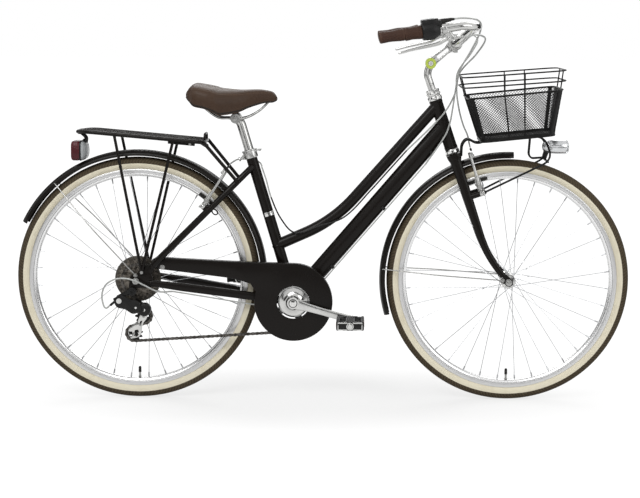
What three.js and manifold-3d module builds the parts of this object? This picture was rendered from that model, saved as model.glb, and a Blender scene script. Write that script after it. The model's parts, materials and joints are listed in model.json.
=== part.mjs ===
// Step through city bicycle with a derailleur, rear rack, chain case and front basket, in millimetres.
// X points forward, Y to the rider's left and Z up. The origin is on the ground, midway between the axles.
import * as THREE from "three";
import { mergeVertices } from "three/addons/utils/BufferGeometryUtils.js";
import Module from "manifold-3d";

const wasm = await Module();
wasm.setup();

// Driving sizes

const gap = 0.3; // clearance between pieces that rest on each other
const overrun = 3; // how far a cutter runs past what it cuts

const tyre = { radius: 349, width: 38, seatRadius: 311, sides: 36, sectionSteps: 4, wrap: 236 };
const rim = { beadInset: 2, depth: 18, width: 24, spokeBed: 14, valveLength: 32, valveRadius: 3 };
const spoke = { inset: 2, count: 36, radius: 1, cross: 60, valveTurn: 5, headShift: 1.2, sides: 3 };

const frame = {
  wheelbase: 1061.2,
  chainstayReach: 446.6, // rear axle to bottom bracket, along X
  bracketHeight: 288,
  bracketRadius: 20.5,
  bracketWidth: 68,
  bracketBore: 17.5,
  seatLean: 16.77, // degrees from upright
  seatTubeLength: 441.8,
  seatTubeRadius: 16,
  seatTubeBore: 13.9,
  seatBoreDepth: 230,
  steeringLean: 18.75, // degrees from upright
  headTubeLength: 147,
  headTubeRadius: 18.5,
  headTubeBore: 16.5,
  topTubeRadius: 16.5,
  topTubeDrop: 16.5, // its axis below the head tube's upper end
  topTubeSeatRise: 165, // its lower end up the seat tube
  topTubeBend: { ahead: 114, above: 230, length: 105, steps: 4 },
  downTube: { depth: 50, width: 34, rise: 66 },
};

const stay = {
  chainDepth: 24,
  chainWidth: 13,
  chainStart: { behind: 22, side: 27 },
  chainWaist: { behind: 91, above: 10, side: 33 },
  seatRadius: 9,
  seatWaist: { behind: 178, above: 326, side: 38 },
  seatTop: { behind: 119, above: 385, side: 13 },
  dropoutInner: 67,
  dropoutThickness: 6,
  dropoutRadius: 18,
  boreReach: 90,
  chainEnd: { ahead: 36, below: 5 },
  seatEnd: { ahead: 43, above: 39 },
  waistBend: 34,
  hanger: { behind: 9, below: 28, radius: 10, bore: 5.3 },
  bridgeRadius: 7,
  eyelet: { ahead: 18, above: 26, radius: 7 },
};

const fork = {
  length: 410.7, // crown race to axle, along the steering axis
  rake: 35.4,
  steererRadius: 14.3,
  steererBore: 11.4,
  crownDepth: 44,
  crownLength: 27,
  bladeTop: 24,
  bladeSide: 37,
  bladeDepth: 32,
  bladeWidth: 19,
  tipDepth: 17,
  tipWidth: 12,
  bendStart: 258,
  bendSteps: 3,
  endInner: 50,
  endThickness: 5,
  endRadius: 12,
  endReach: 22,
};

const seatCollar = { height: 16, lip: 1, radius: 20.5, boltRadius: 5, half: 12 };
const bearing = { lip: 3, inset: 1.5 };
const headset = { cover: 3, rise: 32, upperRadius: 21, lowerRadius: 20.5, lowerHeight: 11 };

const axle = { radius: 5, nutRadius: 8.5, nutHeight: 8, stub: 4, coneRadius: 9 };

const frontHub = { half: 46, flange: 34, flangeRadius: 21, barrel: 12, neck: 9.5, flangeWidth: 5 };
const rearHub = {
  left: 46,
  right: 60,
  flange: 35,
  rightFlange: 20,
  flangeRadius: 30,
  barrel: 18,
  boss: 16.5,
  flangeWidth: 5,
  discThickness: 1.5,
  discRadius: 66,
  discSide: 25,
};

const chain = {
  pitch: 12.7,
  line: 44, // its distance from the bicycle's middle plane
  plateHeight: 8,
  plateThickness: 1.5,
  innerWidth: 2.9,
  rollerShare: 0.19, // half of a roller's length, in pitches
  rollerRoomShare: 0.035,
  toothTip: 3,
  toothRoot: 4.5,
  settleSteps: 12,
};
const ring = { armShare: 0.3, slotSteps: 2, teeth: 42, thickness: 2.2, bore: 16.5, slotInner: 43, slotOuter: 70, arms: 5 };
const cogTeeth = [14, 16, 18, 21, 23, 25, 28];
const cog = { engaged: 3, spacing: 5, thickness: 1.9, sleeveOuter: 21.5 };
const pulley = { teeth: 11, thickness: 2.2, bore: 3.5 };

const crank = {
  length: 170,
  drop: 15.4, // degrees below level, right arm forward
  inner: 60,
  thickness: 14,
  rootDepth: 32,
  tipDepth: 24,
  flare: 5,
  waistShare: 0.3,
  waistShares: [0.9],
  waistDepth: 25,
  tipThickness: 12,
  bossRadius: 19,
  discRadius: 40,
  discThickness: 4,
  spindle: 7,
  spindleLength: 100,
};
const bracketAxle = { radius: 8, half: 70 };
const pedal = { length: 78, width: 94, height: 27, sleeve: 12, wall: 9, corner: 7, start: 83 };

const chainCase = {
  discRadius: 112,
  holeRadius: 47,
  inner: 38.6,
  outer: 57,
  wall: 2,
  rearEnd: 391, // behind the bottom bracket
  rearTop: 127,
  rearBottom: 94,
  midBehind: 174,
  midTop: 117,
  midBottom: 68,
  frontTop: 112,
  mouthShare: 0.1,
  mouthWidth: 26,
  mouthRoom: 4,
};

const mudguard = { radius: 370, skirt: 352, halfWidth: 25, wall: 1.6, stayRadius: 1.7,
  crownShare: 0.62,
  wireInset: 4,
  wireBendShare: 0.55,
  eye: 5.5,
  bracketRadius: 5,
};
const rearGuard = { steps: 15, from: -3, to: 154, stayAngle: 131, eyeAbove: 17 };
const frontGuard = { steps: 10, from: 88, to: 196.5, stayAngle: 175, eyeBehind: 17, eyeAbove: 6 };

const rack = {
  side: 62,
  railRadius: 5.5,
  wireRadius: 3,
  tipShare: 0.55,
  wireShare: 0.36,
  stopShare: 0.5,
  noseShare: 0.3,
  crossShares: [0.02, 0.34, 0.66, 0.985],
  cornerLength: 22,
  footThickness: 3,
  boltHead: 8,
  boltRadius: 5,
  rear: { x: -700, z: 770 },
  shoulder: { x: -668, z: 772 },
  front: { x: -338, z: 744 },
  stopHeight: 22,
  rearStrut: { x: -590, z: 763 },
  frontStrut: { x: -424, z: 749 },
  strutRadius: 4.2,
  strutSide: 78,
  bendShare: 0.16,
  noseRadius: 5,
};
const tailLight = { x: -719, depth: 29, low: 687, height: 56, half: 34, corner: 12, bevel: 4, bracketRadius: 4 };

const seatPost = { radius: 13.6, insertion: 150, top: 532, bend: 24 };
const saddle = {
  rear: -395,
  length: 263,
  low: 821,
  height: 89,
  width: 182,
  // Each station: its place along the saddle, the top, the skirt's lower edge and the half width, all as shares
  stations: [
    [0.008, 0.708, 0.55, 0.45],
    [0.065, 0.9, 0.416, 0.78],
    [0.118, 0.995, 0.281, 0.92],
    [0.228, 0.955, 0.213, 1],
    [0.327, 0.9, 0.101, 0.98],
    [0.399, 0.843, 0.005, 0.88],
    [0.574, 0.798, 0.079, 0.56],
    [0.684, 0.8, 0.213, 0.4],
    [0.772, 0.81, 0.303, 0.32],
    [0.863, 0.79, 0.377, 0.26],
    [0.947, 0.73, 0.393, 0.21],
    [0.996, 0.57, 0.438, 0.12],
  ],
  // Half round the section, from the hollow's middle out and over to the crown, as shares of half width and height
  section: [
    [-0.3, 0.42],
    [-0.78, 0.3],
    [-0.9, 0],
    [-0.98, 0.12],
    [-1, 0.5],
    [-0.86, 0.8],
    [-0.5, 0.97],
    [0, 1],
    [0.5, 0.97],
    [0.86, 0.8],
    [1, 0.5],
    [0.98, 0.12],
    [0.9, 0],
    [0.78, 0.3],
    [0.3, 0.42],
  ],
  railPath: [
    [-365, 34, 867.8],
    [-335, 30, 838],
    [-300, 24, 813],
    [-275, 22, 811],
    [-228, 22, 811],
    [-185, 14, 832],
    [-152, 6, 863.8],
  ],
};
const saddleClamp = { x: -251, z: 811, radius: 15, half: 27, railSide: 22, railRadius: 3.5 };

const stem = {
  quillRadius: 11,
  quillDepth: 75,
  neck: { up: 78 },
  bend: 30,
  boltRadius: 5,
  boltHalf: 12,
  pivot: { x: 303, z: 970.5, radius: 15.5, half: 17, barrelHalf: 8, head: 3, pin: 4, armDepth: 22 },
  extension: 89.5,
  rise: 39.5, // degrees above level
  clampRadius: 20,
  clampHalf: 22,
};
const bar = {
  radius: 11.1,
  clampRadius: 12.7,
  centreHalf: 30,
  sides: 8,
  endBend: 30,
  // The left half of its middle line, from the stem's clamp out to the tip
  path: [
    [0, 0, 0],
    [0, 29, 0],
    [8, 60, 4],
    [28, 112, 25],
    [46, 165, 43],
    [49, 208, 48],
    [33, 240, 49],
    [8, 253, 50],
    [-27, 258.5, 45],
    [-217, 285, 17],
  ],
};
const grip = { radius: 15.5, flange: 19.5, flangeWidth: 5, shortLength: 68, longLength: 122, waves: 3, endShare: 0.94 };
const twist = {
  length: 47,
  radius: 18,
  flange: 19.5,
  flangeWidth: 5,
  collarWidth: 3,
  housingLength: 50,
  housingRadius: 24,
  taper: 14,
  window: 3,
  spout: 3,
  spoutRise: 20,
  spoutRadius: 4,
};
const lever = {
  offset: 11,
  clampRadius: 16,
  clampWidth: 14,
  pivotAhead: 14,
  pivotDrop: 24,
  thickness: 9,
  ear: 3.2,
  earRadius: 8,
  hoodShift: 4,
  hoodDepth: 24,
  adjuster: 28,
  adjusterRise: 3,
  adjusterRadius: 4,
  pin: 2.5,
  rootRadius: 7,
  spread: 0.139,
  straight: 14,
  // The blade's line after its pivot, with widths and depths from the pivot on
  blade: [
    [330, 1040],
    [312, 1030],
    [274, 1021],
    [240, 1013],
    [209, 1004],
  ],
  bladeWidths: [9, 9, 10, 11, 11, 9],
  bladeDepths: [13, 12, 11, 9, 8, 6],
};

const brake = {
  rear: { x: -342, z: 560, topX: -279, topZ: 660, side: 41, topSide: 33 },
  front: { x: 450, z: 603, topX: 417, topZ: 714, side: 41, topSide: 33 },
  bossRadius: 8,
  armWidth: 15,
  armThickness: 9,
  tipWidth: 10,
  studRadius: 5,
  padOffset: 20,
  padLength: 58,
  padHeight: 10,
  padThickness: 11,
  padClearance: 3.6,
  tipThickness: 8,
  postRadius: 4,
  boreReach: 12,
  headHeight: 3,
};

const derailleur = {
  rearPivot: { behind: 46, below: 55 },
  frontPivot: { behind: -1.6, below: 74 },
  pivot: { ahead: 24.6, below: 81 },
  linkHalf: 6,
  linkWidth: 13,
  linkPin: 2.5,
  ear: 3.2,
  earRadius: 6.5,
  wallReach: 10,
  neckShare: 0.8,
  mountRadius: 12,
  bodyDepth: 14,
  knuckleDepth: 32,
  shaft: 5,
  shaftLength: 10,
  adjusterRadius: 3.5,
  stop: { behind: 24, out: 12, below: 12 },
  cageRadius: 11,
  cageWidth: 14,
  guide: { ahead: 18.6, below: 105 },
  tension: { behind: 9.4, below: 155 },
  bodyRadius: 14,
  side: 76,
  cageThickness: 2,
  cageGap: 5,
  pinRadius: 3.2,
};

const basket = {
  rear: 404,
  front: 670,
  half: 132,
  rearTop: 875,
  frontTop: 903,
  lowRear: 444,
  lowFront: 652,
  lowHalf: 96,
  rearLow: 752,
  frontLow: 773.9,
  wall: 1.8,
  rimRear: 389,
  rimFront: 677,
  rimHalf: 138,
  rimRearTop: 934,
  rimFrontTop: 957,
  rimStep: 29,
  wireRadius: 2.2,
  cornerShare: 0.22,
  meshLong: 5,
  meshShort: 3,
  meshRows: 2,
  meshFloor: 2,
  border: 17,
  gapShare: 0.4,
  hook: 6,
  uprights: [0.36, 0.62],
};

const carrier = {
  radius: 3,
  side: 20,
  footRadius: 6,
  footThickness: 4,
  nose: { x: 649, z: 702, side: 62 },
  frontX: 628,
  rearX: 460,
  crossX: 590,
  bend: 26,
  loop: { x: 394, z: 741 },
  top: { x: 409, z: 758 },
  dip: { x: 436, z: 743 },
  loopBend: 10,
  crownShare: 0.5,
};

const lamp = {
  x: 632,
  z: 734,
  length: 78,
  radius: 21,
  tail: 11,
  tailBehind: 8,
  waistShare: 0.86,
  waistPlace: 0.3,
  shoulderPlace: 0.5,
  pivotZ: 706,
  lens: 9,
  lensInset: 1.5,
  tabHalf: 3,
  tabRadius: 7,
  ear: 2.5,
  earAhead: 6,
  pin: 2,
  barX: 636,
};

// Each cable's line, and the bare wire that crosses to the other brake arm
const cable = {
  radius: 2.4,
  innerRadius: 1.1,
  sides: 5,
  lead: 10,
  gear: [
    [345, -256, 1095],
    [385, -240, 1099],
    [425, -200, 1092],
    [434, -150, 1066],
    [412, -115, 1012],
    [380, -85, 950],
    [372, -60, 900],
    [366, -40, 850],
    [358, -28, 800],
    [345, -24, 765],
    [291, -14, 683],
    [-39, -14, 298],
    [-60, -15, 267],
    [-90, -18, 260],
    [-428, -60, 318],
    [-467, -74, 320],
    [-505, -87, 340],
    [-530, -91, 353],
    [-560, -92.5, 360],
    [-590, -92, 356],
    [-614, -90, 339],
    [-624, -87, 313],
    [-622, -84.5, 287],
    [-614, -84, 273],
    [-603, -86.8, 280.4],
  ],
  rear: [
    [405, -252, 1053],
    [428, -230, 1053],
    [445, -180, 1040],
    [425, -120, 1000],
    [382, -70, 945],
    [372, -45, 890],
    [345, -29, 835],
    [300, -25, 785],
    [237, -13, 722],
    [176, -13, 653],
    [137, -13, 609],
    [60, -16, 530],
    [-10, -21, 505],
    [-80, -21, 484],
    [-120, -21, 522],
    [-150, -17, 585],
    [-164, -12, 634],
    [-176, -6, 668],
    [-183, 14, 681],
    [-203, 25, 690],
    [-228, 28, 692],
    [-252, 31, 688],
    [-270, 33, 677],
  ],
  rearWire: [
    [-275, 20, 669],
    [-277, -28, 667],
  ],
  front: [
    [405, 252, 1053],
    [430, 230, 1053],
    [447, 170, 1036],
    [425, 115, 998],
    [384, 65, 943],
    [380, 32, 890],
    [386, 12, 840],
    [398, 2, 795],
    [411, 2, 765],
    [416, 14, 744],
    [420, 33, 731],
  ],
  frontWire: [
    [421, 20, 725],
    [421, -28, 723],
  ],
};

// Finishes

const finish = (color, roughness, metalness) => new THREE.MeshStandardMaterial({ color, roughness, metalness });
const blackPaint = finish(0x1c1a19, 0.3, 0.2);
const blackPlastic = finish(0x1a1a1a, 0.5, 0);
const silver = finish(0xc9cbcc, 0.3, 0.9);
const chrome = finish(0xd8dadb, 0.12, 1);
const steel = finish(0x8d8f90, 0.4, 0.9);
const darkSteel = finish(0x4a4845, 0.45, 0.8);
const tyreRubber = finish(0x6a6150, 0.85, 0);
const saddleBrown = finish(0x553e32, 0.6, 0);
const gripBrown = finish(0x5f3c32, 0.7, 0);
const tailRed = finish(0x78323e, 0.3, 0);
const clearLens = finish(0xd8dde0, 0.1, 0);
const cableGrey = finish(0xb4b4ae, 0.5, 0);
const meshBlack = finish(0x161616, 0.5, 0.3);

// Modelling helpers

const at = (x, y, z) => new THREE.Vector3(x, y, z);
const radians = THREE.MathUtils.degToRad;
const sideways = at(0, 1, 0);
const turnOf = (angle) => at(Math.cos(angle), 0, Math.sin(angle));

function solidOf(geometry) {
  const bare = geometry.clone();
  bare.deleteAttribute("normal");
  bare.deleteAttribute("uv");
  const merged = mergeVertices(bare);
  const triVerts = Uint32Array.from(merged.index.array);
  const vertProperties = Float32Array.from(merged.attributes.position.array);
  const made = new wasm.Manifold(new wasm.Mesh({ numProp: 3, vertProperties, triVerts }));
  return made.volume() < 0 ? turnedOut(vertProperties, triVerts) : made;
}

function turnedOut(vertProperties, triVerts) {
  const flipped = triVerts.slice();
  for (let i = 0; i < flipped.length; i += 3) [flipped[i], flipped[i + 1]] = [triVerts[i + 1], triVerts[i]];
  return new wasm.Manifold(new wasm.Mesh({ numProp: 3, vertProperties, triVerts: flipped }));
}

function geometryOf(solid) {
  const { vertProperties, triVerts } = solid.getMesh();
  const geometry = new THREE.BufferGeometry();
  geometry.setAttribute("position", new THREE.BufferAttribute(vertProperties, 3));
  geometry.setIndex(new THREE.BufferAttribute(triVerts, 1));
  const flat = geometry.toNonIndexed();
  flat.computeVertexNormals();
  return flat;
}

const join = (...solids) => solids.flat().reduce((whole, next) => whole.add(next));
const cut = (solid, ...tools) => tools.flat().reduce((left, tool) => left.subtract(tool), solid);

function mirrored(solid) {
  return solidOf(geometryOf(solid).scale(1, -1, 1));
}

// A closed skin through rings of points. Each end is filled by triangles between the ring's first and second half.
function loft(rings, looped = false) {
  const count = rings[0].length;
  const faces = [];
  const spans = looped ? rings.length : rings.length - 1;
  for (let i = 0; i < spans; i++) {
    const a = i * count;
    const b = ((i + 1) % rings.length) * count;
    for (let j = 0; j < count; j++) {
      const k = (j + 1) % count;
      faces.push(a + j, b + j, b + k, a + j, b + k, a + k);
    }
  }
  if (!looped) {
    const last = (rings.length - 1) * count;
    for (let j = 0; j < count - 2; j++) {
      const near = Math.ceil(j / 2);
      const far = count - 1 - Math.floor(j / 2);
      const [p, q, r] = j % 2 ? [near, far - 1, far] : [near, near + 1, far];
      faces.push(p, q, r);
      faces.push(last + p, last + r, last + q);
    }
  }
  const geometry = new THREE.BufferGeometry();
  const places = rings.flat().flatMap((p) => [p.x, p.y, p.z]);
  geometry.setAttribute("position", new THREE.Float32BufferAttribute(places, 3));
  geometry.setIndex(faces);
  return solidOf(geometry);
}

function turned(step, steps) {
  const angle = (2 * Math.PI * step) / steps;
  return [Math.cos(angle), Math.sin(angle)];
}

// The direction of travel at each point of a path, and two directions across it that never twist.
function framesAlong(points, looped = false) {
  const count = points.length;
  const directions = points.map((point, i) => {
    const before = points[looped ? (i + count - 1) % count : Math.max(i - 1, 0)];
    const after = points[looped ? (i + 1) % count : Math.min(i + 1, count - 1)];
    const into = point.clone().sub(before).normalize();
    const out = after.clone().sub(point).normalize();
    return into.add(out).normalize();
  });
  const lead = Math.abs(directions[0].y) < Math.SQRT1_2 ? sideways : at(0, 0, 1);
  let across = lead.clone().addScaledVector(directions[0], -lead.dot(directions[0])).normalize();
  return directions.map((along) => {
    across = across.clone().addScaledVector(along, -across.dot(along)).normalize();
    return { along, across, other: along.clone().cross(across) };
  });
}

// A bar along a path: one width and one depth for each point, or the same all the way.
function bar3(points, width, depth = width, sides = 8, looped = false) {
  const frames = framesAlong(points, looped);
  const rings = points.map((point, i) => {
    const w = Array.isArray(width) ? width[i] : width;
    const d = Array.isArray(depth) ? depth[i] : depth;
    return Array.from({ length: sides }, (_, j) => {
      const [c, s] = turned(j + 0.5, sides);
      return point
        .clone()
        .addScaledVector(frames[i].across, w * c)
        .addScaledVector(frames[i].other, d * s);
    });
  });
  return loft(rings, looped);
}

const rod = (points, radius, sides = 6) => bar3(points, radius, radius, sides);
const ringRod = (points, radius, sides = 5) => bar3(points, radius, radius, sides, true);

// Corners of a path taken round with curves that start a given length before each corner.
function rounded(points, length, steps = 3, looped = false) {
  const count = points.length;
  return points.flatMap((corner, i) => {
    if (!looped && (i === 0 || i === count - 1)) return [corner];
    const before = points[(i + count - 1) % count];
    const after = points[(i + 1) % count];
    const reach = Math.min(length, before.distanceTo(corner) / 2, after.distanceTo(corner) / 2);
    const start = corner.clone().addScaledVector(before.clone().sub(corner).normalize(), reach);
    const end = corner.clone().addScaledVector(after.clone().sub(corner).normalize(), reach);
    return new THREE.QuadraticBezierCurve3(start, corner, end).getPoints(steps);
  });
}

// A turned piece: its profile is pairs of radius and place along the axis, closed by itself or by the axis.
function turnedPiece(profile, centre, axis = sideways, sides = 12) {
  const points = profile.map(([radius, along]) => new THREE.Vector2(radius, along));
  const onAxis = points[0].x === 0 && points[points.length - 1].x === 0;
  if (!onAxis) points.push(points[0].clone());
  const geometry = new THREE.LatheGeometry(points, sides);
  geometry.applyQuaternion(new THREE.Quaternion().setFromUnitVectors(sideways, axis));
  return solidOf(geometry.translate(centre.x, centre.y, centre.z));
}

const alongAxis = (centre, axis, from, to, radius, sides) =>
  turnedPiece([[0, from], [radius, from], [radius, to], [0, to]], centre, axis, sides);

const disc = (centre, from, to, radius, sides = 12, axis = sideways) =>
  turnedPiece([[0, from], [radius, from], [radius, to], [0, to]], centre, axis, sides);

const tube = (centre, from, to, bore, radius, sides = 12, axis = sideways) =>
  turnedPiece([[bore, from], [radius, from], [radius, to], [bore, to]], centre, axis, sides);

// A flat plate whose outline is given in X and Z, between two places along Y.
function plate(outline, from, to) {
  const shape = outline instanceof THREE.Shape ? outline : new THREE.Shape(outline);
  const geometry = new THREE.ExtrudeGeometry(shape, { depth: to - from, bevelEnabled: false, curveSegments: 8 });
  return solidOf(geometry.rotateX(Math.PI / 2).translate(0, to, 0));
}

const flatPoints = (places) => places.map(([x, z]) => new THREE.Vector2(x, z));

// The corner radius of a bore with flat sides that clears a round bar everywhere.
const boreFor = (radius, sides) => (radius + gap) / Math.cos(Math.PI / sides);

function block(low, high) {
  const size = high.clone().sub(low);
  const centre = low.clone().add(high).divideScalar(2);
  return solidOf(new THREE.BoxGeometry(size.x, size.y, size.z).translate(centre.x, centre.y, centre.z));
}

// Places on the bicycle that several pieces share

const rearAxle = at(-frame.wheelbase / 2, 0, tyre.radius);
const frontAxle = at(frame.wheelbase / 2, 0, tyre.radius);
const bracket = at(rearAxle.x + frame.chainstayReach, 0, frame.bracketHeight);
const seatUp = at(-Math.sin(radians(frame.seatLean)), 0, Math.cos(radians(frame.seatLean)));
const steerDown = at(Math.sin(radians(frame.steeringLean)), 0, -Math.cos(radians(frame.steeringLean)));
const steerUp = steerDown.clone().negate();
const steerAhead = at(-steerDown.z, 0, steerDown.x);
const crownRace = frontAxle
  .clone()
  .addScaledVector(steerDown, -fork.length)
  .addScaledVector(steerAhead, -fork.rake);
const headTop = crownRace.clone().addScaledVector(steerUp, frame.headTubeLength);

const onSeat = (up, side = 0) => bracket.clone().addScaledVector(seatUp, up).add(at(0, side, 0));
const onSteer = (down, ahead = 0, side = 0) =>
  crownRace.clone().addScaledVector(steerDown, down).addScaledVector(steerAhead, ahead).add(at(0, side, 0));
const fromBracket = (ahead, above, side = 0) => at(bracket.x + ahead, side, bracket.z + above);

const group = new THREE.Group();
function add(name, solid, material) {
  const mesh = new THREE.Mesh(geometryOf(solid), material);
  mesh.name = name;
  group.add(mesh);
}

// Frame

function headBore(clearance = 0) {
  return rod(
    [onSteer(overrun * 2), onSteer(-frame.headTubeLength - overrun * 2)],
    frame.headTubeBore + clearance,
    14,
  );
}

function frameTubes() {
  const bend = frame.topTubeBend;
  const topPath = rounded(
    [
      headTop.clone().addScaledVector(steerDown, frame.topTubeDrop),
      fromBracket(bend.ahead, bend.above),
      onSeat(frame.topTubeSeatRise),
    ],
    bend.length,
    bend.steps,
  );
  const downHead = onSteer(-frame.downTube.rise);
  const seatTube = rod([bracket, onSeat(frame.seatTubeLength)], frame.seatTubeRadius, 12);
  const topTube = rod(topPath, frame.topTubeRadius, 10);
  const downTube = bar3([bracket, downHead], frame.downTube.width / 2, frame.downTube.depth / 2, 10);
  const headTube = rod([onSteer(0), headTop], frame.headTubeRadius, 14);
  const shell = disc(bracket, -frame.bracketWidth / 2, frame.bracketWidth / 2, frame.bracketRadius, 14);
  const whole = join(seatTube, topTube, downTube, headTube, shell);
  const seatBore = rod(
    [onSeat(frame.seatTubeLength - frame.seatBoreDepth), onSeat(frame.seatTubeLength + overrun)],
    frame.seatTubeBore,
    12,
  );
  const shellBore = disc(
    bracket,
    -frame.bracketWidth / 2 - overrun,
    frame.bracketWidth / 2 + overrun,
    frame.bracketBore,
    14,
  );
  return cut(whole, headBore(), seatBore, shellBore);
}

// A bar of rectangular section, its width across the path and its depth square to that.
const beam = (points, width, depth) =>
  bar3(points, scaled(width, Math.SQRT1_2), scaled(depth, Math.SQRT1_2), 4);
const scaled = (value, share) => (Array.isArray(value) ? value.map((v) => v * share) : value * share);
add("frame_tubes", frameTubes(), blackPaint);

// Stays and dropouts

const dropoutMiddle = stay.dropoutInner + stay.dropoutThickness / 2;
const chainstayEnd = (side) => rearAxle.clone().add(at(stay.chainEnd.ahead, side * dropoutMiddle, -stay.chainEnd.below));
const seatstayEnd = (side) => rearAxle.clone().add(at(stay.seatEnd.ahead, side * dropoutMiddle, stay.seatEnd.above));
const seatstayWaist = (side) => fromBracket(-stay.seatWaist.behind, stay.seatWaist.above, side * stay.seatWaist.side);
const seatstayTop = (side) => fromBracket(-stay.seatTop.behind, stay.seatTop.above, side * stay.seatTop.side);
const chainstayPath = (side) => [
  fromBracket(-stay.chainStart.behind, 0, side * stay.chainStart.side),
  fromBracket(-stay.chainWaist.behind, stay.chainWaist.above, side * stay.chainWaist.side),
  chainstayEnd(side),
];
const seatstayPath = (side) =>
  rounded([seatstayEnd(side), seatstayWaist(side), seatstayTop(side)], stay.waistBend, 3);
const eyeletPlace = rearAxle.clone().add(at(stay.eyelet.ahead, 0, stay.eyelet.above));
const hangerPlace = rearAxle.clone().add(at(-stay.hanger.behind, 0, -stay.hanger.below));

// A disc or a ring on one side of the middle plane, between two distances from it.
const sideDisc = (place, side, inner, outer, radius, sides = 12) =>
  disc(at(place.x, 0, place.z), Math.min(side * inner, side * outer), Math.max(side * inner, side * outer), radius, sides);

function seatstayAxis() {
  return at(seatstayWaist(1).x - seatstayEnd(1).x, 0, seatstayWaist(1).z - seatstayEnd(1).z).normalize();
}

// The stud that a brake arm turns on, from the tube behind it to past the arm.
function brakeStud(spec, out, tubeAxis, tubePlace, side) {
  const place = at(spec.x, side * spec.side, spec.z);
  const reach = at(place.x - tubePlace.x, 0, place.z - tubePlace.z).dot(out);
  const half = brake.armThickness / 2 + gap;
  return join(
    turnedPiece(
      [
        [0, -reach],
        [brake.bossRadius, -reach],
        [brake.bossRadius, -half],
        [brake.studRadius, -half],
        [brake.studRadius, half],
        [brake.bossRadius, half],
        [brake.bossRadius, half + brake.headHeight],
        [0, half + brake.headHeight],
      ],
      place,
      out,
      6,
    ),
  );
}
const rearStudAxis = at(-seatstayAxis().z, 0, seatstayAxis().x);

function stays(side) {
  const inner = stay.dropoutInner;
  const outer = inner + stay.dropoutThickness;
  const chainstay = bar3(chainstayPath(side), stay.chainWidth / 2, stay.chainDepth / 2, 8);
  const seatstay = rod(seatstayPath(side), stay.seatRadius, 8);
  const axlePlace = at(rearAxle.x, side * dropoutMiddle, rearAxle.z);
  const web = (end, depth) => beam([axlePlace, end], stay.dropoutThickness, depth);
  const eyelet = eyeletPlace.clone().setY(side * dropoutMiddle);
  const pieces = [
    seatstay,
    sideDisc(rearAxle, side, inner, outer, stay.dropoutRadius),
    web(chainstayEnd(side), stay.chainDepth),
    web(seatstayEnd(side), stay.seatRadius * 2),
    web(eyelet, stay.eyelet.radius * 2),
    sideDisc(eyelet, side, inner, outer, stay.eyelet.radius, 10),
    brakeStud(brake.rear, rearStudAxis, seatstayAxis(), seatstayEnd(side), side),
  ];
  if (side < 0) {
    const hanger = hangerPlace.clone().setY(side * dropoutMiddle);
    pieces.push(web(hanger, stay.hanger.radius * 2));
    pieces.push(sideDisc(hanger, side, inner, outer, stay.hanger.radius, 12));
  } else {
    pieces.push(seatstayBridge());
  }
  const whole = join(chainstay, pieces);
  const seatTube = rod([onSeat(0), onSeat(frame.seatTubeLength)], frame.seatTubeRadius + gap, 12);
  const shell = disc(bracket, -frame.bracketWidth / 2, frame.bracketWidth / 2, frame.bracketRadius + gap, 18);
  const axleBore = disc(rearAxle, -stay.boreReach, stay.boreReach, axle.radius + gap, 12);
  const hangerBore = disc(hangerPlace, -stay.boreReach, 0, stay.hanger.bore + gap, 12);
  return cut(whole, seatTube, shell, axleBore, ...(side < 0 ? [hangerBore] : []));
}

// The tube across the stays that the mudguard and the rack are bolted to.
function seatstayBridge() {
  const distance = mudguard.radius + gap + stay.bridgeRadius;
  const away = seatstayWaist(1).setY(0).sub(rearAxle);
  const angle = Math.atan2(away.z, away.x);
  const centre = rearAxle.clone().addScaledVector(turnOf(angle), distance);
  const tubeAcross = disc(centre, -stay.seatWaist.side, stay.seatWaist.side, stay.bridgeRadius, 10);
  return cut(tubeAcross, rod(seatstayPath(-1), stay.seatRadius + gap, 10));
}

add("right_stays", stays(-1), blackPaint);
add("left_stays", stays(1), blackPaint);

// Headset, collar and bottom bracket

function headsetRing(base, axis, profileShares, radius, height) {
  const bore = boreFor(fork.steererRadius, 14);
  const profile = profileShares.map(([wide, along]) => [bore + (radius - bore) * wide, height * along]);
  return turnedPiece(profile, base, axis, 14);
}
const upperShares = [
  [0, 0],
  [1, 0],
  [1, 0.42],
  [0.5, 0.5],
  [0.95, 0.64],
  [0.95, 0.9],
  [0.4, 1],
  [0, 1],
];
const lowerShares = [
  [0, 0],
  [0.7, 0],
  [1, 0.35],
  [1, 1],
  [0, 1],
];
const headsetTop = headTop.clone().addScaledVector(steerUp, gap);
add("headset_upper", headsetRing(headsetTop, steerUp, upperShares, headset.upperRadius, headset.rise), chrome);
add(
  "headset_lower",
  headsetRing(onSteer(gap), steerDown, lowerShares, headset.lowerRadius, headset.lowerHeight),
  chrome,
);

function seatClamp() {
  const low = frame.seatTubeLength - seatCollar.height;
  const top = frame.seatTubeLength + seatCollar.lip;
  const centre = onSeat(0);
  const bore = boreFor(frame.seatTubeRadius, 14);
  const collar = tube(centre, low, top, bore, seatCollar.radius, 14, seatUp);
  const behind = at(-seatUp.z, 0, seatUp.x);
  const lobe = onSeat((low + top) / 2).addScaledVector(behind, seatCollar.radius + seatCollar.boltRadius / 2);
  return join(collar, cut(disc(lobe, -seatCollar.half, seatCollar.half, seatCollar.boltRadius, 10), tubeRoom(low, top, bore)));
}
const tubeRoom = (low, top, radius) => rod([onSeat(low - overrun), onSeat(top + overrun)], radius, 14);
add("seat_collar", seatClamp(), silver);

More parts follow.
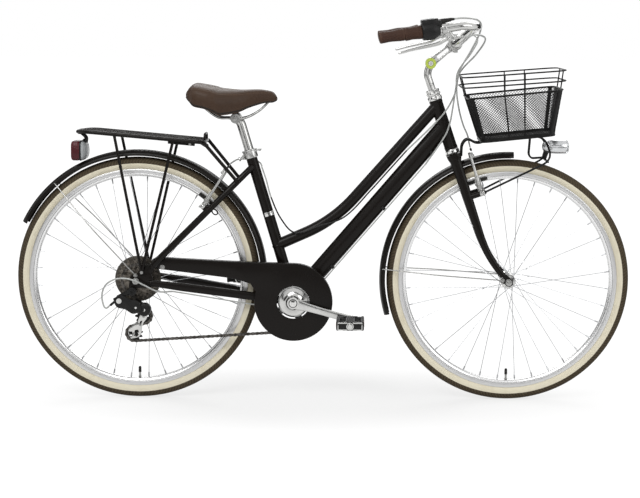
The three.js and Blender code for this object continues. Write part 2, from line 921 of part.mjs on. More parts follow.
function bottomBracket() {
  const half = frame.bracketWidth / 2;
  const bore = boreFor(bracketAxle.radius, 14);
  const lip = half + gap + bearing.lip;
  const profile = [
    [bore, -lip],
    [frame.bracketRadius - bearing.inset, -lip],
    [frame.bracketRadius - bearing.inset, -half - gap],
    [frame.bracketBore - gap, -half - gap],
    [frame.bracketBore - gap, half + gap],
    [frame.bracketRadius - bearing.inset, half + gap],
    [frame.bracketRadius - bearing.inset, lip],
    [bore, lip],
  ];
  return turnedPiece(profile, bracket, sideways, 14);
}
add("bottom_bracket", bottomBracket(), steel);

// Fork

function bladePlace(down, side) {
  const past = Math.max(0, (down - fork.bendStart) / (fork.length - fork.bendStart));
  const share = (down - fork.bladeTop) / (fork.length - fork.bladeTop);
  const tipSide = fork.endInner + fork.endThickness / 2;
  return onSteer(down, fork.rake * past * past, side * (fork.bladeSide + (tipSide - fork.bladeSide) * share));
}

function forkBlade(side) {
  const downs = [fork.bladeTop, fork.bendStart];
  for (let i = 1; i <= fork.bendSteps; i++) {
    downs.push(fork.bendStart + ((fork.length - fork.endReach - fork.bendStart) * i) / fork.bendSteps);
  }
  const share = (down) => (down - fork.bladeTop) / (fork.length - fork.bladeTop);
  const widths = downs.map((down) => (fork.bladeWidth + (fork.tipWidth - fork.bladeWidth) * share(down)) / 2);
  const depths = downs.map((down) => (fork.bladeDepth + (fork.tipDepth - fork.bladeDepth) * share(down)) / 2);
  return bar3(downs.map((down) => bladePlace(down, side)), widths, depths, 8);
}

const crownTop = headset.lowerHeight + gap * 2;
const steererTop = frame.headTubeLength + headset.rise - headset.cover;

function forkPiece() {
  const steerer = rod([onSteer(crownTop + overrun), onSteer(-steererTop)], fork.steererRadius, 14);
  const crown = bar3(
    [onSteer(crownTop), onSteer(crownTop + fork.crownLength)],
    fork.bladeSide + fork.bladeWidth / 2,
    [fork.crownDepth / 2, fork.bladeDepth / 2],
    8,
  );
  const eyelet = frontAxle.clone().add(at(-frontGuard.eyeBehind, 0, frontGuard.eyeAbove));
  const ends = [-1, 1].flatMap((side) => [
    sideDisc(frontAxle, side, fork.endInner, fork.endInner + fork.endThickness, fork.endRadius),
    sideDisc(eyelet, side, fork.endInner, fork.endInner + fork.endThickness, stay.eyelet.radius, 8),
    beam(
      [bladePlace(fork.length - fork.endReach - overrun, 1), frontAxle].map((place) =>
        place.clone().setY(side * (fork.endInner + fork.endThickness / 2)),
      ),
      fork.endThickness,
      fork.tipDepth,
    ),
  ]);
  const studs = [-1, 1].map((side) => brakeStud(brake.front, steerAhead, steerDown, onSteer(0), side));
  const whole = join(steerer, crown, forkBlade(-1), forkBlade(1), ends, studs);
  const bore = rod([onSteer(crownTop + fork.crownLength + overrun), onSteer(-steererTop - overrun)], fork.steererBore, 14);
  const axleBore = disc(frontAxle, -stay.boreReach, stay.boreReach, axle.radius + gap, 12);
  return cut(whole, bore, axleBore);
}
add("fork", forkPiece(), blackPaint);

// Wheels

function tyrePiece(centre) {
  const half = tyre.width / 2;
  const profile = [];
  for (let i = 0; i <= tyre.sectionSteps; i++) {
    const angle = radians(tyre.wrap * (i / tyre.sectionSteps - 0.5));
    profile.push([tyre.radius - half + half * Math.cos(angle), half * Math.sin(angle)]);
  }
  const bead = rim.width / 2 - rim.beadInset;
  profile.push([tyre.seatRadius + gap, bead], [tyre.seatRadius + gap, -bead]);
  return turnedPiece(profile, centre, sideways, tyre.sides);
}

function rimPiece(centre) {
  const half = rim.width / 2;
  const inner = tyre.seatRadius - rim.depth;
  const bed = rim.spokeBed / 2;
  const profile = [
    [tyre.seatRadius, -half],
    [tyre.seatRadius, half],
    [inner, bed],
    [inner, -bed],
  ];
  const valve = rod(
    [
      centre.clone().add(at(0, 0, -inner - rim.depth / 2)),
      centre.clone().add(at(0, 0, -inner + rim.valveLength)),
    ],
    rim.valveRadius,
  );
  return join(turnedPiece(profile, centre, sideways, tyre.sides), valve);
}

function spokes(centre, flangeRadius, leftSide, rightSide) {
  const each = spoke.count / 2;
  const made = [];
  for (const [side, place] of [[1, leftSide], [-1, -rightSide]]) {
    for (let i = 0; i < each; i++) {
      const hubAngle = (2 * Math.PI * (i + (side > 0 ? 0.5 : 0))) / each + radians(spoke.valveTurn);
      const way = i % 2 ? 1 : -1;
      const rimAngle = hubAngle + way * radians(spoke.cross);
      const hubEnd = centre
        .clone()
        .addScaledVector(turnOf(hubAngle), flangeRadius - spoke.inset)
        .add(at(0, place + way * spoke.headShift, 0));
      const rimEnd = centre
        .clone()
        .addScaledVector(turnOf(rimAngle), (tyre.seatRadius - rim.depth) * Math.cos(Math.PI / tyre.sides) - gap)
        .add(at(0, (side * rim.spokeBed) / 6, 0));
      made.push(bar3([hubEnd, rimEnd], spoke.radius, spoke.radius, spoke.sides));
    }
  }
  return made;
}

function frontHubPiece() {
  const h = frontHub;
  const bore = boreFor(axle.radius, 10);
  const profile = [
    [bore, -h.half],
    [h.neck, -h.half],
    [h.neck, -h.flange - h.flangeWidth / 2],
    [h.flangeRadius, -h.flange - h.flangeWidth / 2],
    [h.flangeRadius, -h.flange + h.flangeWidth / 2],
    [h.barrel, -h.flange + h.flangeWidth * 2],
    [h.barrel, h.flange - h.flangeWidth * 2],
    [h.flangeRadius, h.flange - h.flangeWidth / 2],
    [h.flangeRadius, h.flange + h.flangeWidth / 2],
    [h.neck, h.flange + h.flangeWidth / 2],
    [h.neck, h.half],
    [bore, h.half],
  ];
  return join(turnedPiece(profile, frontAxle, sideways, 10), spokes(frontAxle, h.flangeRadius, h.flange, h.flange));
}

function rearHubPiece() {
  const h = rearHub;
  const bore = boreFor(axle.radius, 12);
  const discHalf = h.discThickness / 2;
  const profile = [
    [bore, -h.right],
    [h.boss, -h.right],
    [h.boss, -h.discSide - discHalf],
    [h.discRadius, -h.discSide - discHalf],
    [h.discRadius, -h.discSide + discHalf],
    [h.boss, -h.discSide + discHalf],
    [h.flangeRadius, -h.rightFlange - h.flangeWidth / 2],
    [h.flangeRadius, -h.rightFlange + h.flangeWidth / 2],
    [h.barrel, -h.rightFlange + h.flangeWidth * 2],
    [h.barrel, h.flange - h.flangeWidth * 2],
    [h.flangeRadius, h.flange - h.flangeWidth / 2],
    [h.flangeRadius, h.flange + h.flangeWidth / 2],
    [axle.coneRadius, h.flange + h.flangeWidth / 2],
    [axle.coneRadius, h.left],
    [bore, h.left],
  ];
  return join(turnedPiece(profile, rearAxle, sideways, 12), spokes(rearAxle, h.flangeRadius, h.flange, h.rightFlange));
}

// A threaded rod with a cone inside and a nut outside each fork end or dropout.
function axlePiece(centre, cones, ends, thickness) {
  const nutStart = ends + thickness + gap;
  const tip = nutStart + axle.nutHeight + axle.stub;
  const pieces = [disc(centre, -tip, tip, axle.radius, 6)];
  for (const side of [-1, 1]) {
    const cone = side < 0 ? cones.right : cones.left;
    pieces.push(sideDisc(centre, side, cone + gap, ends - gap, axle.coneRadius, 8));
    pieces.push(sideDisc(centre, side, nutStart, nutStart + axle.nutHeight, axle.nutRadius, 6));
  }
  return join(...pieces);
}

for (const [name, centre] of [["front", frontAxle], ["rear", rearAxle]]) {
  add(name + "_tyre", tyrePiece(centre), tyreRubber);
  add(name + "_rim", rimPiece(centre), silver);
}
add("front_hub", frontHubPiece(), silver);
add("rear_hub", rearHubPiece(), silver);
add(
  "front_axle",
  axlePiece(frontAxle, { left: frontHub.half, right: frontHub.half }, fork.endInner, fork.endThickness),
  steel,
);
add(
  "rear_axle",
  axlePiece(rearAxle, { left: rearHub.left, right: rearHub.right }, stay.dropoutInner, stay.dropoutThickness),
  steel,
);

// Chain and the toothed wheels that it runs on

const guidePlace = at(rearAxle.x + derailleur.guide.ahead, 0, rearAxle.z - derailleur.guide.below);
const tensionPlace = at(rearAxle.x - derailleur.tension.behind, 0, rearAxle.z - derailleur.tension.below);
const chainWheels = [
  { name: "sprocket", centre: rearAxle, teeth: cogTeeth[cog.engaged], sense: 1 },
  { name: "chainring", centre: bracket, teeth: ring.teeth, sense: 1 },
  { name: "tension", centre: tensionPlace, teeth: pulley.teeth, sense: 1 },
  { name: "guide", centre: guidePlace, teeth: pulley.teeth, sense: -1 },
];
const pitchRadius = (teeth, pitch) => pitch / (2 * Math.sin(Math.PI / teeth));

// The chain's closed course: a straight run to each wheel and the arc round it, measured in links.
function chainCourse(pitch) {
  const count = chainWheels.length;
  const runs = chainWheels.map((wheel, i) => {
    const next = chainWheels[(i + 1) % count];
    const away = next.centre.clone().sub(wheel.centre);
    const r1 = wheel.sense * pitchRadius(wheel.teeth, pitch);
    const r2 = next.sense * pitchRadius(next.teeth, pitch);
    const angle = Math.atan2(away.z, away.x) + Math.asin((r2 - r1) / away.length());
    const left = turnOf(angle + Math.PI / 2);
    return {
      angle,
      from: wheel.centre.clone().addScaledVector(left, r1),
      to: next.centre.clone().addScaledVector(left, r2),
    };
  });
  const legs = [];
  let total = 0;
  chainWheels.forEach((wheel, i) => {
    const arriving = runs[(i + count - 1) % count];
    const leaving = runs[i];
    const start = arriving.angle + (wheel.sense * Math.PI) / 2;
    const turn = 2 * Math.PI;
    const swept = (((wheel.sense * (arriving.angle - leaving.angle)) % turn) + turn) % turn;
    const arc = { wheel, start, first: total, links: (swept * wheel.teeth) / turn };
    const line = { run: leaving, first: total + arc.links, links: leaving.from.distanceTo(leaving.to) / pitch };
    total = line.first + line.links;
    legs.push(arc, line);
  });
  return { legs, total, pitch };
}

function closedCourse() {
  let course = chainCourse(chain.pitch);
  const links = 2 * Math.round(course.total / 2);
  for (let i = 0; i < chain.settleSteps; i++) course = chainCourse((course.pitch * course.total) / links);
  return { ...course, links };
}
const course = closedCourse();

function onCourse(place) {
  const wrapped = ((place % course.links) + course.links) % course.links;
  const leg = course.legs.find((l) => wrapped < l.first + l.links) ?? course.legs[course.legs.length - 1];
  const inLeg = wrapped - leg.first;
  if (leg.run) {
    const along = turnOf(leg.run.angle);
    return { place: leg.run.from.clone().addScaledVector(along, inLeg * course.pitch), along };
  }
  const { centre, teeth, sense } = leg.wheel;
  const angle = leg.start - (sense * inLeg * 2 * Math.PI) / teeth;
  const out = turnOf(angle);
  return {
    place: centre.clone().addScaledVector(out, pitchRadius(teeth, course.pitch)),
    along: turnOf(angle - (sense * Math.PI) / 2),
  };
}

// The angle of one of the wheel's tooth gaps, where a roller lies.
function gapAngle(name) {
  const leg = course.legs.find((l) => l.wheel?.name === name);
  return leg.start + (leg.wheel.sense * leg.first * 2 * Math.PI) / leg.wheel.teeth;
}

function insideCase(place) {
  const upper = place.z > bracket.z && place.x > bracket.x - chainCase.rearEnd + chain.pitch * 2;
  return place.distanceTo(bracket) < chainCase.discRadius - chain.pitch / 2 || upper;
}
const betweenCagePlates = (place) =>
  [guidePlace, tensionPlace].some((centre) => place.distanceTo(centre) < pitchRadius(pulley.teeth, course.pitch) + gap);
const onStraight = (place) => {
  const leg = course.legs.find((l) => place >= l.first && place < l.first + l.links);
  return Boolean(leg?.run) && place - 1 >= leg.first && place + 1 < leg.first + leg.links;
};

// Two rows of link plates joined by a roller at each pin. Out of sight inside the case the links are plain.
function chainPiece() {
  const stations = [];
  for (let i = 0; i < course.links; i++) {
    const hidden = insideCase(onCourse(i).place);
    if (hidden && (i % 2 || (onStraight(i) && insideCase(onCourse(i + 2).place) && insideCase(onCourse(i - 2).place)))) continue;
    if (hidden || betweenCagePlates(onCourse(i).place)) {
      stations.push({ at: i, height: chain.plateHeight });
      continue;
    }
    stations.push({ at: i - chain.rollerShare, height: chain.plateHeight, roller: true });
    stations.push({ at: i + chain.rollerShare, height: chain.plateHeight });
  }
  const inner = chain.innerWidth / 2;
  const outer = inner + chain.plateThickness;
  const corners = [
    [outer, 1],
    [inner, 1],
    [inner, -1],
    [outer, -1],
  ];
  const positions = [];
  const faces = [];
  const quad = (a, b, c, d) => faces.push(a, b, c, a, c, d);
  stations.forEach(({ at: where, height }) => {
    const { place, along } = onCourse(where);
    const up = at(-along.z, 0, along.x);
    for (const side of [1, -1]) {
      for (const [wide, high] of corners) {
        const p = place.clone().addScaledVector(up, (high * height) / 2);
        positions.push(p.x, -chain.line + side * wide, p.z);
      }
    }
  });
  stations.forEach(({ roller }, i) => {
    const here = i * 8;
    const next = ((i + 1) % stations.length) * 8;
    for (const row of [0, 4]) {
      const flip = row === 4;
      for (let j = 0; j < 4; j++) {
        const k = (j + 1) % 4;
        if (roller && j === 1) continue;
        const [a, b, c, d] = [here + row + j, here + row + k, next + row + k, next + row + j];
        if (flip) quad(d, c, b, a);
        else quad(a, b, c, d);
      }
    }
    if (!roller) return;
    quad(here + 1, here + 5, next + 5, next + 1);
    quad(here + 6, here + 2, next + 2, next + 6);
    quad(here + 5, here + 1, here + 2, here + 6);
    quad(next + 1, next + 5, next + 6, next + 2);
  });
  const geometry = new THREE.BufferGeometry();
  geometry.setAttribute("position", new THREE.Float32BufferAttribute(positions, 3));
  geometry.setIndex(faces);
  return solidOf(geometry);
}
add("chain", chainPiece(), darkSteel);

// A toothed wheel's outline: a flat gap for each roller and a pointed tooth between two gaps.
// Where no chain lies the gaps are plain notches.
function toothedOutline(teeth, pitch, firstGap, engaged = true) {
  const radius = pitchRadius(teeth, pitch);
  const root = radius - chain.toothRoot;
  const tip = radius + chain.toothTip;
  const half = Math.PI / teeth;
  const rootHalf = (pitch * (chain.rollerShare + chain.rollerRoomShare)) / root;
  const points = [];
  for (let i = 0; i < teeth; i++) {
    const middle = firstGap + (2 * Math.PI * i) / teeth;
    const flat = engaged ? [[root, -rootHalf], [root, rootHalf]] : [[root, 0]];
    for (const [r, offset] of [...flat, [tip, half]]) {
      points.push(new THREE.Vector2(r * Math.cos(middle + offset), r * Math.sin(middle + offset)));
    }
  }
  return points;
}

function toothedPlate(outline, centre, middle, thickness, holes = []) {
  const shape = new THREE.Shape(outline);
  shape.holes = holes;
  return plate(shape, -middle - thickness / 2, -middle + thickness / 2).translate([centre.x, 0, centre.z]);
}

function roundHole(radius, steps = 14) {
  return new THREE.Path(Array.from({ length: steps }, (_, i) => {
    const [c, s] = turned(i, steps);
    return new THREE.Vector2(radius * c, radius * s);
  }));
}

function freewheel() {
  const cogs = cogTeeth.map((teeth, i) => {
    const middle = chain.line + (cog.engaged - i) * cog.spacing;
    const first = i === cog.engaged ? gapAngle("sprocket") : 0;
    const outline = toothedOutline(teeth, course.pitch, first, i === cog.engaged);
    return toothedPlate(outline, rearAxle, middle, cog.thickness);
  });
  const half = cog.thickness / 2 + gap;
  const low = chain.line + (cog.engaged - cogTeeth.length + 1) * cog.spacing - half;
  const high = chain.line + cog.engaged * cog.spacing + half;
  const sleeve = disc(rearAxle, -high, -low, cog.sleeveOuter, 12);
  const bore = disc(rearAxle, -high - overrun, -low + overrun, boreFor(rearHub.boss, 12), 12);
  return cut(join(sleeve, cogs), bore);
}
add("freewheel", freewheel(), darkSteel);

// One of the slots between the chainring's arms.
function ringSlot(i) {
  const part = (2 * Math.PI) / ring.arms;
  const start = part * (i + ring.armShare / 2);
  const end = part * (i + 1 - ring.armShare / 2);
  const points = [];
  for (let j = 0; j <= ring.slotSteps; j++) points.push([ring.slotOuter, start + ((end - start) * j) / ring.slotSteps]);
  for (let j = ring.slotSteps; j >= 0; j--) points.push([ring.slotInner, start + ((end - start) * j) / ring.slotSteps]);
  return new THREE.Path(points.map(([r, a]) => new THREE.Vector2(r * Math.cos(a), r * Math.sin(a))));
}

function chainring() {
  const outline = toothedOutline(ring.teeth, course.pitch, gapAngle("chainring"));
  const slots = Array.from({ length: ring.arms }, (_, i) => ringSlot(i));
  return toothedPlate(outline, bracket, chain.line, ring.thickness, [roundHole(boreFor(ring.bore - gap, 14)), ...slots]);
}
add("chainring", chainring(), silver);

// Cranks and pedals

const crankDirection = (side) => turnOf(-radians(crank.drop)).multiplyScalar(-side);
const pedalPlace = (side) => bracket.clone().addScaledVector(crankDirection(side), crank.length);

function crankPiece(side) {
  const middle = crank.inner + crank.thickness / 2;
  const root = at(bracket.x, side * middle, bracket.z);
  const eye = pedalPlace(side).add(at(0, side * (middle + crank.flare), 0));
  const arm = beam(
    [root, root.clone().lerp(eye, crank.waistShare), eye],
    [crank.thickness, crank.thickness * crank.waistShares[0], crank.tipThickness],
    [crank.rootDepth, crank.waistDepth, crank.tipDepth],
  );
  const outer = middle + crank.thickness / 2;
  const eyeInner = middle + crank.flare - crank.tipThickness / 2;
  const eyeOuter = eyeInner + crank.tipThickness;
  const pieces = [
    arm,
    sideDisc(bracket, side, crank.inner - crank.thickness / 4, outer, crank.bossRadius, 14),
    sideDisc(eye, side, eyeInner, eyeOuter, crank.tipDepth / 2, 10),
    sideDisc(eye, side, eyeInner, pedal.start + crank.spindleLength, crank.spindle, 8),
  ];
  if (side < 0) {
    const face = chain.line + ring.thickness / 2 + gap;
    pieces.push(sideDisc(bracket, side, face, face + crank.discThickness, crank.discRadius, 14));
    pieces.push(sideDisc(bracket, side, chain.line - ring.thickness / 2, outer, ring.bore - gap, 14));
  }
  const bore = disc(bracket, -stay.boreReach, stay.boreReach, boreFor(bracketAxle.radius, 8), 8);
  return cut(join(pieces), bore);
}

function pedalPiece(side) {
  const eye = pedalPlace(side);
  const from = Math.min(side * pedal.start, side * (pedal.start + pedal.width));
  const to = from + pedal.width;
  const half = pedal.length / 2;
  const cornered = (reach, depth, corner) =>
    flatPoints([
      [-reach + corner, -depth],
      [reach - corner, -depth],
      [reach, -depth + corner],
      [reach, depth - corner],
      [reach - corner, depth],
      [-reach + corner, depth],
      [-reach, depth - corner],
      [-reach, -depth + corner],
    ]);
  const shape = new THREE.Shape(cornered(half, pedal.width / 2, pedal.corner));
  const slab = new THREE.ExtrudeGeometry(shape, { depth: pedal.height, bevelEnabled: false });
  const body = solidOf(slab.translate(eye.x, (from + to) / 2, eye.z - pedal.height / 2));
  const inner = half - pedal.wall;
  const openings = [-1, 1].map((way) => {
    const ends = [way * pedal.sleeve, way * inner].sort((a, b) => a - b);
    return block(
      at(eye.x + ends[0], from + pedal.wall, eye.z - pedal.height),
      at(eye.x + ends[1], to - pedal.wall, eye.z + pedal.height),
    );
  });
  return cut(body, openings, disc(eye, from - overrun, to + overrun, boreFor(crank.spindle, 8), 8));
}

for (const [name, side] of [["right", -1], ["left", 1]]) {
  add("crank_" + name, crankPiece(side), silver);
  add("pedal_" + name, pedalPiece(side), blackPlastic);
}
add("bracket_axle", disc(bracket, -bracketAxle.half, bracketAxle.half, bracketAxle.radius, 8), steel);

// Chain case: one outline filled, hollowed from its inner side, and opened at the crank, at its rear end and below

function caseOutline(inset) {
  const c = chainCase;
  return flatPoints([
    [bracket.x - c.rearEnd, bracket.z + c.rearTop - inset],
    [bracket.x - c.midBehind, bracket.z + c.midTop - inset],
    [bracket.x, bracket.z + c.frontTop - inset],
    [bracket.x, bracket.z],
    [bracket.x - c.midBehind, bracket.z + c.midBottom + inset],
    [bracket.x - c.rearEnd, bracket.z + c.rearBottom + inset],
  ].reverse());
}

function chainCasePiece() {
  const c = chainCase;
  const skin = join(plate(caseOutline(0), -c.outer, -c.inner), disc(bracket, -c.outer, -c.inner, c.discRadius, 24));
  const inside = -c.outer + c.wall;
  const pocket = join(
    plate(caseOutline(c.wall), inside, -c.inner + overrun),
    disc(bracket, inside, -c.inner + overrun, c.discRadius - c.wall, 24),
    block(
      at(bracket.x - c.rearEnd - overrun, inside, bracket.z + c.rearBottom + c.wall),
      at(bracket.x - c.rearEnd + c.wall, -c.inner + overrun, bracket.z + c.rearTop - c.wall),
    ),
  );
  const hole = disc(bracket, -c.outer - overrun, 0, c.holeRadius, 16);
  const lower = course.legs.find((leg) => leg.run && leg.run.from.z < bracket.z && leg.run.from.x > rearAxle.x).run;
  const mouth = beam(
    [lower.from.clone().lerp(bracket, c.mouthShare).setZ(lower.from.z), lower.to].map((p) => p.clone().setY(-chain.line)),
    c.mouthWidth,
    chain.plateHeight + c.mouthRoom * 2,
  );
  const seatstayRoom = rod(seatstayPath(-1), stay.seatRadius + gap, 10);
  const chainstayRoom = bar3(chainstayPath(-1), stay.chainWidth / 2 + gap, stay.chainDepth / 2 + gap, 10);
  return cut(skin, pocket, hole, mouth, seatstayRoom, chainstayRoom);
}
add("chain_case", chainCasePiece(), blackPaint);

// Mudguards

function guardSection() {
  const g = mudguard;
  const outer = [
    [-g.halfWidth, g.skirt],
    [-g.halfWidth * g.crownShare, g.radius],
    [g.halfWidth * g.crownShare, g.radius],
    [g.halfWidth, g.skirt],
  ];
  const inner = outer.map(([y, r]) => [y * (1 - g.wall / g.halfWidth), r > g.radius - g.wall ? r - g.wall : r]);
  return [...outer, ...inner.reverse()];
}

function guardPiece(centre, spec, wireEnd) {
  const section = guardSection();
  const rings = [];
  for (let i = 0; i <= spec.steps; i++) {
    const out = turnOf(radians(spec.from + ((spec.to - spec.from) * i) / spec.steps));
    rings.push(section.map(([y, r]) => centre.clone().addScaledVector(out, r).add(at(0, y, 0))));
  }
  const skin = loft(rings);
  const drawnIn = ((1 - mudguard.crownShare) * mudguard.wireInset) / (mudguard.radius - mudguard.skirt);
  const wallSide = mudguard.halfWidth * (1 - drawnIn);
  const wires = [-1, 1].flatMap((side) => {
    const grip = centre
      .clone()
      .addScaledVector(turnOf(radians(spec.stayAngle)), mudguard.skirt + mudguard.wireInset)
      .add(at(0, side * wallSide, 0));
    const end = wireEnd(side);
    const eye = sideDisc(end, side, Math.abs(end.y) - mudguard.stayRadius, Math.abs(end.y) + mudguard.stayRadius, mudguard.eye, 8);
    const bend = end.clone().lerp(grip, mudguard.wireBendShare).setY(end.y);
    return [rod([grip, bend, end], mudguard.stayRadius, 4), eye];
  });
  return join(skin, wires);
}

function frontGuardPiece() {
  const wires = guardPiece(frontAxle, frontGuard, (side) =>
    frontAxle.clone().add(at(-frontGuard.eyeBehind, side * (fork.endInner + fork.endThickness + gap + mudguard.stayRadius), frontGuard.eyeAbove)),
  );
  const low = onSteer(crownTop + fork.crownLength + gap);
  const halfStep = radians((frontGuard.to - frontGuard.from) / frontGuard.steps / 2);
  const foot = frontAxle.clone().addScaledVector(low.clone().sub(frontAxle).normalize(), mudguard.radius * Math.cos(halfStep) - mudguard.wall / 2);
  return join(wires, rod([foot, low], mudguard.bracketRadius, 6));
}

const rearWireEnd = (side) =>
  rearAxle.clone().add(at(0, side * (stay.dropoutInner + stay.dropoutThickness + gap + mudguard.stayRadius), rearGuard.eyeAbove));
add("rear_mudguard", guardPiece(rearAxle, rearGuard, rearWireEnd), blackPaint);
add("front_mudguard", frontGuardPiece(), blackPaint);

// Luggage rack

function rackPiece() {
  const r = rack;
  const place = (p, y, drop = 0) => at(p.x, y, p.z - drop);
  const loop = rounded(
    [
      place(r.front, -r.side),
      place(r.shoulder, -r.side),
      at(r.rear.x, -r.side * r.tipShare, r.rear.z),
      at(r.rear.x, r.side * r.tipShare, r.rear.z),
      place(r.shoulder, r.side),
      place(r.front, r.side),
    ],
    r.cornerLength,
    2,
    true,
  );
  const along = (share) => at(
    r.front.x + (r.shoulder.x - r.front.x) * share,
    0,
    r.front.z + (r.shoulder.z - r.front.z) * share,
  );
  const pieces = [ringRod(loop, r.railRadius, 4)];
  for (const y of [-r.side * r.wireShare, r.side * r.wireShare]) {
    pieces.push(rod([at(along(0).x, y, along(0).z), at(r.rear.x, y, r.rear.z)], r.wireRadius, 4));
  }
  for (const share of r.crossShares) {
    const p = along(share);
    pieces.push(rod([at(p.x, -r.side, p.z), at(p.x, r.side, p.z)], r.wireRadius, 4));
  }
  const stop = rounded(
    [
      place(r.front, -r.side * r.stopShare),
      place(r.front, -r.side * r.stopShare, -r.stopHeight),
      place(r.front, r.side * r.stopShare, -r.stopHeight),
      place(r.front, r.side * r.stopShare),
    ],
    r.stopHeight / 2,
    2,
  );
  pieces.push(rod(stop, r.wireRadius, 4));
  const nose = seatstayWaist(1).lerp(seatstayTop(1), r.noseShare);
  for (const side of [-1, 1]) {
    const outer = side * (stay.dropoutInner + stay.dropoutThickness + gap);
    const foot = at(eyeletPlace.x, outer + (side * r.footThickness) / 2, eyeletPlace.z);
    pieces.push(sideDisc(foot, side, Math.abs(outer), Math.abs(outer) + r.footThickness, stay.eyelet.radius, 8));
    pieces.push(
      sideDisc(foot, side, Math.abs(outer) + r.footThickness, Math.abs(outer) + r.footThickness + r.boltHead, r.boltRadius, 6),
    );
    for (const top of [r.rearStrut, r.frontStrut]) {
      const low = at(foot.x, side * r.strutSide, foot.z);
      const bend = low.clone().lerp(at(top.x, side * r.side, top.z), r.bendShare).setY(side * r.strutSide);
      pieces.push(rod([at(top.x, side * r.side, top.z), bend, low], r.strutRadius, 4));
    }
    const end = at(nose.x, side * (nose.y + stay.seatRadius + r.noseRadius + gap), nose.z);
    pieces.push(rod([place(r.front, side * r.side), end], r.noseRadius, 4));
  }
  return join(pieces);
}
add("luggage_rack", rackPiece(), blackPaint);

// Tail light: a body on the rack's rear bend with the lens behind it as one piece
function tailLightPiece() {
  const t = tailLight;
  const outline = (x, half, height, corner) => {
    const high = t.low + t.height / 2;
    return [
      [-half, -height / 2 + corner],
      [-half + corner, -height / 2],
      [half - corner, -height / 2],
      [half, -height / 2 + corner],
      [half, height / 2 - corner],
      [half - corner, height / 2],
      [-half + corner, height / 2],
      [-half, height / 2 - corner],
    ].map(([y, z]) => at(x, y, high + z));
  };
  const body = loft([
    outline(t.x, t.half - t.bevel, t.height - t.bevel * 2, t.corner),
    outline(t.x + t.bevel, t.half, t.height, t.corner),
    outline(t.x + t.depth - t.bevel, t.half, t.height, t.corner),
    outline(t.x + t.depth, t.half - t.bevel * 2, t.height - t.bevel * 2, t.corner),
  ]);
  const bracketBar = rod(
    [
      at(t.x + t.depth / 2, 0, t.low + t.height / 2),
      at(t.x + t.depth + t.bevel, 0, t.low + t.height),
      at(rack.rear.x, 0, rack.rear.z - rack.railRadius - gap * 3),
    ],
    t.bracketRadius,
    6,
  );
  return join(body, bracketBar);
}
add("tail_light", tailLightPiece(), tailRed);

// Seat post, saddle and its rails

function seatPostPiece() {
  const s = saddleClamp;
  const low = onSeat(frame.seatTubeLength - seatPost.insertion);
  const bend = onSeat(seatPost.top);
  const head = at(s.x, 0, s.z);
  const post = rod(rounded([low, bend, head], seatPost.bend, 3), seatPost.radius, 12);
  return cut(post, disc(head, -stay.boreReach, stay.boreReach, boreFor(s.radius, 12), 12));
}
add("seat_post", seatPostPiece(), silver);

function saddleRails() {
  const s = saddleClamp;
  const half = saddle.railPath.map(([x, y, z]) => at(x, y, z));
  const other = half.map((p) => p.clone().setY(-p.y)).reverse();
  const rails = rod([...half, ...other], s.railRadius, 5);
  return join(disc(at(s.x, 0, s.z), -s.half, s.half, s.radius, 12), rails);
}
add("saddle_rails", saddleRails(), steel);

// The saddle's cross section: a padded crown over a skirt, hollow below.
function saddleSection([along, top, low, half]) {
  const x = saddle.rear + saddle.length * along;
  const high = saddle.low + saddle.height * top;
  const base = saddle.low + saddle.height * low;
  const w = (saddle.width / 2) * half;
  return saddle.section.map(([across, up]) => at(x, w * across, base + (high - base) * up));
}

function saddlePiece() {
  return loft(saddle.stations.map(saddleSection));
}
add("saddle", saddlePiece(), saddleBrown);

// Stem: a quill that slides in the fork and an extension that turns on it

const stemPivot = at(stem.pivot.x, 0, stem.pivot.z);
const barClamp = stemPivot
  .clone()
  .add(at(stem.extension * Math.cos(radians(stem.rise)), 0, stem.extension * Math.sin(radians(stem.rise))));

function quillPiece() {
  const path = rounded(
    [onSteer(-frame.headTubeLength - headset.rise + stem.quillDepth), onSteer(-stem.neck.up - frame.headTubeLength), stemPivot],
    stem.bend,
    3,
  );
  const p = stem.pivot;
  const earRoom = [-1, 1].map((side) => sideDisc(stemPivot, side, p.barrelHalf, p.half + overrun, boreFor(p.radius, 12)));
  const pieces = [cut(rod(path, stem.quillRadius, 10), earRoom), disc(stemPivot, -p.barrelHalf, p.barrelHalf, p.radius, 12)];
  pieces.push(disc(stemPivot, -p.half - p.head, p.half + p.head, p.pin, 8));
  for (const side of [-1, 1]) {
    pieces.push(sideDisc(stemPivot, side, p.half + gap, p.half + p.head, p.radius, 12));
  }
  return join(pieces);
}
add("stem_quill", quillPiece(), silver);

function stemExtension() {
  const p = stem.pivot;
  const inner = p.barrelHalf + gap;
  const pieces = [disc(barClamp, -stem.clampHalf, stem.clampHalf, stem.clampRadius, 14)];
  for (const side of [-1, 1]) {
    const y = (side * (inner + p.half)) / 2;
    pieces.push(sideDisc(stemPivot, side, inner, p.half, p.radius, 12));
    pieces.push(beam([stemPivot.clone().setY(y), barClamp.clone().setY(y)], p.half - inner, p.armDepth));
  }
  const bolt = barClamp.clone().add(at(0, 0, -stem.clampRadius));
  pieces.push(disc(bolt, -stem.boltHalf, stem.boltHalf, stem.boltRadius, 8));
  const barRoom = disc(barClamp, -stay.boreReach, stay.boreReach, boreFor(bar.clampRadius, 12), 12);
  const pinRoom = disc(stemPivot, -stay.boreReach, stay.boreReach, boreFor(p.pin, 8), 8);
  const barrelRoom = disc(stemPivot, -inner, inner, boreFor(p.radius, 12), 12);
  return cut(join(pieces), barRoom, pinRoom, barrelRoom);
}
add("stem_extension", stemExtension(), silver);

// Handlebar and what it carries. Places along the straight end are measured from its tip.

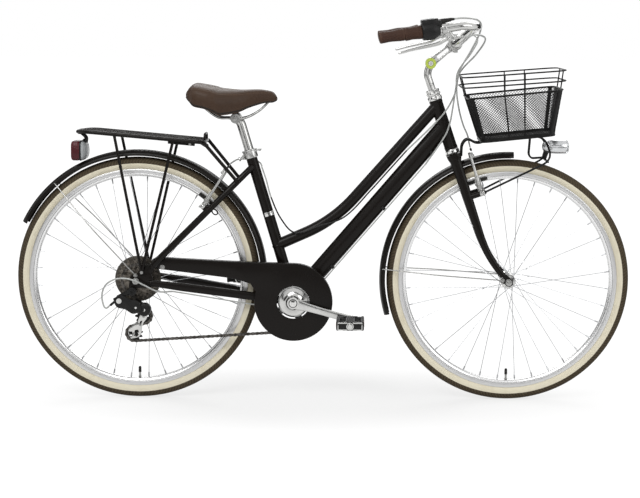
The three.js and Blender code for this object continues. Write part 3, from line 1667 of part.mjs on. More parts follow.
const barHalf = bar.path.map(([x, y, z]) => barClamp.clone().add(at(x, y, z)));
const barTip = (side) => barHalf[barHalf.length - 1].clone().setY(side * barHalf[barHalf.length - 1].y);
const barBend = (side) => barHalf[barHalf.length - 2].clone().setY(side * barHalf[barHalf.length - 2].y);
const barAxis = (side) => barBend(side).sub(barTip(side)).normalize();
const onBar = (along, side) => barTip(side).addScaledVector(barAxis(side), along);

function handlebarPiece() {
  const inner = barHalf.slice(0, -2);
  const outer = rounded([barHalf[barHalf.length - 3], barHalf[barHalf.length - 2], barHalf[barHalf.length - 1]], bar.endBend, 2);
  const half = [...inner, ...outer.slice(1)];
  const whole = [...half.map((p) => p.clone().setY(-p.y)).reverse(), ...half.slice(1)];
  const radii = whole.map((p) => (Math.abs(p.y) <= bar.centreHalf ? bar.clampRadius : bar.radius));
  return bar3(whole, radii, radii, bar.sides);
}
add("handlebar", handlebarPiece(), silver);

// A sleeve on the bar: pairs of radius and place along the bar's end.
function onBarSleeve(profile, side, sides = 12) {
  const bore = boreFor(bar.radius, sides);
  const closed = [[bore, profile[0][1]], ...profile, [bore, profile[profile.length - 1][1]]];
  return turnedPiece(closed, barTip(side), barAxis(side), sides);
}

function gripPiece(side, length, flanged) {
  const g = grip;
  const profile = [[g.radius * g.endShare, 0]];
  for (let i = 1; i < g.waves; i++) {
    profile.push([i % 2 ? g.radius : g.radius * g.endShare, ((length - g.flangeWidth) * i) / g.waves]);
  }
  profile.push([g.radius, length - g.flangeWidth]);
  if (flanged) profile.push([g.flange, length - g.flangeWidth], [g.flange, length]);
  else profile.push([g.radius, length]);
  return onBarSleeve(profile, side);
}
add("grip_right", gripPiece(-1, grip.shortLength, false), gripBrown);
add("grip_left", gripPiece(1, grip.longLength, true), gripBrown);

const twistStart = grip.shortLength + gap;
const twistEnd = twistStart + twist.length;
function twistPiece() {
  const t = twist;
  return onBarSleeve(
    [
      [t.flange, twistStart],
      [t.flange, twistStart + t.flangeWidth],
      [t.radius, twistStart + t.flangeWidth],
      [t.radius, twistEnd - t.collarWidth],
      [t.flange, twistEnd - t.collarWidth],
      [t.flange, twistEnd],
    ],
    -1,
  );
}
add("twist_grip", twistPiece(), blackPlastic);

const housingEnd = twistEnd + gap + twist.housingLength;
const shifterOutlet = () => onBar(housingEnd + twist.spout, -1).add(at(0, 0, twist.spoutRise));

function shifterHousing() {
  const t = twist;
  const start = twistEnd + gap;
  const body = onBarSleeve(
    [
      [t.housingRadius, start],
      [t.housingRadius, housingEnd - t.taper],
      [t.flange, housingEnd],
    ],
    -1,
    12,
  );
  const middle = onBar((start + housingEnd) / 2, -1);
  const window = rod([middle.clone().add(at(0, 0, t.radius)), middle.clone().add(at(0, 0, t.housingRadius + t.window))], t.radius, 10);
  const spout = rod([onBar(housingEnd - t.taper, -1).add(at(0, 0, t.radius)), shifterOutlet()], t.spoutRadius, 6);
  const room = rod([onBar(start - gap, -1), onBar(start - overrun * 4, -1)], t.housingRadius * 2, 12);
  const bore = rod([onBar(0, -1), onBar(housingEnd + overrun, -1)], boreFor(bar.radius, 10), 10);
  return cut(join(body, window, spout), room, bore);
}
add("shifter_housing", shifterHousing(), blackPlastic);

// Brake levers

const leverCentre = (side) => onBar(housingEnd + lever.offset, side);
const leverPivot = (side) => leverCentre(side).add(at(lever.pivotAhead, 0, -lever.pivotDrop));

const adjusterRoot = (side) => leverPivot(side).add(at(lever.hoodShift + lever.hoodDepth / 2 - overrun, 0, 0));
const adjusterTip = (side) => adjusterRoot(side).add(at(lever.adjuster, 0, lever.adjusterRise));

function leverBracket(side) {
  const l = lever;
  const start = housingEnd + l.offset - l.clampWidth / 2;
  const clamp = onBarSleeve([[l.clampRadius, start], [l.clampRadius, start + l.clampWidth]], side, 10);
  const pivot = leverPivot(side);
  const inner = l.thickness / 2 + gap;
  const outer = inner + l.ear;
  const shift = at(l.hoodShift, 0, 0);
  const hood = beam(
    [leverCentre(side).add(shift), pivot.clone().add(shift).add(at(0, 0, -l.earRadius))],
    outer * 2,
    [l.hoodDepth, l.hoodDepth],
  );
  const adjuster = rod([adjusterRoot(side), adjusterTip(side)], l.adjusterRadius, 6);
  const bore = rod(
    [onBar(start - overrun * 4, side), onBar(start + l.clampWidth + overrun * 8, side)],
    boreFor(bar.radius, 10),
    10,
  );
  const roomRadius = boreFor(l.rootRadius, 10);
  const slot = join(
    disc(pivot, -inner, inner, roomRadius, 10),
    block(pivot.clone().add(at(-l.hoodDepth * 2, -inner, -l.hoodDepth * 2)), pivot.clone().add(at(0, inner, roomRadius))),
  );
  const pin = disc(pivot, -outer, outer, l.pin, 6);
  return join(cut(join(clamp, hood, adjuster), bore, slot), pin);
}

function leverBlade(side) {
  const l = lever;
  const root = leverPivot(side);
  const points = l.blade.map(([x, z]) => {
    const y = root.y + side * Math.max(root.x - l.straight - x, 0) * l.spread;
    return at(x, y, z);
  });
  const blade = beam([root, ...points], l.bladeWidths, l.bladeDepths);
  const eye = disc(root, -l.thickness / 2, l.thickness / 2, l.rootRadius, 10);
  return cut(join(blade, eye), disc(root, -stay.boreReach, stay.boreReach, boreFor(l.pin, 6), 6));
}

for (const [name, side] of [["right", -1], ["left", 1]]) {
  add("lever_bracket_" + name, leverBracket(side), blackPlastic);
  add("brake_lever_" + name, leverBlade(side), silver);
}

// Linear pull brakes: an arm on each stud with its pad against the rim

function brakeArm(spec, out, wheelCentre, side) {
  const b = brake;
  const foot = at(spec.x, side * spec.side, spec.z);
  const top = at(spec.topX, side * spec.topSide, spec.topZ);
  const arm = bar3([foot, top], [b.armWidth / 2, b.tipWidth / 2], [b.armThickness / 2, b.tipThickness / 2], 6);
  const half = b.armThickness / 2;
  const boss = alongAxis(foot, out, -half, half, b.bossRadius, 8);
  const upArm = top.clone().sub(foot).normalize();
  const holder = foot.clone().addScaledVector(upArm, b.padOffset);
  const padSide = rim.width / 2 + b.padClearance;
  const radial = at(holder.x - wheelCentre.x, 0, holder.z - wheelCentre.z).normalize();
  const rimMiddle = tyre.seatRadius - rim.depth / 2;
  const padCentre = wheelCentre.clone().addScaledVector(radial, rimMiddle).setY(side * (padSide + b.padThickness / 2));
  const tangent = at(-radial.z, 0, radial.x);
  const half2 = b.padLength / 2;
  const pad = beam(
    [padCentre.clone().addScaledVector(tangent, -half2), padCentre.clone().addScaledVector(tangent, half2)],
    b.padThickness,
    b.padHeight,
  );
  const post = rod([padCentre, at(padCentre.x, holder.y, padCentre.z), holder], b.postRadius, 4);
  const bore = alongAxis(foot, out, -b.boreReach, b.boreReach, boreFor(b.studRadius, 8), 8);
  const ends = [-1, 1].map((way) =>
    alongAxis(foot, out, Math.min(way * half, way * b.boreReach), Math.max(way * half, way * b.boreReach), boreFor(b.bossRadius, 8), 8),
  );
  return cut(join(arm, boss, pad, post), bore, ends);
}

for (const [end, spec, out, centre] of [
  ["front", brake.front, steerAhead, frontAxle],
  ["rear", brake.rear, rearStudAxis, rearAxle],
]) {
  for (const [name, side] of [["right", -1], ["left", 1]]) {
    add(end + "_brake_arm_" + name, brakeArm(spec, out, centre, side), silver);
  }
}

// Rear derailleur: a mount on the hanger, a link that swings sideways, a knuckle and the sprung cage with its pulleys

const linkStart = at(rearAxle.x - derailleur.rearPivot.behind, -derailleur.side, rearAxle.z - derailleur.rearPivot.below);
const linkEnd = at(rearAxle.x - derailleur.frontPivot.behind, -derailleur.side, rearAxle.z - derailleur.frontPivot.below);
const linkAlong = linkEnd.clone().sub(linkStart).normalize();
const swingAxis = at(-linkAlong.z, 0, linkAlong.x);
const cagePivot = at(rearAxle.x + derailleur.pivot.ahead, 0, rearAxle.z - derailleur.pivot.below);

// The two ears, their wall and the pin that hold an end of the link. The wall lies along the link, one way or the other.
const linkWall = (place, way) => place.clone().addScaledVector(linkAlong, way * derailleur.wallReach);
function linkEars(place, way) {
  const d = derailleur;
  const inner = d.linkHalf + gap;
  const outer = inner + d.ear;
  const wall = linkWall(place, way);
  const along = (centre, distance) => centre.clone().addScaledVector(swingAxis, distance);
  const pieces = [
    alongAxis(place, swingAxis, -outer, outer, d.linkPin, 6),
    beam([along(wall, -outer), along(wall, outer)], d.earRadius * 2, d.ear),
  ];
  for (const end of [-1, 1]) {
    const middle = (end * (inner + outer)) / 2;
    pieces.push(alongAxis(along(place, middle), swingAxis, -d.ear / 2, d.ear / 2, d.earRadius, 8));
    pieces.push(beam([along(wall, middle), along(place, middle)], d.earRadius * 2, d.ear));
  }
  return join(pieces);
}

function derailleurMount() {
  const d = derailleur;
  const inner = stay.dropoutInner + stay.dropoutThickness + gap;
  const bolt = sideDisc(hangerPlace, -1, stay.dropoutInner, inner + gap, stay.hanger.bore, 8);
  const body = sideDisc(hangerPlace, -1, inner, inner + d.bodyDepth, d.mountRadius, 12);
  const hub = at(hangerPlace.x, -inner - d.bodyDepth / 2, hangerPlace.z);
  const wall = linkWall(linkStart, -1);
  const shoulder = wall.clone().addScaledVector(swingAxis, d.linkHalf + gap + d.ear / 2);
  const neck = bar3([hub, shoulder], [d.bodyDepth / 2, d.earRadius], [d.mountRadius * d.neckShare, d.ear], 6);
  const foot = wall.clone().addScaledVector(swingAxis, -d.linkHalf);
  const adjuster = rod([foot, cableStop()], d.adjusterRadius, 6);
  return join(bolt, body, neck, linkEars(linkStart, -1), adjuster);
}
const cableStop = () =>
  linkStart.clone().add(at(-derailleur.stop.behind, -derailleur.stop.out, -derailleur.stop.below));
add("derailleur_mount", derailleurMount(), blackPlastic);

function derailleurLink() {
  const d = derailleur;
  const body = bar3([linkStart, linkEnd], d.linkWidth / 2, d.linkHalf, 8);
  const eyes = [linkStart, linkEnd].map((place) =>
    alongAxis(place, swingAxis, -d.linkHalf, d.linkHalf, d.linkWidth / 2, 10),
  );
  const bores = [linkStart, linkEnd].map((place) =>
    alongAxis(place, swingAxis, -d.linkHalf * 2, d.linkHalf * 2, boreFor(d.linkPin, 6), 6),
  );
  return cut(join(body, eyes), bores);
}
add("derailleur_link", derailleurLink(), blackPlastic);

function derailleurKnuckle() {
  const d = derailleur;
  const inner = chain.line + d.cageGap + d.cageThickness + gap * 2;
  const body = sideDisc(cagePivot, -1, inner, inner + d.knuckleDepth, d.bodyRadius, 12);
  const hub = at(cagePivot.x, linkEnd.y, cagePivot.z);
  const reach = d.linkHalf + gap + d.ear;
  const neck = bar3([hub, linkWall(linkEnd, 1)], [d.bodyRadius, d.earRadius], [d.bodyRadius, reach], 6);
  const bore = sideDisc(cagePivot, -1, inner - overrun, inner + d.shaftLength + gap, boreFor(d.shaft, 8), 8);
  return cut(join(body, neck, linkEars(linkEnd, 1)), bore);
}
add("derailleur_knuckle", derailleurKnuckle(), blackPlastic);

function derailleurCage() {
  const d = derailleur;
  const side = (inner, places) => {
    const middle = -(inner + d.cageThickness / 2);
    const centres = places.map((place) => at(place.x, middle, place.z));
    return places
      .map((place) => sideDisc(place, -1, inner, inner + d.cageThickness, d.cageRadius, 8))
      .concat(centres.slice(1).map((place, i) => beam([centres[i], place], d.cageThickness, d.cageWidth)));
  };
  const outer = side(chain.line + d.cageGap, [cagePivot, guidePlace, tensionPlace]);
  const inner = side(chain.line - d.cageGap - d.cageThickness, [guidePlace, tensionPlace]);
  const pins = [guidePlace, tensionPlace].map((place) =>
    sideDisc(place, -1, chain.line - d.cageGap, chain.line + d.cageGap + d.cageThickness + gap, d.pinRadius, 8),
  );
  const face = chain.line + d.cageGap;
  const shaft = sideDisc(cagePivot, -1, face, face + d.cageThickness + gap * 2 + d.shaftLength, d.shaft, 8);
  return join(outer, inner, pins, shaft);
}
add("derailleur_cage", derailleurCage(), silver);

for (const [name, place] of [["guide", guidePlace], ["tension", tensionPlace]]) {
  const outline = toothedOutline(pulley.teeth, course.pitch, gapAngle(name));
  add(name + "_pulley", toothedPlate(outline, place, chain.line, pulley.thickness, [roundHole(pulley.bore, 8)]), blackPlastic);
}

// Front basket: a net tub with wire rails above it

const basketAlong = (x, low, high, rear, front) => low + ((high - low) * (x - rear)) / (front - rear);

// The tub's outline at its lower or upper edge, drawn in by a wall, with its corners cut off.
function basketRing(rear, front, half, rearHeight, frontHeight, inset) {
  const corner = half * basket.cornerShare;
  const [r, f, h] = [rear + inset, front - inset, half - inset];
  return [
    [r + corner, -h],
    [f - corner, -h],
    [f, -h + corner],
    [f, h - corner],
    [f - corner, h],
    [r + corner, h],
    [r, h - corner],
    [r, -h + corner],
  ].map(([x, y]) => at(x, y, basketAlong(x, rearHeight, frontHeight, rear, front)));
}
const basketLow = (inset, rise = 0) =>
  basketRing(basket.lowRear, basket.lowFront, basket.lowHalf, basket.rearLow + rise, basket.frontLow + rise, inset);
const basketTop = (inset, rise = 0) =>
  basketRing(basket.rear, basket.front, basket.half, basket.rearTop + rise, basket.frontTop + rise, inset);

// A diamond gap in a flat panel, cut square through it.
function netGap(corners, across, up, cell) {
  const place = (u, v) => {
    const low = corners[0].clone().lerp(corners[1], u);
    const high = corners[3].clone().lerp(corners[2], u);
    return low.lerp(high, v);
  };
  const normal = corners[1].clone().sub(corners[0]).cross(corners[3].clone().sub(corners[0])).normalize();
  const ring = [
    place(across - cell.across, up),
    place(across, up - cell.up),
    place(across + cell.across, up),
    place(across, up + cell.up),
  ];
  const depth = basket.wall + overrun;
  return loft([-depth, depth].map((d) => ring.map((p) => p.clone().addScaledVector(normal, d))));
}

function netPanel(corners, columns, rows) {
  const width = corners[0].distanceTo(corners[1]);
  const height = corners[0].distanceTo(corners[3]);
  const edge = { across: basket.border / width, up: basket.border / height };
  const step = { across: (1 - 2 * edge.across) / columns, up: (1 - 2 * edge.up) / rows };
  const cell = { across: step.across * basket.gapShare, up: step.up * basket.gapShare };
  const gaps = [];
  for (let i = 0; i < columns; i++) {
    for (let j = 0; j < rows; j++) {
      gaps.push(netGap(corners, edge.across + step.across * (i + 0.5), edge.up + step.up * (j + 0.5), cell));
    }
  }
  return join(gaps);
}

function basketTub() {
  const b = basket;
  const outer = loft([basketLow(0), basketTop(0)]);
  const inner = loft([basketLow(b.wall, b.wall), basketTop(b.wall, overrun * 2)]);
  const low = basketLow(0);
  const top = basketTop(0);
  const panels = [
    netPanel([low[0], low[1], top[1], top[0]], b.meshLong, b.meshRows),
    netPanel([low[2], low[3], top[3], top[2]], b.meshShort, b.meshRows),
    netPanel([low[4], low[5], top[5], top[4]], b.meshLong, b.meshRows),
    netPanel([low[6], low[7], top[7], top[6]], b.meshShort, b.meshRows),
    netPanel([low[0], low[1], low[4], low[5]], b.meshShort, b.meshFloor),
  ];
  return cut(outer, inner, panels);
}

function basketRails() {
  const b = basket;
  const rail = (drop) => {
    const ring = basketRing(b.rimRear, b.rimFront, b.rimHalf, b.rimRearTop - drop, b.rimFrontTop - drop, 0);
    return ringRod(ring, b.wireRadius, 4);
  };
  const pieces = [rail(0), rail(b.rimStep)];
  const high = basketRing(b.rimRear, b.rimFront, b.rimHalf, b.rimRearTop, b.rimFrontTop, 0);
  const low = basketTop(0).map((p) => p.clone().add(at(0, 0, -b.hook)));
  const upright = (p, q) => pieces.push(rod([p, q], b.wireRadius, 4));
  upright(high[2].clone().lerp(high[3], 0.5), low[2].clone().lerp(low[3], 0.5));
  upright(high[6].clone().lerp(high[7], 0.5), low[6].clone().lerp(low[7], 0.5));
  for (const share of b.uprights) {
    for (const [from, to] of [[0, 1], [5, 4]]) {
      upright(high[from].clone().lerp(high[to], share), low[from].clone().lerp(low[to], share));
    }
  }
  return join(pieces);
}
add("basket", join(basketTub(), basketRails()), meshBlack);

const basketFloor = (x) => basketAlong(x, basket.rearLow, basket.frontLow, basket.lowRear, basket.lowFront);

function basketSupport() {
  const c = carrier;
  const under = (x, y) => at(x, y, basketFloor(x) - c.radius - gap * 2);
  const pieces = [];
  for (const side of [-1, 1]) {
    const stud = at(brake.front.x, side * brake.front.side, brake.front.z);
    const face = brake.armThickness / 2 + gap * 2 + brake.headHeight;
    const foot = stud.clone().addScaledVector(steerAhead, face + c.footThickness / 2);
    pieces.push(alongAxis(stud, steerAhead, face, face + c.footThickness, c.footRadius, 8));
    const lower = rounded(
      [foot, at(c.nose.x, side * c.nose.side, c.nose.z), under(c.frontX, side * c.side), under(c.rearX, side * c.side)],
      c.bend,
      2,
    );
    pieces.push(rod(lower, c.radius, 4));
    const crownHalf = THREE.MathUtils.lerp(fork.crownDepth, fork.bladeDepth, c.crownShare) / 2;
    const ahead = crownHalf * Math.cos(Math.PI / 8) + c.radius + gap;
    const crown = onSteer(crownTop + fork.crownLength * c.crownShare, ahead, side * c.side);
    const upper = rounded([crown, at(c.loop.x, side * c.side, c.loop.z), at(c.top.x, side * c.side, c.top.z), at(c.dip.x, side * c.side, c.dip.z), under(c.rearX, side * c.side)], c.loopBend, 2);
    pieces.push(rod(upper, c.radius, 4));
    if (side > 0) {
      pieces.push(rod([crown, crown.clone().setY(-crown.y)], c.radius, 4));
      pieces.push(rod([under(c.rearX, c.side), under(c.rearX, -c.side)], c.radius, 4));
      pieces.push(rod([under(c.crossX, c.side), under(c.crossX, -c.side)], c.radius, 4));
    }
  }
  const share = (lamp.barX - brake.front.x) / (c.nose.x - brake.front.x);
  const barZ = brake.front.z + (c.nose.z - brake.front.z) * share;
  const barSide = brake.front.side + (c.nose.side - brake.front.side) * share;
  pieces.push(rod([at(lamp.barX, -barSide, barZ), at(lamp.barX, barSide, barZ)], c.radius, 4));
  const bolt = at(lamp.x, 0, lamp.pivotZ);
  pieces.push(disc(bolt, -lamp.tabHalf, lamp.tabHalf, lamp.tabRadius, 10));
  pieces.push(beam([at(lamp.barX, 0, barZ), bolt], lamp.tabHalf * 2, lamp.tabRadius));
  pieces.push(disc(bolt, -lamp.tabHalf - gap - lamp.ear, lamp.tabHalf + gap + lamp.ear, lamp.pin, 6));
  return join(pieces);
}
add("basket_support", basketSupport(), meshBlack);

// Headlight

const lampAlong = at(1, 0, 0);
function headlightHousing() {
  const l = lamp;
  const tail = at(l.x - l.tailBehind, 0, l.z);
  const face = l.length - l.lens;
  const body = turnedPiece(
    [
      [0, 0],
      [l.tail, 0],
      [l.radius * l.waistShare, face * l.waistPlace],
      [l.radius, face * l.shoulderPlace],
      [l.radius, face],
      [0, face],
    ],
    tail,
    lampAlong,
    12,
  );
  const bolt = at(l.x, 0, l.pivotZ);
  const inner = l.tabHalf + gap;
  const ears = [-1, 1].map((side) => {
    const middle = (side * (inner + inner + l.ear)) / 2;
    return join(
      sideDisc(bolt, side, inner, inner + l.ear, l.tabRadius, 10),
      beam([bolt.clone().setY(middle), at(l.x + l.earAhead, middle, l.z)], l.ear, l.tabRadius * 2),
    );
  });
  const room = disc(bolt, -inner, inner, boreFor(l.tabRadius, 10), 10);
  const bore = disc(bolt, -stay.boreReach, stay.boreReach, boreFor(l.pin, 6), 6);
  return cut(join(body, ears), room, bore);
}
add("headlight_housing", headlightHousing(), silver);

function headlightLens() {
  const l = lamp;
  const face = at(l.x - l.tailBehind + l.length - l.lens + gap, 0, l.z);
  return turnedPiece(
    [[0, 0], [l.radius - l.lensInset, 0], [l.radius - l.lensInset, l.lens / 3], [l.radius / 2, l.lens - gap], [0, l.lens]],
    face,
    lampAlong,
    12,
  );
}
add("headlight_lens", headlightLens(), clearLens);

// Cables, each with the bare wire between the brake arms at its end

function cablePiece(start, out, places, wires = []) {
  const lead = start.clone().addScaledVector(out, cable.lead);
  const route = places.map(([x, y, z]) => at(x, y, z));
  const bare = wires.map(([x, y, z]) => at(x, y, z));
  const path = [start, lead, ...route, ...bare];
  const radii = path.map((_, i) => (i < path.length - bare.length ? cable.radius : cable.innerRadius));
  return bar3(path, radii, radii, cable.sides);
}
const cableGap = gap * 1.5;
const cableStart = (end, out) => end.clone().addScaledVector(out, cableGap);
const brakeOut = (side) => adjusterTip(side).sub(adjusterRoot(side)).normalize();
const gearOut = barAxis(-1);
add("gear_cable", cablePiece(cableStart(shifterOutlet(), gearOut), gearOut, cable.gear), cableGrey);
const rearCable = cablePiece(cableStart(adjusterTip(-1), brakeOut(-1)), brakeOut(-1), cable.rear, cable.rearWire);
add("rear_brake_cable", rearCable, cableGrey);
const frontCable = cablePiece(cableStart(adjusterTip(1), brakeOut(1)), brakeOut(1), cable.front, cable.frontWire);
add("front_brake_cable", frontCable, cableGrey);

export default group;
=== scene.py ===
"""Looks of a step through city bicycle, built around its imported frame.

Shapes are made in millimetres and handed over in metres.
"""

import json
from math import asin, atan2, ceil, cos, degrees, pi, radians, sin, sqrt, tau

import bmesh
import bpy
from mathutils import Matrix, Vector

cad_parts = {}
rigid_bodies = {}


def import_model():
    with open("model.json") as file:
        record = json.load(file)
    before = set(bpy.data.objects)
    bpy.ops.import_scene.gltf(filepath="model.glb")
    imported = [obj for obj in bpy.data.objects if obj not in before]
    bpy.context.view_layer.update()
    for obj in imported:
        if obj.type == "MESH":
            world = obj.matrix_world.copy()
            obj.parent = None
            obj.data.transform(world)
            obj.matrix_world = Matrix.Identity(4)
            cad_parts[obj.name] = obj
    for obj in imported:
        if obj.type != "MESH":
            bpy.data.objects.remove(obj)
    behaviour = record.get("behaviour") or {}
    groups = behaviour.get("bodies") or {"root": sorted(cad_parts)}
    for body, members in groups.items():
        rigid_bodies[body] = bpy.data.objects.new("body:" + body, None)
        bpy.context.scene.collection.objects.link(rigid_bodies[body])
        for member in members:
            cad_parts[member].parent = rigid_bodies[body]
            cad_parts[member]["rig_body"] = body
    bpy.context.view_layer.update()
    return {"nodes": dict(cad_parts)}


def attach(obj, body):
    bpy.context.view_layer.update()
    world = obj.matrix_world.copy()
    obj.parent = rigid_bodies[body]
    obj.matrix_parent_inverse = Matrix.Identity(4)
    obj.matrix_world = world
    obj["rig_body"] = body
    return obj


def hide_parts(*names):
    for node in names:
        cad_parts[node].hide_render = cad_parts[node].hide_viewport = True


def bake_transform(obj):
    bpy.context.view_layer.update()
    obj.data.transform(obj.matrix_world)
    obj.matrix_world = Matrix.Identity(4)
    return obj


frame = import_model()
scene = bpy.context.scene

# Directions and places on the bicycle, in millimetres


def square_to(way):
    """The direction in the bicycle's plane a quarter turn from another, from forward to up."""
    return Vector((-way.z, 0, way.x))


AHEAD, ACROSS, UP = Vector((1, 0, 0)), Vector((0, 1, 0)), Vector((0, 0, 1))
SIDES = (("right", -1), ("left", 1))
REAR, FRONT = Vector((-530.6, 0, 349)), Vector((530.6, 0, 349))
BRACKET = Vector((-84, 0, 288))
SEAT_LEAN, STEER_LEAN = radians(16.77), radians(18.75)
SEAT_UP = Vector((-sin(SEAT_LEAN), 0, cos(SEAT_LEAN)))
STEER_DOWN = Vector((sin(STEER_LEAN), 0, -cos(STEER_LEAN)))
STEER_AHEAD = square_to(STEER_DOWN)
FORK_LENGTH, FORK_OFFSET = 410.7, 35.4
CROWN = FRONT - FORK_LENGTH * STEER_DOWN - FORK_OFFSET * STEER_AHEAD


def on_seat(up):
    return BRACKET + SEAT_UP * up


def on_steer(down, ahead=0, side=0):
    return CROWN + STEER_DOWN * down + STEER_AHEAD * ahead + ACROSS * side


def from_bracket(ahead, above, side=0):
    return BRACKET + Vector((ahead, side, above))


def spot(angle):
    """The direction in the bicycle's plane at an angle in degrees, forward at 0 and up at 90."""
    return Vector((cos(radians(angle)), 0, sin(radians(angle))))


def aside(place, y):
    return Vector((place.x, y, place.z))


def span(side, near, far):
    """Two places across, both on one side of the bicycle, in rising order."""
    return sorted((side * near, side * far))


# Camera at the photograph's viewpoint: level with the handlebar, a little ahead of the middle, looking slightly down.
# The photograph is cut so that its middle lies CUT_ASIDE pixels left of the line of sight and CUT_BELOW under it.
EYE, TURN = (0.1375, -4.5, 1.0893), (1.47657, -0.00744, -0.00388)
LENS_WIDTHS = 2.4628
PICTURE_WIDTH, CUT_ASIDE, CUT_BELOW = 640, 59, 79
camera = bpy.data.objects.new("camera", bpy.data.cameras.new("camera"))
scene.collection.objects.link(camera)
scene.camera = camera
camera.location, camera.rotation_euler = EYE, TURN
camera.data.lens = camera.data.sensor_width * LENS_WIDTHS
camera.data.shift_x, camera.data.shift_y = -CUT_ASIDE / PICTURE_WIDTH, -CUT_BELOW / PICTURE_WIDTH


# Finishes


class Wire:
    """A shader socket on which plain arithmetic adds Math nodes."""

    def __init__(self, nodes, socket):
        self.nodes, self.socket = nodes, socket

    def math(self, operation, *values):
        return self.nodes.node("ShaderNodeMath", {"operation": operation}, values)

    def __add__(self, other):
        return self.math("ADD", self, other)

    def __sub__(self, other):
        return self.math("SUBTRACT", self, other)

    def __rsub__(self, other):
        return self.math("SUBTRACT", other, self)

    def __mul__(self, other):
        return self.math("MULTIPLY", self, other)

    def __abs__(self):
        return self.math("ABSOLUTE", self)

    __radd__, __rmul__ = __add__, __mul__

    def power(self, other):
        return self.math("POWER", self, other)

    def sine(self):
        return self.math("SINE", self)

    def step(self, low, high):
        """0 below low and 1 above high, smooth between."""
        settings = {"interpolation_type": "SMOOTHSTEP"}
        return self.nodes.node("ShaderNodeMapRange", settings, (self, low, high, 0, 1))


class Nodes:
    """A node tree and the one way in which nodes are added to it."""

    def __init__(self, tree):
        self.tree = tree

    def feed(self, inputs, key, value):
        if isinstance(value, Wire):
            self.tree.links.new(value.socket, inputs[key])
        else:
            inputs[key].default_value = value

    def node(self, kind, settings, values, output=0):
        made = self.tree.nodes.new(kind)
        for name, value in settings.items():
            setattr(made, name, value)
        for key, value in values.items() if isinstance(values, dict) else enumerate(values):
            self.feed(made.inputs, key, value)
        return Wire(self, made.outputs[output])

    def seen(self):
        """1 for the camera, and for what it sees reflected or through glass, and 0 for other light."""
        rays = [f"Is {kind} Ray" for kind in ("Camera", "Glossy", "Transmission")]
        straight, mirrored, through_glass = (self.node("ShaderNodeLightPath", {}, (), ray) for ray in rays)
        return straight.math("MAXIMUM", straight.math("MAXIMUM", straight, mirrored), through_glass)


class Finish(Nodes):
    """One procedural material."""

    def __init__(self, name, color, roughness, metallic=0.0, specular=0.5, coat=0.0, coat_roughness=0.1):
        self.material = bpy.data.materials.new(name)
        self.material.use_nodes = True
        super().__init__(self.material.node_tree)
        self.shader = self.tree.nodes["Principled BSDF"]
        self.put("Base Color", (*color, 1))
        self.put("Roughness", roughness)
        self.put("Metallic", metallic)
        self.put("Specular IOR Level", specular)
        self.put("Coat Weight", coat)
        self.put("Coat Roughness", coat_roughness)

    def put(self, socket, value):
        self.feed(self.shader.inputs, socket, value)

    def place(self):
        return self.node("ShaderNodeTexCoord", {}, (), "Object")

    def uv(self):
        return self.axes(self.node("ShaderNodeTexCoord", {}, (), "UV"))

    def axes(self, vector):
        made = self.node("ShaderNodeSeparateXYZ", {}, (vector,))
        return [Wire(self, socket) for socket in made.socket.node.outputs]

    def noise(self, scale, detail, where=None):
        values = {"Vector": where or self.place(), "Scale": scale, "Detail": detail, "Roughness": 0.55}
        return self.node("ShaderNodeTexNoise", {}, values, "Fac")

    def mix(self, factor, first, second):
        colors = [(*c, 1) if isinstance(c, tuple) else c for c in (first, second)]
        made = self.node("ShaderNodeMix", {"data_type": "RGBA"}, {0: factor, 6: colors[0], 7: colors[1]})
        return Wire(self, made.socket.node.outputs[2])

    def bump(self, height, distance, strength=1.0):
        values = {"Strength": strength, "Distance": distance, "Height": height}
        self.put("Normal", self.node("ShaderNodeBump", {}, values, "Normal"))

    def wheel(self):
        """Distance from the wheel's axle, angle round it and place across, the same for both wheels."""
        x, y, z = self.axes(self.place())
        x, z = abs(x) - FRONT.x / 1000, z - FRONT.z / 1000
        return (x * x + z * z).power(0.5), z.math("ARCTAN2", z, x), y


def mottled(name, color, second, roughness, spread, scale, grain, depth=0.00004, **settings):
    """A finish whose colour and gloss drift a little and whose surface has a fine grain."""
    finish = Finish(name, color, roughness, **settings)
    drift = finish.noise(scale, 4)
    finish.put("Base Color", finish.mix(drift.step(0.3, 0.75), color, second))
    finish.put("Roughness", drift * spread + (roughness - spread / 2))
    finish.bump(finish.noise(grain, 2), depth)
    return finish


def brushed(name, color, second, roughness, scale):
    """Drawn or machined metal, its fine lines longest where the scale is least."""
    finish = Finish(name, color, roughness, metallic=1.0)
    stretched = finish.node("ShaderNodeMapping", {}, {"Vector": finish.place(), "Scale": scale})
    lines = finish.noise(1.0, 3, stretched)
    drift = finish.noise(18, 3)
    finish.put("Base Color", finish.mix(drift.step(0.35, 0.7), color, second))
    finish.put("Roughness", lines * 0.16 + (roughness - 0.08))
    finish.bump(lines, 0.00001)
    return finish


BLACK_ENAMEL = (0.0068, 0.005, 0.004)


def paint_finish():
    """Black enamel with a little dust."""
    finish = Finish("black_enamel", BLACK_ENAMEL, 0.24, specular=0.16)
    drift = finish.noise(14, 5)
    dust = finish.noise(420, 2).step(0.62, 0.8)
    finish.put("Base Color", finish.mix(dust * 0.35, BLACK_ENAMEL, (0.02, 0.017, 0.014)))
    finish.put("Roughness", drift * 0.12 + 0.2)
    finish.bump(finish.noise(650, 1), 0.00002)
    return finish


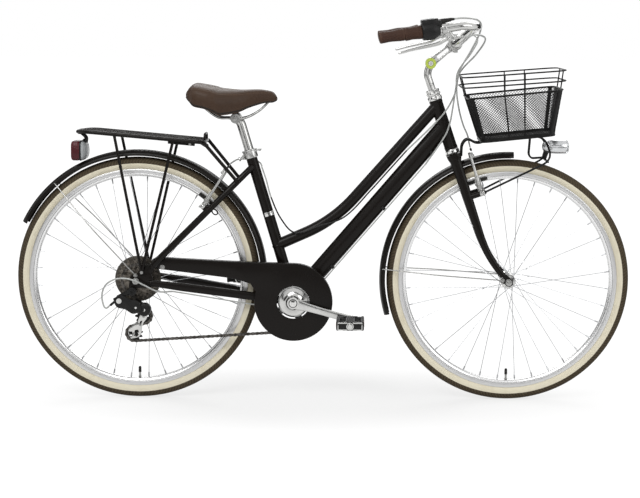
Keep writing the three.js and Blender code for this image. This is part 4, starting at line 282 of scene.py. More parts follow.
def tyre_finish():
    """Cream walls with a moulded seam below a brown tread of blocks between ribs, its grooves painted darker as
    painted shade.
    """
    finish = Finish("tyre_rubber", (0.1, 0.08, 0.05), 0.8, specular=0.25)
    radius, angle, y = finish.wheel()
    tread = radius.step(0.3305, 0.3315)
    across = abs(y)
    ribs = (across * 1500 + (angle * 210).sine() * 1.1).sine()
    blocks = (angle * 240 + across * 900).sine().step(-0.25, 0.1)
    centre = across.step(0.0035, 0.0045)
    pattern = blocks * centre + (1 - centre) * ribs.step(-0.6, 0)
    dirt = finish.noise(60, 5)
    brown = finish.mix(dirt, (0.072, 0.052, 0.03), (0.125, 0.098, 0.062))
    # The tread's grooves between blocks and ribs are painted darker: painted shade in the recesses.
    brown = finish.mix(pattern.step(0, 1) * 0.5 + 0.25, (0.045, 0.034, 0.021), brown)
    scuff = finish.noise(25, 6).step(0.5, 0.75)
    cream = finish.mix(scuff * 0.4, (0.86, 0.8, 0.63), (0.7, 0.62, 0.45))
    seam = ((radius - 0.3265) * 4000).sine().step(0.2, 0.9)
    cream = finish.mix(seam * (1 - radius.step(0.3275, 0.3285)) * 0.16, cream, (0.4, 0.33, 0.2))
    finish.put("Base Color", finish.mix(tread, cream, brown))
    finish.put("Roughness", 0.62 + tread * 0.24 + dirt * 0.06)
    walls = (radius * 2600).sine() * 0.12
    finish.bump(tread * pattern + (1 - tread) * walls + finish.noise(900, 2) * 0.1, 0.0009)
    return finish


def rim_finish():
    """Alloy with a turned track for the brake pads and a groove at the track's inner edge, painted dark as painted
    shade.
    """
    finish = Finish("rim_alloy", (0.6, 0.61, 0.62), 0.3, metallic=1.0)
    radius, _, _ = finish.wheel()
    lines = finish.noise(1.0, 2, finish.node("ShaderNodeCombineXYZ", {}, (radius * 9000, 0.0, 0.0)))
    track = radius.step(0.3018, 0.3026)
    edge = abs(radius - 0.3022).step(0.0003, 0.0008)
    bright = finish.mix(track, (0.8, 0.8, 0.8), (0.66, 0.66, 0.66))
    # The groove at the track's inner edge is painted dark: painted shade.
    finish.put("Base Color", finish.mix(edge, (0.2, 0.2, 0.2), bright))
    finish.put("Roughness", 0.2 + track * 0.12 + lines * 0.1)
    finish.bump(lines * track * 0.5 + edge, 0.00012)
    return finish


def leather_finish():
    """Brown leather with pores, and a stitched seam in a groove near each edge."""
    finish = Finish("saddle_leather", (0.066, 0.036, 0.022), 0.45, specular=0.16, coat=0.07, coat_roughness=0.2)
    broad = finish.noise(22, 5)
    cells = {"Vector": finish.place(), "Scale": 900}
    edges = finish.node("ShaderNodeTexVoronoi", {"feature": "DISTANCE_TO_EDGE"}, cells, "Distance")
    pores = edges.step(0.0, 0.22)
    along, round_it, _ = finish.uv()
    seam = abs(abs(round_it - 0.5) - 0.142)
    stitch = (1 - seam.step(0.002, 0.0035)) * (along * 420).sine().step(-0.3, 0.1)
    groove = 1 - seam.step(0.0, 0.008)
    base = finish.mix(broad, (0.046, 0.025, 0.015), (0.09, 0.054, 0.034))
    base = finish.mix((1 - pores) * 0.5, base, (0.03, 0.015, 0.01))
    finish.put("Base Color", finish.mix(stitch * 0.7, base, (0.16, 0.1, 0.065)))
    finish.put("Roughness", broad * 0.2 + 0.32 + (1 - pores) * 0.1)
    finish.bump(pores * 0.12 - groove * 0.8 + stitch * 0.5 + finish.noise(300, 3) * 0.1, 0.0006)
    return finish


def grip_finish():
    """Brown rubber with rows of beads between two plain ends, the hollows between the beads painted darker as painted
    shade.
    """
    finish = Finish("grip_rubber", (0.08, 0.038, 0.025), 0.6, specular=0.2)
    along, round_it, _ = finish.uv()
    broad = finish.noise(45, 4)
    beads = ((along * 150).sine() * (round_it * (24 * tau)).sine()).step(-0.1, 0.5)
    ends = along.step(0.06, 0.1) * (1 - along.step(0.9, 0.94))
    base = finish.mix(broad, (0.042, 0.021, 0.014), (0.092, 0.048, 0.032))
    # The hollows between the beads are painted darker: painted shade.
    finish.put("Base Color", finish.mix((1 - beads) * ends * 0.5, base, (0.045, 0.018, 0.012)))
    finish.put("Roughness", broad * 0.2 + 0.45)
    finish.bump(beads * ends + finish.noise(800, 2) * 0.15, 0.0007)
    return finish


def lens_finish(name, color, roughness=0.06):
    """Moulded clear plastic with prisms behind its face, their cells painted lighter and darker as painted glints,
    and a painted highlight along the top of the tail lamp.
    """
    finish = Finish(name, color, roughness, specular=0.25, coat=0.12, coat_roughness=0.05)
    _, y, z = finish.axes(finish.place())
    prisms = ((y + z) * 1100).sine() * ((y - z) * 1100).sine()
    dark = tuple(c * 0.45 for c in color)
    # The prism cells are painted lighter and darker as painted glints, and from 0.69 m up, the top of the tail lamp,
    # the lens is painted lighter as a painted highlight.
    light = prisms.step(-0.5, 0.6) * 0.6 + z.step(0.69, 0.745) * 0.25
    finish.put("Base Color", finish.mix(light, dark, color))
    finish.put("Roughness", finish.noise(90, 3) * 0.08 + roughness)
    finish.bump(prisms, 0.0004, 0.6)
    return finish


def glass_finish():
    """Clear glass with ribs down its face."""
    finish = Finish("lamp_glass", (0.93, 0.95, 0.96), 0.03)
    finish.put("Transmission Weight", 0.9)
    _, y, z = finish.axes(finish.place())
    finish.put("Base Color", finish.mix(finish.noise(60, 2) * 0.4, (0.95, 0.96, 0.97), (0.82, 0.86, 0.88)))
    finish.put("Roughness", finish.noise(200, 2) * 0.05 + 0.02)
    finish.bump((y * 1500).sine() + (z * 420).sine() * 0.4, 0.0004)
    return finish


def chain_finish():
    """Steel that is dark where its oil has gathered."""
    finish = Finish("chain_steel", (0.06, 0.055, 0.05), 0.4, metallic=0.9)
    oil = finish.noise(160, 4)
    finish.put("Base Color", finish.mix(oil.step(0.35, 0.7), (0.035, 0.031, 0.027), (0.16, 0.15, 0.14)))
    finish.put("Roughness", oil * 0.3 + 0.25)
    finish.bump(finish.noise(2500, 2), 0.00005)
    return finish


def sprocket_finish():
    """Oily steel with fine rings from the lathe."""
    finish = Finish("sprocket_steel", (0.1, 0.08, 0.06), 0.4, metallic=0.85)
    radius, _, _ = finish.wheel()
    oil = finish.noise(70, 5)
    rings = (radius * 6000).sine() * 0.5 + 0.5
    finish.put("Base Color", finish.mix(oil.step(0.3, 0.7), (0.035, 0.029, 0.023), (0.24, 0.215, 0.185)))
    finish.put("Roughness", rings * 0.1 + oil * 0.2 + 0.28)
    finish.bump(rings * 0.3 + oil, 0.0001)
    return finish


PAINT = paint_finish()
GUARD = mottled("guard_plastic", BLACK_ENAMEL, (0.01, 0.0085, 0.007), 0.3, 0.12, 9, 500, specular=0.16)
BLACK_PLASTIC, BLACK_RUBBER = (0.006, 0.006, 0.006), (0.009, 0.0085, 0.008)
BLACK = mottled("black_plastic", BLACK_PLASTIC, (0.013, 0.012, 0.012), 0.42, 0.16, 60, 1800, 0.00008, specular=0.25)
RUBBER = mottled("black_rubber", BLACK_RUBBER, (0.022, 0.02, 0.018), 0.75, 0.15, 80, 900, 0.0002, specular=0.3)
WIRE = mottled("black_wire", (0.004, 0.004, 0.004), (0.01, 0.0095, 0.009), 0.36, 0.16, 90, 1200, specular=0.16)
POLISHED = brushed("polished_alloy", (0.6, 0.6, 0.585), (0.5, 0.5, 0.49), 0.16, (160, 160, 160))
DRAWN = brushed("drawn_alloy", (0.52, 0.52, 0.505), (0.43, 0.43, 0.42), 0.18, (60, 60, 900))
CAST = mottled("cast_alloy", (0.56, 0.56, 0.55), (0.42, 0.42, 0.41), 0.26, 0.14, 50, 700, metallic=1.0)
CHROME = mottled("chrome_plate", (0.68, 0.68, 0.665), (0.58, 0.58, 0.57), 0.1, 0.08, 30, 400, 0.00001, metallic=1.0)
STEEL = mottled("zinc_steel", (0.42, 0.42, 0.41), (0.3, 0.3, 0.29), 0.34, 0.2, 120, 900, metallic=1.0)
SPOKE = mottled("stainless_wire", (0.5, 0.51, 0.52), (0.4, 0.4, 0.41), 0.28, 0.1, 40, 900, metallic=1.0)
CHAIN, SPROCKET = chain_finish(), sprocket_finish()
TYRE, RIM, LEATHER, GRIP = tyre_finish(), rim_finish(), leather_finish(), grip_finish()
SHEATH = mottled("cable_sheath", (0.5, 0.51, 0.49), (0.4, 0.41, 0.4), 0.35, 0.12, 70, 1500, 0.0001, coat=0.5)
DARK_SHEATH = mottled("dark_sheath", BLACK_PLASTIC, (0.014, 0.013, 0.012), 0.4, 0.12, 70, 1500, 0.0001, specular=0.25)
LAMP_SILVER = mottled("lamp_silver", (0.7, 0.71, 0.72), (0.6, 0.61, 0.62), 0.24, 0.1, 40, 900, 0.00003, metallic=0.85)
RED_LENS = lens_finish("tail_lens", (0.12, 0.01, 0.016), 0.12)
PALE_LENS = lens_finish("pale_reflector", (0.5, 0.52, 0.53))
AMBER = lens_finish("amber_reflector", (0.55, 0.16, 0.02))
SMOKE = mottled("smoked_disc", (0.05, 0.043, 0.034), (0.075, 0.065, 0.05), 0.35, 0.15, 20, 400)
LIME = mottled("lime_ring", (0.55, 0.66, 0.1), (0.42, 0.55, 0.08), 0.4, 0.12, 60, 900, 0.00003)
WINDOW = mottled("window_plastic", (0.35, 0.36, 0.36), (0.25, 0.26, 0.26), 0.15, 0.08, 60, 900, 0.00002, coat=0.6)
GLASS = glass_finish()


# Shaping


def circle(centre, radius, steps):
    angles = [tau * i / steps for i in range(steps)]
    return [(centre[0] + radius * cos(angle), centre[1] + radius * sin(angle)) for angle in angles]


def arc(radius, angles):
    """Points on a circle round nought at angles in degrees."""
    return [(radius * cos(radians(angle)), radius * sin(radians(angle))) for angle in angles]


def round_section(radius, sides):
    return circle((0, 0), radius, sides)


def oval(width, depth, sides):
    return [(a * width / 2, b * depth / 2) for a, b in round_section(1, sides)]


def boxed(width, depth, corner, steps=3):
    """A rectangle with rounded corners, as pairs across and along."""
    corner = min(corner, width / 2.001, depth / 2.001)
    made = []
    for i, (a, b) in enumerate(((1, 1), (-1, 1), (-1, -1), (1, -1))):
        for j in range(steps + 1):
            t = pi / 2 * (i + j / steps)
            made.append((a * (width / 2 - corner) + corner * cos(t), b * (depth / 2 - corner) + corner * sin(t)))
    return made


def at_place(loop, centre):
    return [(centre.x + a, centre.z + b) for a, b in loop]


def framing(line, loop):
    """A frame at each point of a line, its Z along the line and its X turned as little as can be."""
    count = len(line)
    ways = []
    for i, point in enumerate(line):
        before = line[(i - 1) % count] if loop or i else point
        after = line[(i + 1) % count] if loop or i < count - 1 else point
        ways.append(((point - before).normalized() + (after - point).normalized()).normalized())
    across = ACROSS if abs(ways[0].y) < 0.7 else UP
    frames = []
    for point, way in zip(line, ways):
        across = (across - way * across.dot(way)).normalized()
        turn = Matrix((across, way.cross(across), way)).transposed().to_4x4()
        frames.append(Matrix.Translation(point) @ turn)
    return frames


def skin(bm, place, along, around, loop=False, caps=True):
    """Carries a sheet of along by around faces to place(u, v), joins its edges and fills its ends."""
    made = bmesh.ops.create_grid(bm, x_segments=along, y_segments=around, size=0.5, calc_uvs=True)["verts"]
    for vert in made:
        vert.co = place(vert.co.x + 0.5, vert.co.y + 0.5)
    faces = {face for vert in made for face in vert.link_faces}
    bmesh.ops.remove_doubles(bm, verts=made, dist=0.002)
    if caps and not loop:
        edges = {edge for face in faces if face.is_valid for edge in face.edges if edge.is_boundary}
        if edges:
            bmesh.ops.holes_fill(bm, edges=list(edges), sides=0)


def sweep(bm, line, section, loop=False):
    """Carries a section along a line. The section is one list of pairs, or one list for each point."""
    frames = framing(line, loop)
    count = len(line) if loop else len(line) - 1
    sections = section if isinstance(section[0], list) else [section] * len(line)
    sides = len(sections[0])

    def place(u, v):
        i, j = round(u * count) % len(line), round(v * sides) % sides
        return frames[i] @ Vector((*sections[i][j], 0))

    skin(bm, place, count, sides, loop)


def rod(bm, line, radius, sides, loop=False):
    radii = radius if isinstance(radius, list) else [radius] * len(line)
    sweep(bm, line, [round_section(r, sides) for r in radii], loop)


def facing(centre, axis):
    """A frame at a place with its Z along an axis."""
    return Matrix.Translation(centre) @ axis.to_track_quat("Z", "Y").to_matrix().to_4x4()


def turned(bm, profile, centre, axis, steps, ring=False):
    """Spins a profile, pairs of radius and place along the axis. A ring's profile closes on itself."""
    place = facing(centre, axis)
    verts = [bm.verts.new(place @ Vector((radius, 0, along))) for radius, along in profile]
    ends = verts[1:] + verts[:1] if ring else verts[1:]
    edges = [bm.edges.new(pair) for pair in zip(verts, ends)]
    bmesh.ops.spin(
        bm, geom=verts + edges, cent=centre, axis=axis, dvec=(0, 0, 0), angle=tau, steps=steps, use_merge=True
    )


def edged(inner, radius, low, high, edge):
    """Half the section of a disc or a washer whose outer edges are broken."""
    profile = [(inner, low), (radius - edge, low), (radius, low + edge)]
    return profile + [(radius, high - edge), (radius - edge, high), (inner, high)]


def disc(bm, centre, low, high, radius, axis=ACROSS, steps=32, edge=0.6):
    edge = min(edge, radius * 0.4, (high - low) * 0.4)
    turned(bm, edged(0, radius, low, high, edge), centre, axis, steps)


def washer(bm, centre, low, high, bore, radius, axis=ACROSS, steps=36, edge=0.6):
    edge = min(edge, (radius - bore) * 0.3, (high - low) * 0.3)
    turned(bm, edged(bore, radius, low, high, edge), centre, axis, steps, ring=True)


def plate(bm, loops, low, high, turn=None):
    """Fills the first loop less the others and gives it a thickness.

    Loops are pairs forward and up, or along a turn's X and Y.
    """
    if turn is None:
        turn = Matrix.Rotation(pi / 2, 4, "X")
        low, high = -high, -low
    edges = []
    for loop in loops:
        verts = [bm.verts.new((a, b, low)) for a, b in loop]
        edges += [bm.edges.new(pair) for pair in zip(verts, verts[1:] + verts[:1])]
    filled = bmesh.ops.triangle_fill(bm, edges=edges, use_beauty=True)["geom"]
    faces = [g for g in filled if isinstance(g, bmesh.types.BMFace)]
    raised = bmesh.ops.extrude_face_region(bm, geom=faces)["geom"]
    moved = [g for g in raised if isinstance(g, bmesh.types.BMVert)]
    bmesh.ops.translate(bm, verts=moved, vec=(0, 0, high - low))
    verts = list({vert for face in faces if face.is_valid for vert in face.verts}) + moved
    bmesh.ops.transform(bm, verts=verts, matrix=turn)


def block(bm, centre, size, turn=Matrix.Identity(3)):
    matrix = Matrix.Translation(centre) @ turn.to_4x4() @ Matrix.Diagonal((*size, 1))
    bmesh.ops.create_cube(bm, size=1, matrix=matrix)


def nut(bm, centre, low, high, radius, axis=ACROSS):
    """A hexagon nut or bolt head, its height from low to high along the axis."""
    plate(bm, [round_section(radius, 6)], low, high, facing(centre, axis))


def bolt(bm, centre, axis, low, high, radius):
    """A round head with a hollow for the key."""
    hole = radius * 0.5
    profile = [(0, high - radius * 0.4), (hole, high - radius * 0.4), (hole, high), (radius * 0.85, high)]
    profile += [(radius, high - radius * 0.2), (radius, low), (0, low)]
    turned(bm, profile, centre, axis, 20)


def rounded(points, length, steps=6, loop=False):
    """Corners taken round with curves that start a length before each corner."""
    count, made = len(points), []
    for i, corner in enumerate(points):
        if not loop and i in (0, count - 1):
            made.append(corner)
            continue
        before, after = points[i - 1], points[(i + 1) % count]
        reach = min(length, (before - corner).length / 2, (after - corner).length / 2)
        start = corner + (before - corner).normalized() * reach
        end = corner + (after - corner).normalized() * reach
        for j in range(steps + 1):
            t = j / steps
            made.append(start * (1 - t) ** 2 + corner * (2 * t * (1 - t)) + end * t**2)
    clean = [made[0]]
    for point in made[1:]:
        if (point - clean[-1]).length > 0.01:
            clean.append(point)
    return clean


def fillet_outline(corners, radius, steps=5):
    line = rounded([Vector((a, b, 0)) for a, b in corners], radius, steps, loop=True)
    return [(p.x, p.y) for p in line]


def through(points, spacing):
    """A smooth line through points, with a new point at each spacing or so."""
    line = []
    last = len(points) - 1
    for i in range(last):
        p0, p1, p2, p3 = points[max(i - 1, 0)], points[i], points[i + 1], points[min(i + 2, last)]
        reach = (p2 - p1).length
        steps = max(2, ceil(reach / spacing))
        m1 = (p2 - p0) * (reach / max((p2 - p0).length, 0.001))
        m2 = (p3 - p1) * (reach / max((p3 - p1).length, 0.001))
        for j in range(steps):
            t = j / steps
            a, b = 2 * t**3 - 3 * t**2 + 1, t**3 - 2 * t**2 + t
            c, d = -2 * t**3 + 3 * t**2, t**3 - t**2
            line.append(p1 * a + m1 * b + p2 * c + m2 * d)
    return line + [points[last]]


def resampled(line, count):
    """The same line with count evenly spaced spans."""
    lengths = [0.0]
    for a, b in zip(line, line[1:]):
        lengths.append(lengths[-1] + (b - a).length)
    made, i = [], 0
    for j in range(count + 1):
        goal = lengths[-1] * j / count
        while i < len(line) - 2 and lengths[i + 1] < goal:
            i += 1
        share = (goal - lengths[i]) / max(lengths[i + 1] - lengths[i], 1e-6)
        made.append(line[i].lerp(line[i + 1], min(max(share, 0), 1)))
    return made


def eased(rows, t):
    """A smooth value between the rows of a table."""
    last = len(rows) - 1
    t = min(max(t, 0), last)
    i = min(int(t), last - 1)
    s = t - i
    p = [Vector(rows[min(max(k, 0), last)]) for k in (i - 1, i, i + 1, i + 2)]
    m1, m2 = (p[2] - p[0]) / 2, (p[3] - p[1]) / 2
    near = p[1] * (2 * s**3 - 3 * s**2 + 1) + m1 * (s**3 - 2 * s**2 + s)
    return near + p[2] * (3 * s**2 - 2 * s**3) + m2 * (s**3 - s**2)


def new_shape():
    bm = bmesh.new()
    bm.loops.layers.uv.new("UVMap")
    return bm


def piece(name, bm, body, finish, slot, *nodes, bevel=0.0, smooth=32, open_sheet=False):
    """Hands a shape to Blender in metres as a piece that rides on a body and stands for CAD nodes."""
    bmesh.ops.remove_doubles(bm, verts=bm.verts, dist=0.0015)
    bmesh.ops.dissolve_degenerate(bm, edges=bm.edges, dist=0.0005)
    if not open_sheet:
        bmesh.ops.recalc_face_normals(bm, faces=bm.faces)
    if bevel:
        sharp = [e for e in bm.edges if len(e.link_faces) == 2 and e.calc_face_angle(0) > radians(38)]
        bmesh.ops.bevel(
            bm, geom=sharp, offset=bevel, affect="EDGES", segments=2, profile=0.5, material=-1, clamp_overlap=True
        )
    for face in bm.faces:
        face.smooth = True
    for edge in bm.edges:
        edge.smooth = edge.calc_face_angle(0) < radians(smooth)
    bmesh.ops.scale(bm, verts=bm.verts, vec=(0.001, 0.001, 0.001))
    made = placed(name, bm, finish)
    if body:
        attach(made, body)
    if nodes:
        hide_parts(*nodes)
    return made


def placed(name, bm, finish):
    mesh = bpy.data.meshes.new(name)
    bm.to_mesh(mesh)
    bm.free()
    mesh.materials.append(finish.material)
    made = bpy.data.objects.new(name, mesh)
    scene.collection.objects.link(made)
    return made


def refined(node, finish, slot, bevel):
    """A merged copy of a CAD node with its flats joined and its edges broken."""
    bm = bmesh.new()
    bm.from_mesh(frame["nodes"][node].data)
    for layer in list(bm.loops.layers.uv.values()):
        bm.loops.layers.uv.remove(layer)
    bmesh.ops.scale(bm, verts=bm.verts, vec=(1000, 1000, 1000))
    bmesh.ops.remove_doubles(bm, verts=bm.verts, dist=0.01)
    bmesh.ops.dissolve_limit(bm, angle_limit=radians(1), verts=bm.verts, edges=bm.edges)
    piece(node + "_trim", bm, frame["nodes"][node]["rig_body"], finish, slot, node, bevel=bevel, smooth=40)


# Frame

DROPOUT, STUD_OUT = 70.0, 41
REAR_STUD, FRONT_STUD = Vector((-342, 0, 560)), Vector((450, 0, 603))
head_top, down_head = on_steer(-147), on_steer(-66)
down_way = (down_head - BRACKET).normalized()
bm = new_shape()
rod(bm, [on_seat(0), on_seat(441.8)], 16, 32)
rod(bm, rounded([on_steer(-130.5), from_bracket(114, 230), on_seat(165)], 105, 24), 16.5, 32)
sweep(bm, [BRACKET.lerp(down_head, i / 10) for i in range(11)], oval(34, 50, 36))
head_tube = [(16.6, 0), (18.9, 0), (19.2, -1), (19.2, -7), (18.5, -9)]
head_tube += [(18.5, -138), (19.2, -140), (19.2, -146), (18.9, -147), (16.6, -147)]
turned(bm, head_tube, CROWN, STEER_DOWN, 40, ring=True)
turned(bm, [(17.6, -34), (20.5, -34), (20.5, 34), (17.6, 34)], BRACKET, ACROSS, 40, ring=True)
for weld in (163, 20):
    turned(bm, [(16, -3), (17.2, -1), (17.2, 1), (16, 3)], on_seat(weld), SEAT_UP, 36, ring=True)
piece("frame_weldment", bm, "frame", PAINT, "paint", "frame_tubes")

# Bright bands round the seat tube, and the clips that hold the cable under the down tube
bm = new_shape()
for low, high in ((-6, 2.4), (3.2, 6)):
    washer(bm, on_seat(259), low, high, 16, 16.8, SEAT_UP)
piece("frame_bands", bm, "frame", CHROME, "chrome")
bm = new_shape()
for share in (0.22, 0.56, 0.88):
    clip = BRACKET.lerp(down_head, share) - square_to(down_way) * 20
    block(bm, aside(clip, -12), (9, 9, 12), Matrix.Rotation(radians(-49), 3, "Y"))
piece("cable_clips", bm, "frame", BLACK, "black_plastic", bevel=1.5)

# Stays
chain_end = {s: REAR + Vector((36, s * DROPOUT, -5)) for s in (-1, 1)}
seat_end = {s: REAR + Vector((43, s * DROPOUT, 39)) for s in (-1, 1)}
seat_waist = {s: from_bracket(-178, 326, s * 38) for s in (-1, 1)}
seat_top = {s: from_bracket(-119, 385, s * 13) for s in (-1, 1)}
eyelet, hanger = REAR + Vector((18, 0, 26)), REAR + Vector((-9, 0, -28))
stay_way = (aside(seat_waist[1], 0) - aside(seat_end[1], 0)).normalized()
stay_out = square_to(stay_way)


def stud(bm, place, out, reach):
    """A brake arm's stud, which starts a reach behind its place."""
    profile = [(0, -reach), (8, -reach), (8, -4.8), (5, -4.6), (5, 4.6), (7.5, 4.8)]
    profile += [(8, 5.4), (8, 7.2), (7.2, 7.8), (3, 7.8), (3, 6), (0, 6)]
    turned(bm, profile, place, out, 28)


FORK_END = [(-17, 6), (-14, 15), (4, 21), (12, 34), (22, 34), (34, 46), (54, 52), (58, 42), (44, 22), (48, 8)]
FORK_END += [(46, -16), (30, -18), (14, -19), (0, -20)]
HANGER = [(2, -28), (-4, -39), (-15, -39), (-20, -30), (-19, -12)]
for name, side in SIDES:
    bm = new_shape()
    chain_line = through([from_bracket(-22, 0, side * 27), from_bracket(-91, 10, side * 33), chain_end[side]], 14)
    shares = [i / (len(chain_line) - 1) for i in range(len(chain_line))]
    sweep(bm, chain_line, [boxed(13 if t < 0.5 else 12, 24 - 24 * max(0, t - 0.75), 6) for t in shares])
    rod(bm, rounded([seat_end[side], seat_waist[side], seat_top[side]], 60, 12), 9, 24)
    loops = [fillet_outline(FORK_END + (HANGER if side < 0 else [(-14, -14)]), 4), circle((0, 0), 5.3, 24)]
    if side < 0:
        loops.append(circle((-9, -28), 5.4, 20))
    plate(bm, [at_place(loop, REAR) for loop in loops], *span(side, 67, 73))
    for end, way, start in ((chain_end[side], AHEAD, 3), (seat_end[side], stay_way, 2)):
        turned(bm, [(0, -2), (8, -1), (9.5, 3), (9.5, 6), (0, 6)], end + way * start, way, 24)
    if side < 0:
        eye = seat_end[side].lerp(seat_waist[side], 0.745) - stay_out * 16
        rod(bm, [eye - stay_out * a + stay_way * b for a, b in oval(18, 13, 20)], 1.9, 10, loop=True)
    stud(bm, aside(REAR_STUD, side * STUD_OUT), stay_out, (REAR_STUD - aside(seat_end[side], 0)).dot(stay_out))
    if side > 0:
        bridge = REAR + (aside(seat_waist[1], 0) - REAR).normalized() * 377.3
        disc(bm, bridge, -38, 38, 7)
    piece(name + "_stay_set", bm, "frame", PAINT, "paint", name + "_stays", bevel=0.6)

# Headset, collar and bottom bracket
bm = new_shape()
cups = [(14.8, 0.3), (20.4, 0.3), (21, 1), (21, 10), (20.2, 11.4), (17.8, 12), (17.8, 14), (20, 15), (20.6, 16)]
cups += [(20.6, 21), (20, 22), (18.4, 22.5), (18.4, 24), (20, 25), (20, 30), (19, 31.4), (15.6, 32), (14.8, 32)]
turned(bm, cups, head_top, -STEER_DOWN, 48, ring=True)
nut(bm, head_top, 15.5, 21.5, 21.5, -STEER_DOWN)
piece("headset_cups", bm, "frame", CHROME, "chrome", "headset_upper", bevel=0.3)
bm = new_shape()
race = [(14.8, 0.3), (18, 0.3), (19, 2.5), (20.5, 4), (20.5, 11), (19.6, 11.6), (14.8, 11.6)]
turned(bm, race, CROWN, STEER_DOWN, 48, ring=True)
piece("headset_race", bm, "frame", CHROME, "chrome", "headset_lower")

bm = new_shape()
collar, behind, seat_turn = on_seat(434.3), square_to(SEAT_UP), Matrix.Rotation(-SEAT_LEAN, 3, "Y")
washer(bm, collar, -8, 14, 16.3, 20.5, SEAT_UP, 48, 1.4)
washer(bm, collar, 12, 17, 16.3, 22, SEAT_UP, 48, 1.0)
lobe = collar + behind * 23
block(bm, collar + behind * 20.5, (8, 20, 14), seat_turn)
disc(bm, lobe, -12, 12, 5, steps=24)
bolt(bm, lobe - ACROSS * 12, -ACROSS, -1, 4.5, 4.6)
nut(bm, lobe, 12, 16, 5)
rod(bm, [lobe - SEAT_UP * 2, lobe + behind * 9 - SEAT_UP * 2], 3.4, 16)
disc(bm, lobe + behind * 8 - SEAT_UP * 2, 0, 5, 6.4, behind, 24)
block(bm, on_seat(444) - behind * 25, (16, 15, 5), seat_turn)
disc(bm, on_seat(443) - behind * 30, -9, 9, 4.4, steps=24)
piece("seat_clamp", bm, "frame", CAST, "aluminium", "seat_collar", bevel=0.7)

bm = new_shape()
for side in (-1, 1):
    cup = [(8.4, 34.3), (18.8, 34.3), (19, 35), (19, 37), (17.5, 38), (8.4, 37)]
    turned(bm, [(r, side * y) for r, y in cup], BRACKET, ACROSS, 40, ring=True)
washer(bm, BRACKET, -30, 30, 15, 17)
piece("bracket_cups", bm, "frame", STEEL, "steel", "bottom_bracket")

# Fork: the blades start at the crown and curve ahead from a bend on
BLADE_TOP, BLADE_END, BEND = 24, 388.7, 258


def blade_share(down):
    return (down - BLADE_TOP) / (FORK_LENGTH - BLADE_TOP)


def blade_place(down, side):
    past = max(0, (down - BEND) / (FORK_LENGTH - BEND))
    return on_steer(down, FORK_OFFSET * past * past, side * (37 + 15.5 * blade_share(down)))


bm = new_shape()
rod(bm, [on_steer(12.2), on_steer(-176)], 14.3, 32)
bmesh.ops.delete(bm, geom=[f for f in bm.faces if len(f.verts) > 4], context="FACES")
rod(bm, [on_steer(12.2), on_steer(-176)], 11.4, 32)
crown_sizes = ((80, 34), (92, 42), (93, 40), (92, 33), (84, 28))
sweep(bm, [on_steer(down) for down in (11.6, 14, 26, 36, 38.6)], [boxed(*size, 15, 6) for size in crown_sizes])
for side in (-1, 1):
    downs = [BLADE_TOP + (BLADE_END - BLADE_TOP) * i / 22 for i in range(23)]
    ovals = [oval(19 - 7 * blade_share(down), 32 - 15 * blade_share(down), 24) for down in downs]
    sweep(bm, [blade_place(down, side) for down in downs], ovals)
    tip = blade_place(BLADE_END, 1) - FRONT
    outline = [(tip.x - 8, tip.z + 2), (tip.x + 8, tip.z + 6), (12, 6), (12, -6), (5, -12), (-6, -11)]
    outline += [(-12, -4), (-21, -1), (-24, 5), (-21, 12), (-14, 13)]
    loops = (fillet_outline(outline, 3), circle((0, 0), 5.3, 24), circle((-17, 6), 2.4, 12))
    plate(bm, [at_place(loop, FRONT) for loop in loops], *span(side, 50, 55))
    stud(bm, aside(FRONT_STUD, side * STUD_OUT), STEER_AHEAD, (FRONT_STUD - CROWN).dot(STEER_AHEAD))
piece("fork_weldment", bm, "fork", PAINT, "paint", "fork")

# Wheels

SPOKES_A_SIDE, RIM_BED = 18, 292.5


def spokes(bm, centre, flange, left, right):
    """Crossed spokes from the two flanges of a hub to the rim, with their heads and nipples."""
    for side, place in ((1, left), (-1, -right)):
        for i in range(SPOKES_A_SIDE):
            hub_angle = 20 * (i + (0.5 if side > 0 else 0)) + 5
            way = 1 if i % 2 else -1
            hub_end = centre + spot(hub_angle) * (flange - 3.5) + ACROSS * (place + way * 1.6)
            rim_end = centre + spot(hub_angle + way * 60) * RIM_BED + ACROSS * (side * 14 / 6)
            out = (rim_end - hub_end).normalized()
            rod(bm, [hub_end, rim_end - out * 3], 1.0, 6)
            rod(bm, [hub_end - ACROSS * (way * 0.4), hub_end + ACROSS * (way * 2)], 1.9, 8)
            rod(bm, [rim_end - out * 13, rim_end - out * 11, rim_end + out], [1.3, 1.9, 2.1], 8)


RIM_HALF = [(308, 0), (309, 8), (311.5, 10.4), (314.2, 11.4), (314.4, 12), (313.8, 12.4), (302.6, 12.4), (302, 12)]
RIM_HALF += [(301.4, 12.2), (299.5, 11.6), (296, 9.4), (293.3, 6.4), (292.4, 3), (292.2, 0)]
for end, centre in (("front", FRONT), ("rear", REAR)):
    bm = new_shape()
    turned(bm, [(330 + r, y) for r, y in arc(19, range(-152, 153, 8))], centre, ACROSS, 160, ring=True)
    piece(end + "_tyre_tread", bm, end + "_wheel", TYRE, "tyre", end + "_tyre")
    bm = new_shape()
    turned(bm, RIM_HALF[::-1] + [(r, -y) for r, y in RIM_HALF[1:-1]], centre, ACROSS, 160, ring=True)
    piece(end + "_rim_hoop", bm, end + "_wheel", RIM, "aluminium", end + "_rim", smooth=40)
    bm = new_shape()
    inner = centre - UP * 292
    rod(bm, [inner, inner + UP * 14], 3.0, 16)
    rod(bm, [inner + UP * 1, inner + UP * 2.4], 5.0, 6)
    piece(end + "_valve_stem", bm, end + "_wheel", STEEL, "steel")
    bm = new_shape()
    rod(bm, [inner + UP * up for up in (14, 15, 28, 31)], [3.8, 4.2, 4.0, 2.6], 16)
    piece(end + "_valve_cap", bm, end + "_wheel", RUBBER, "black_plastic")

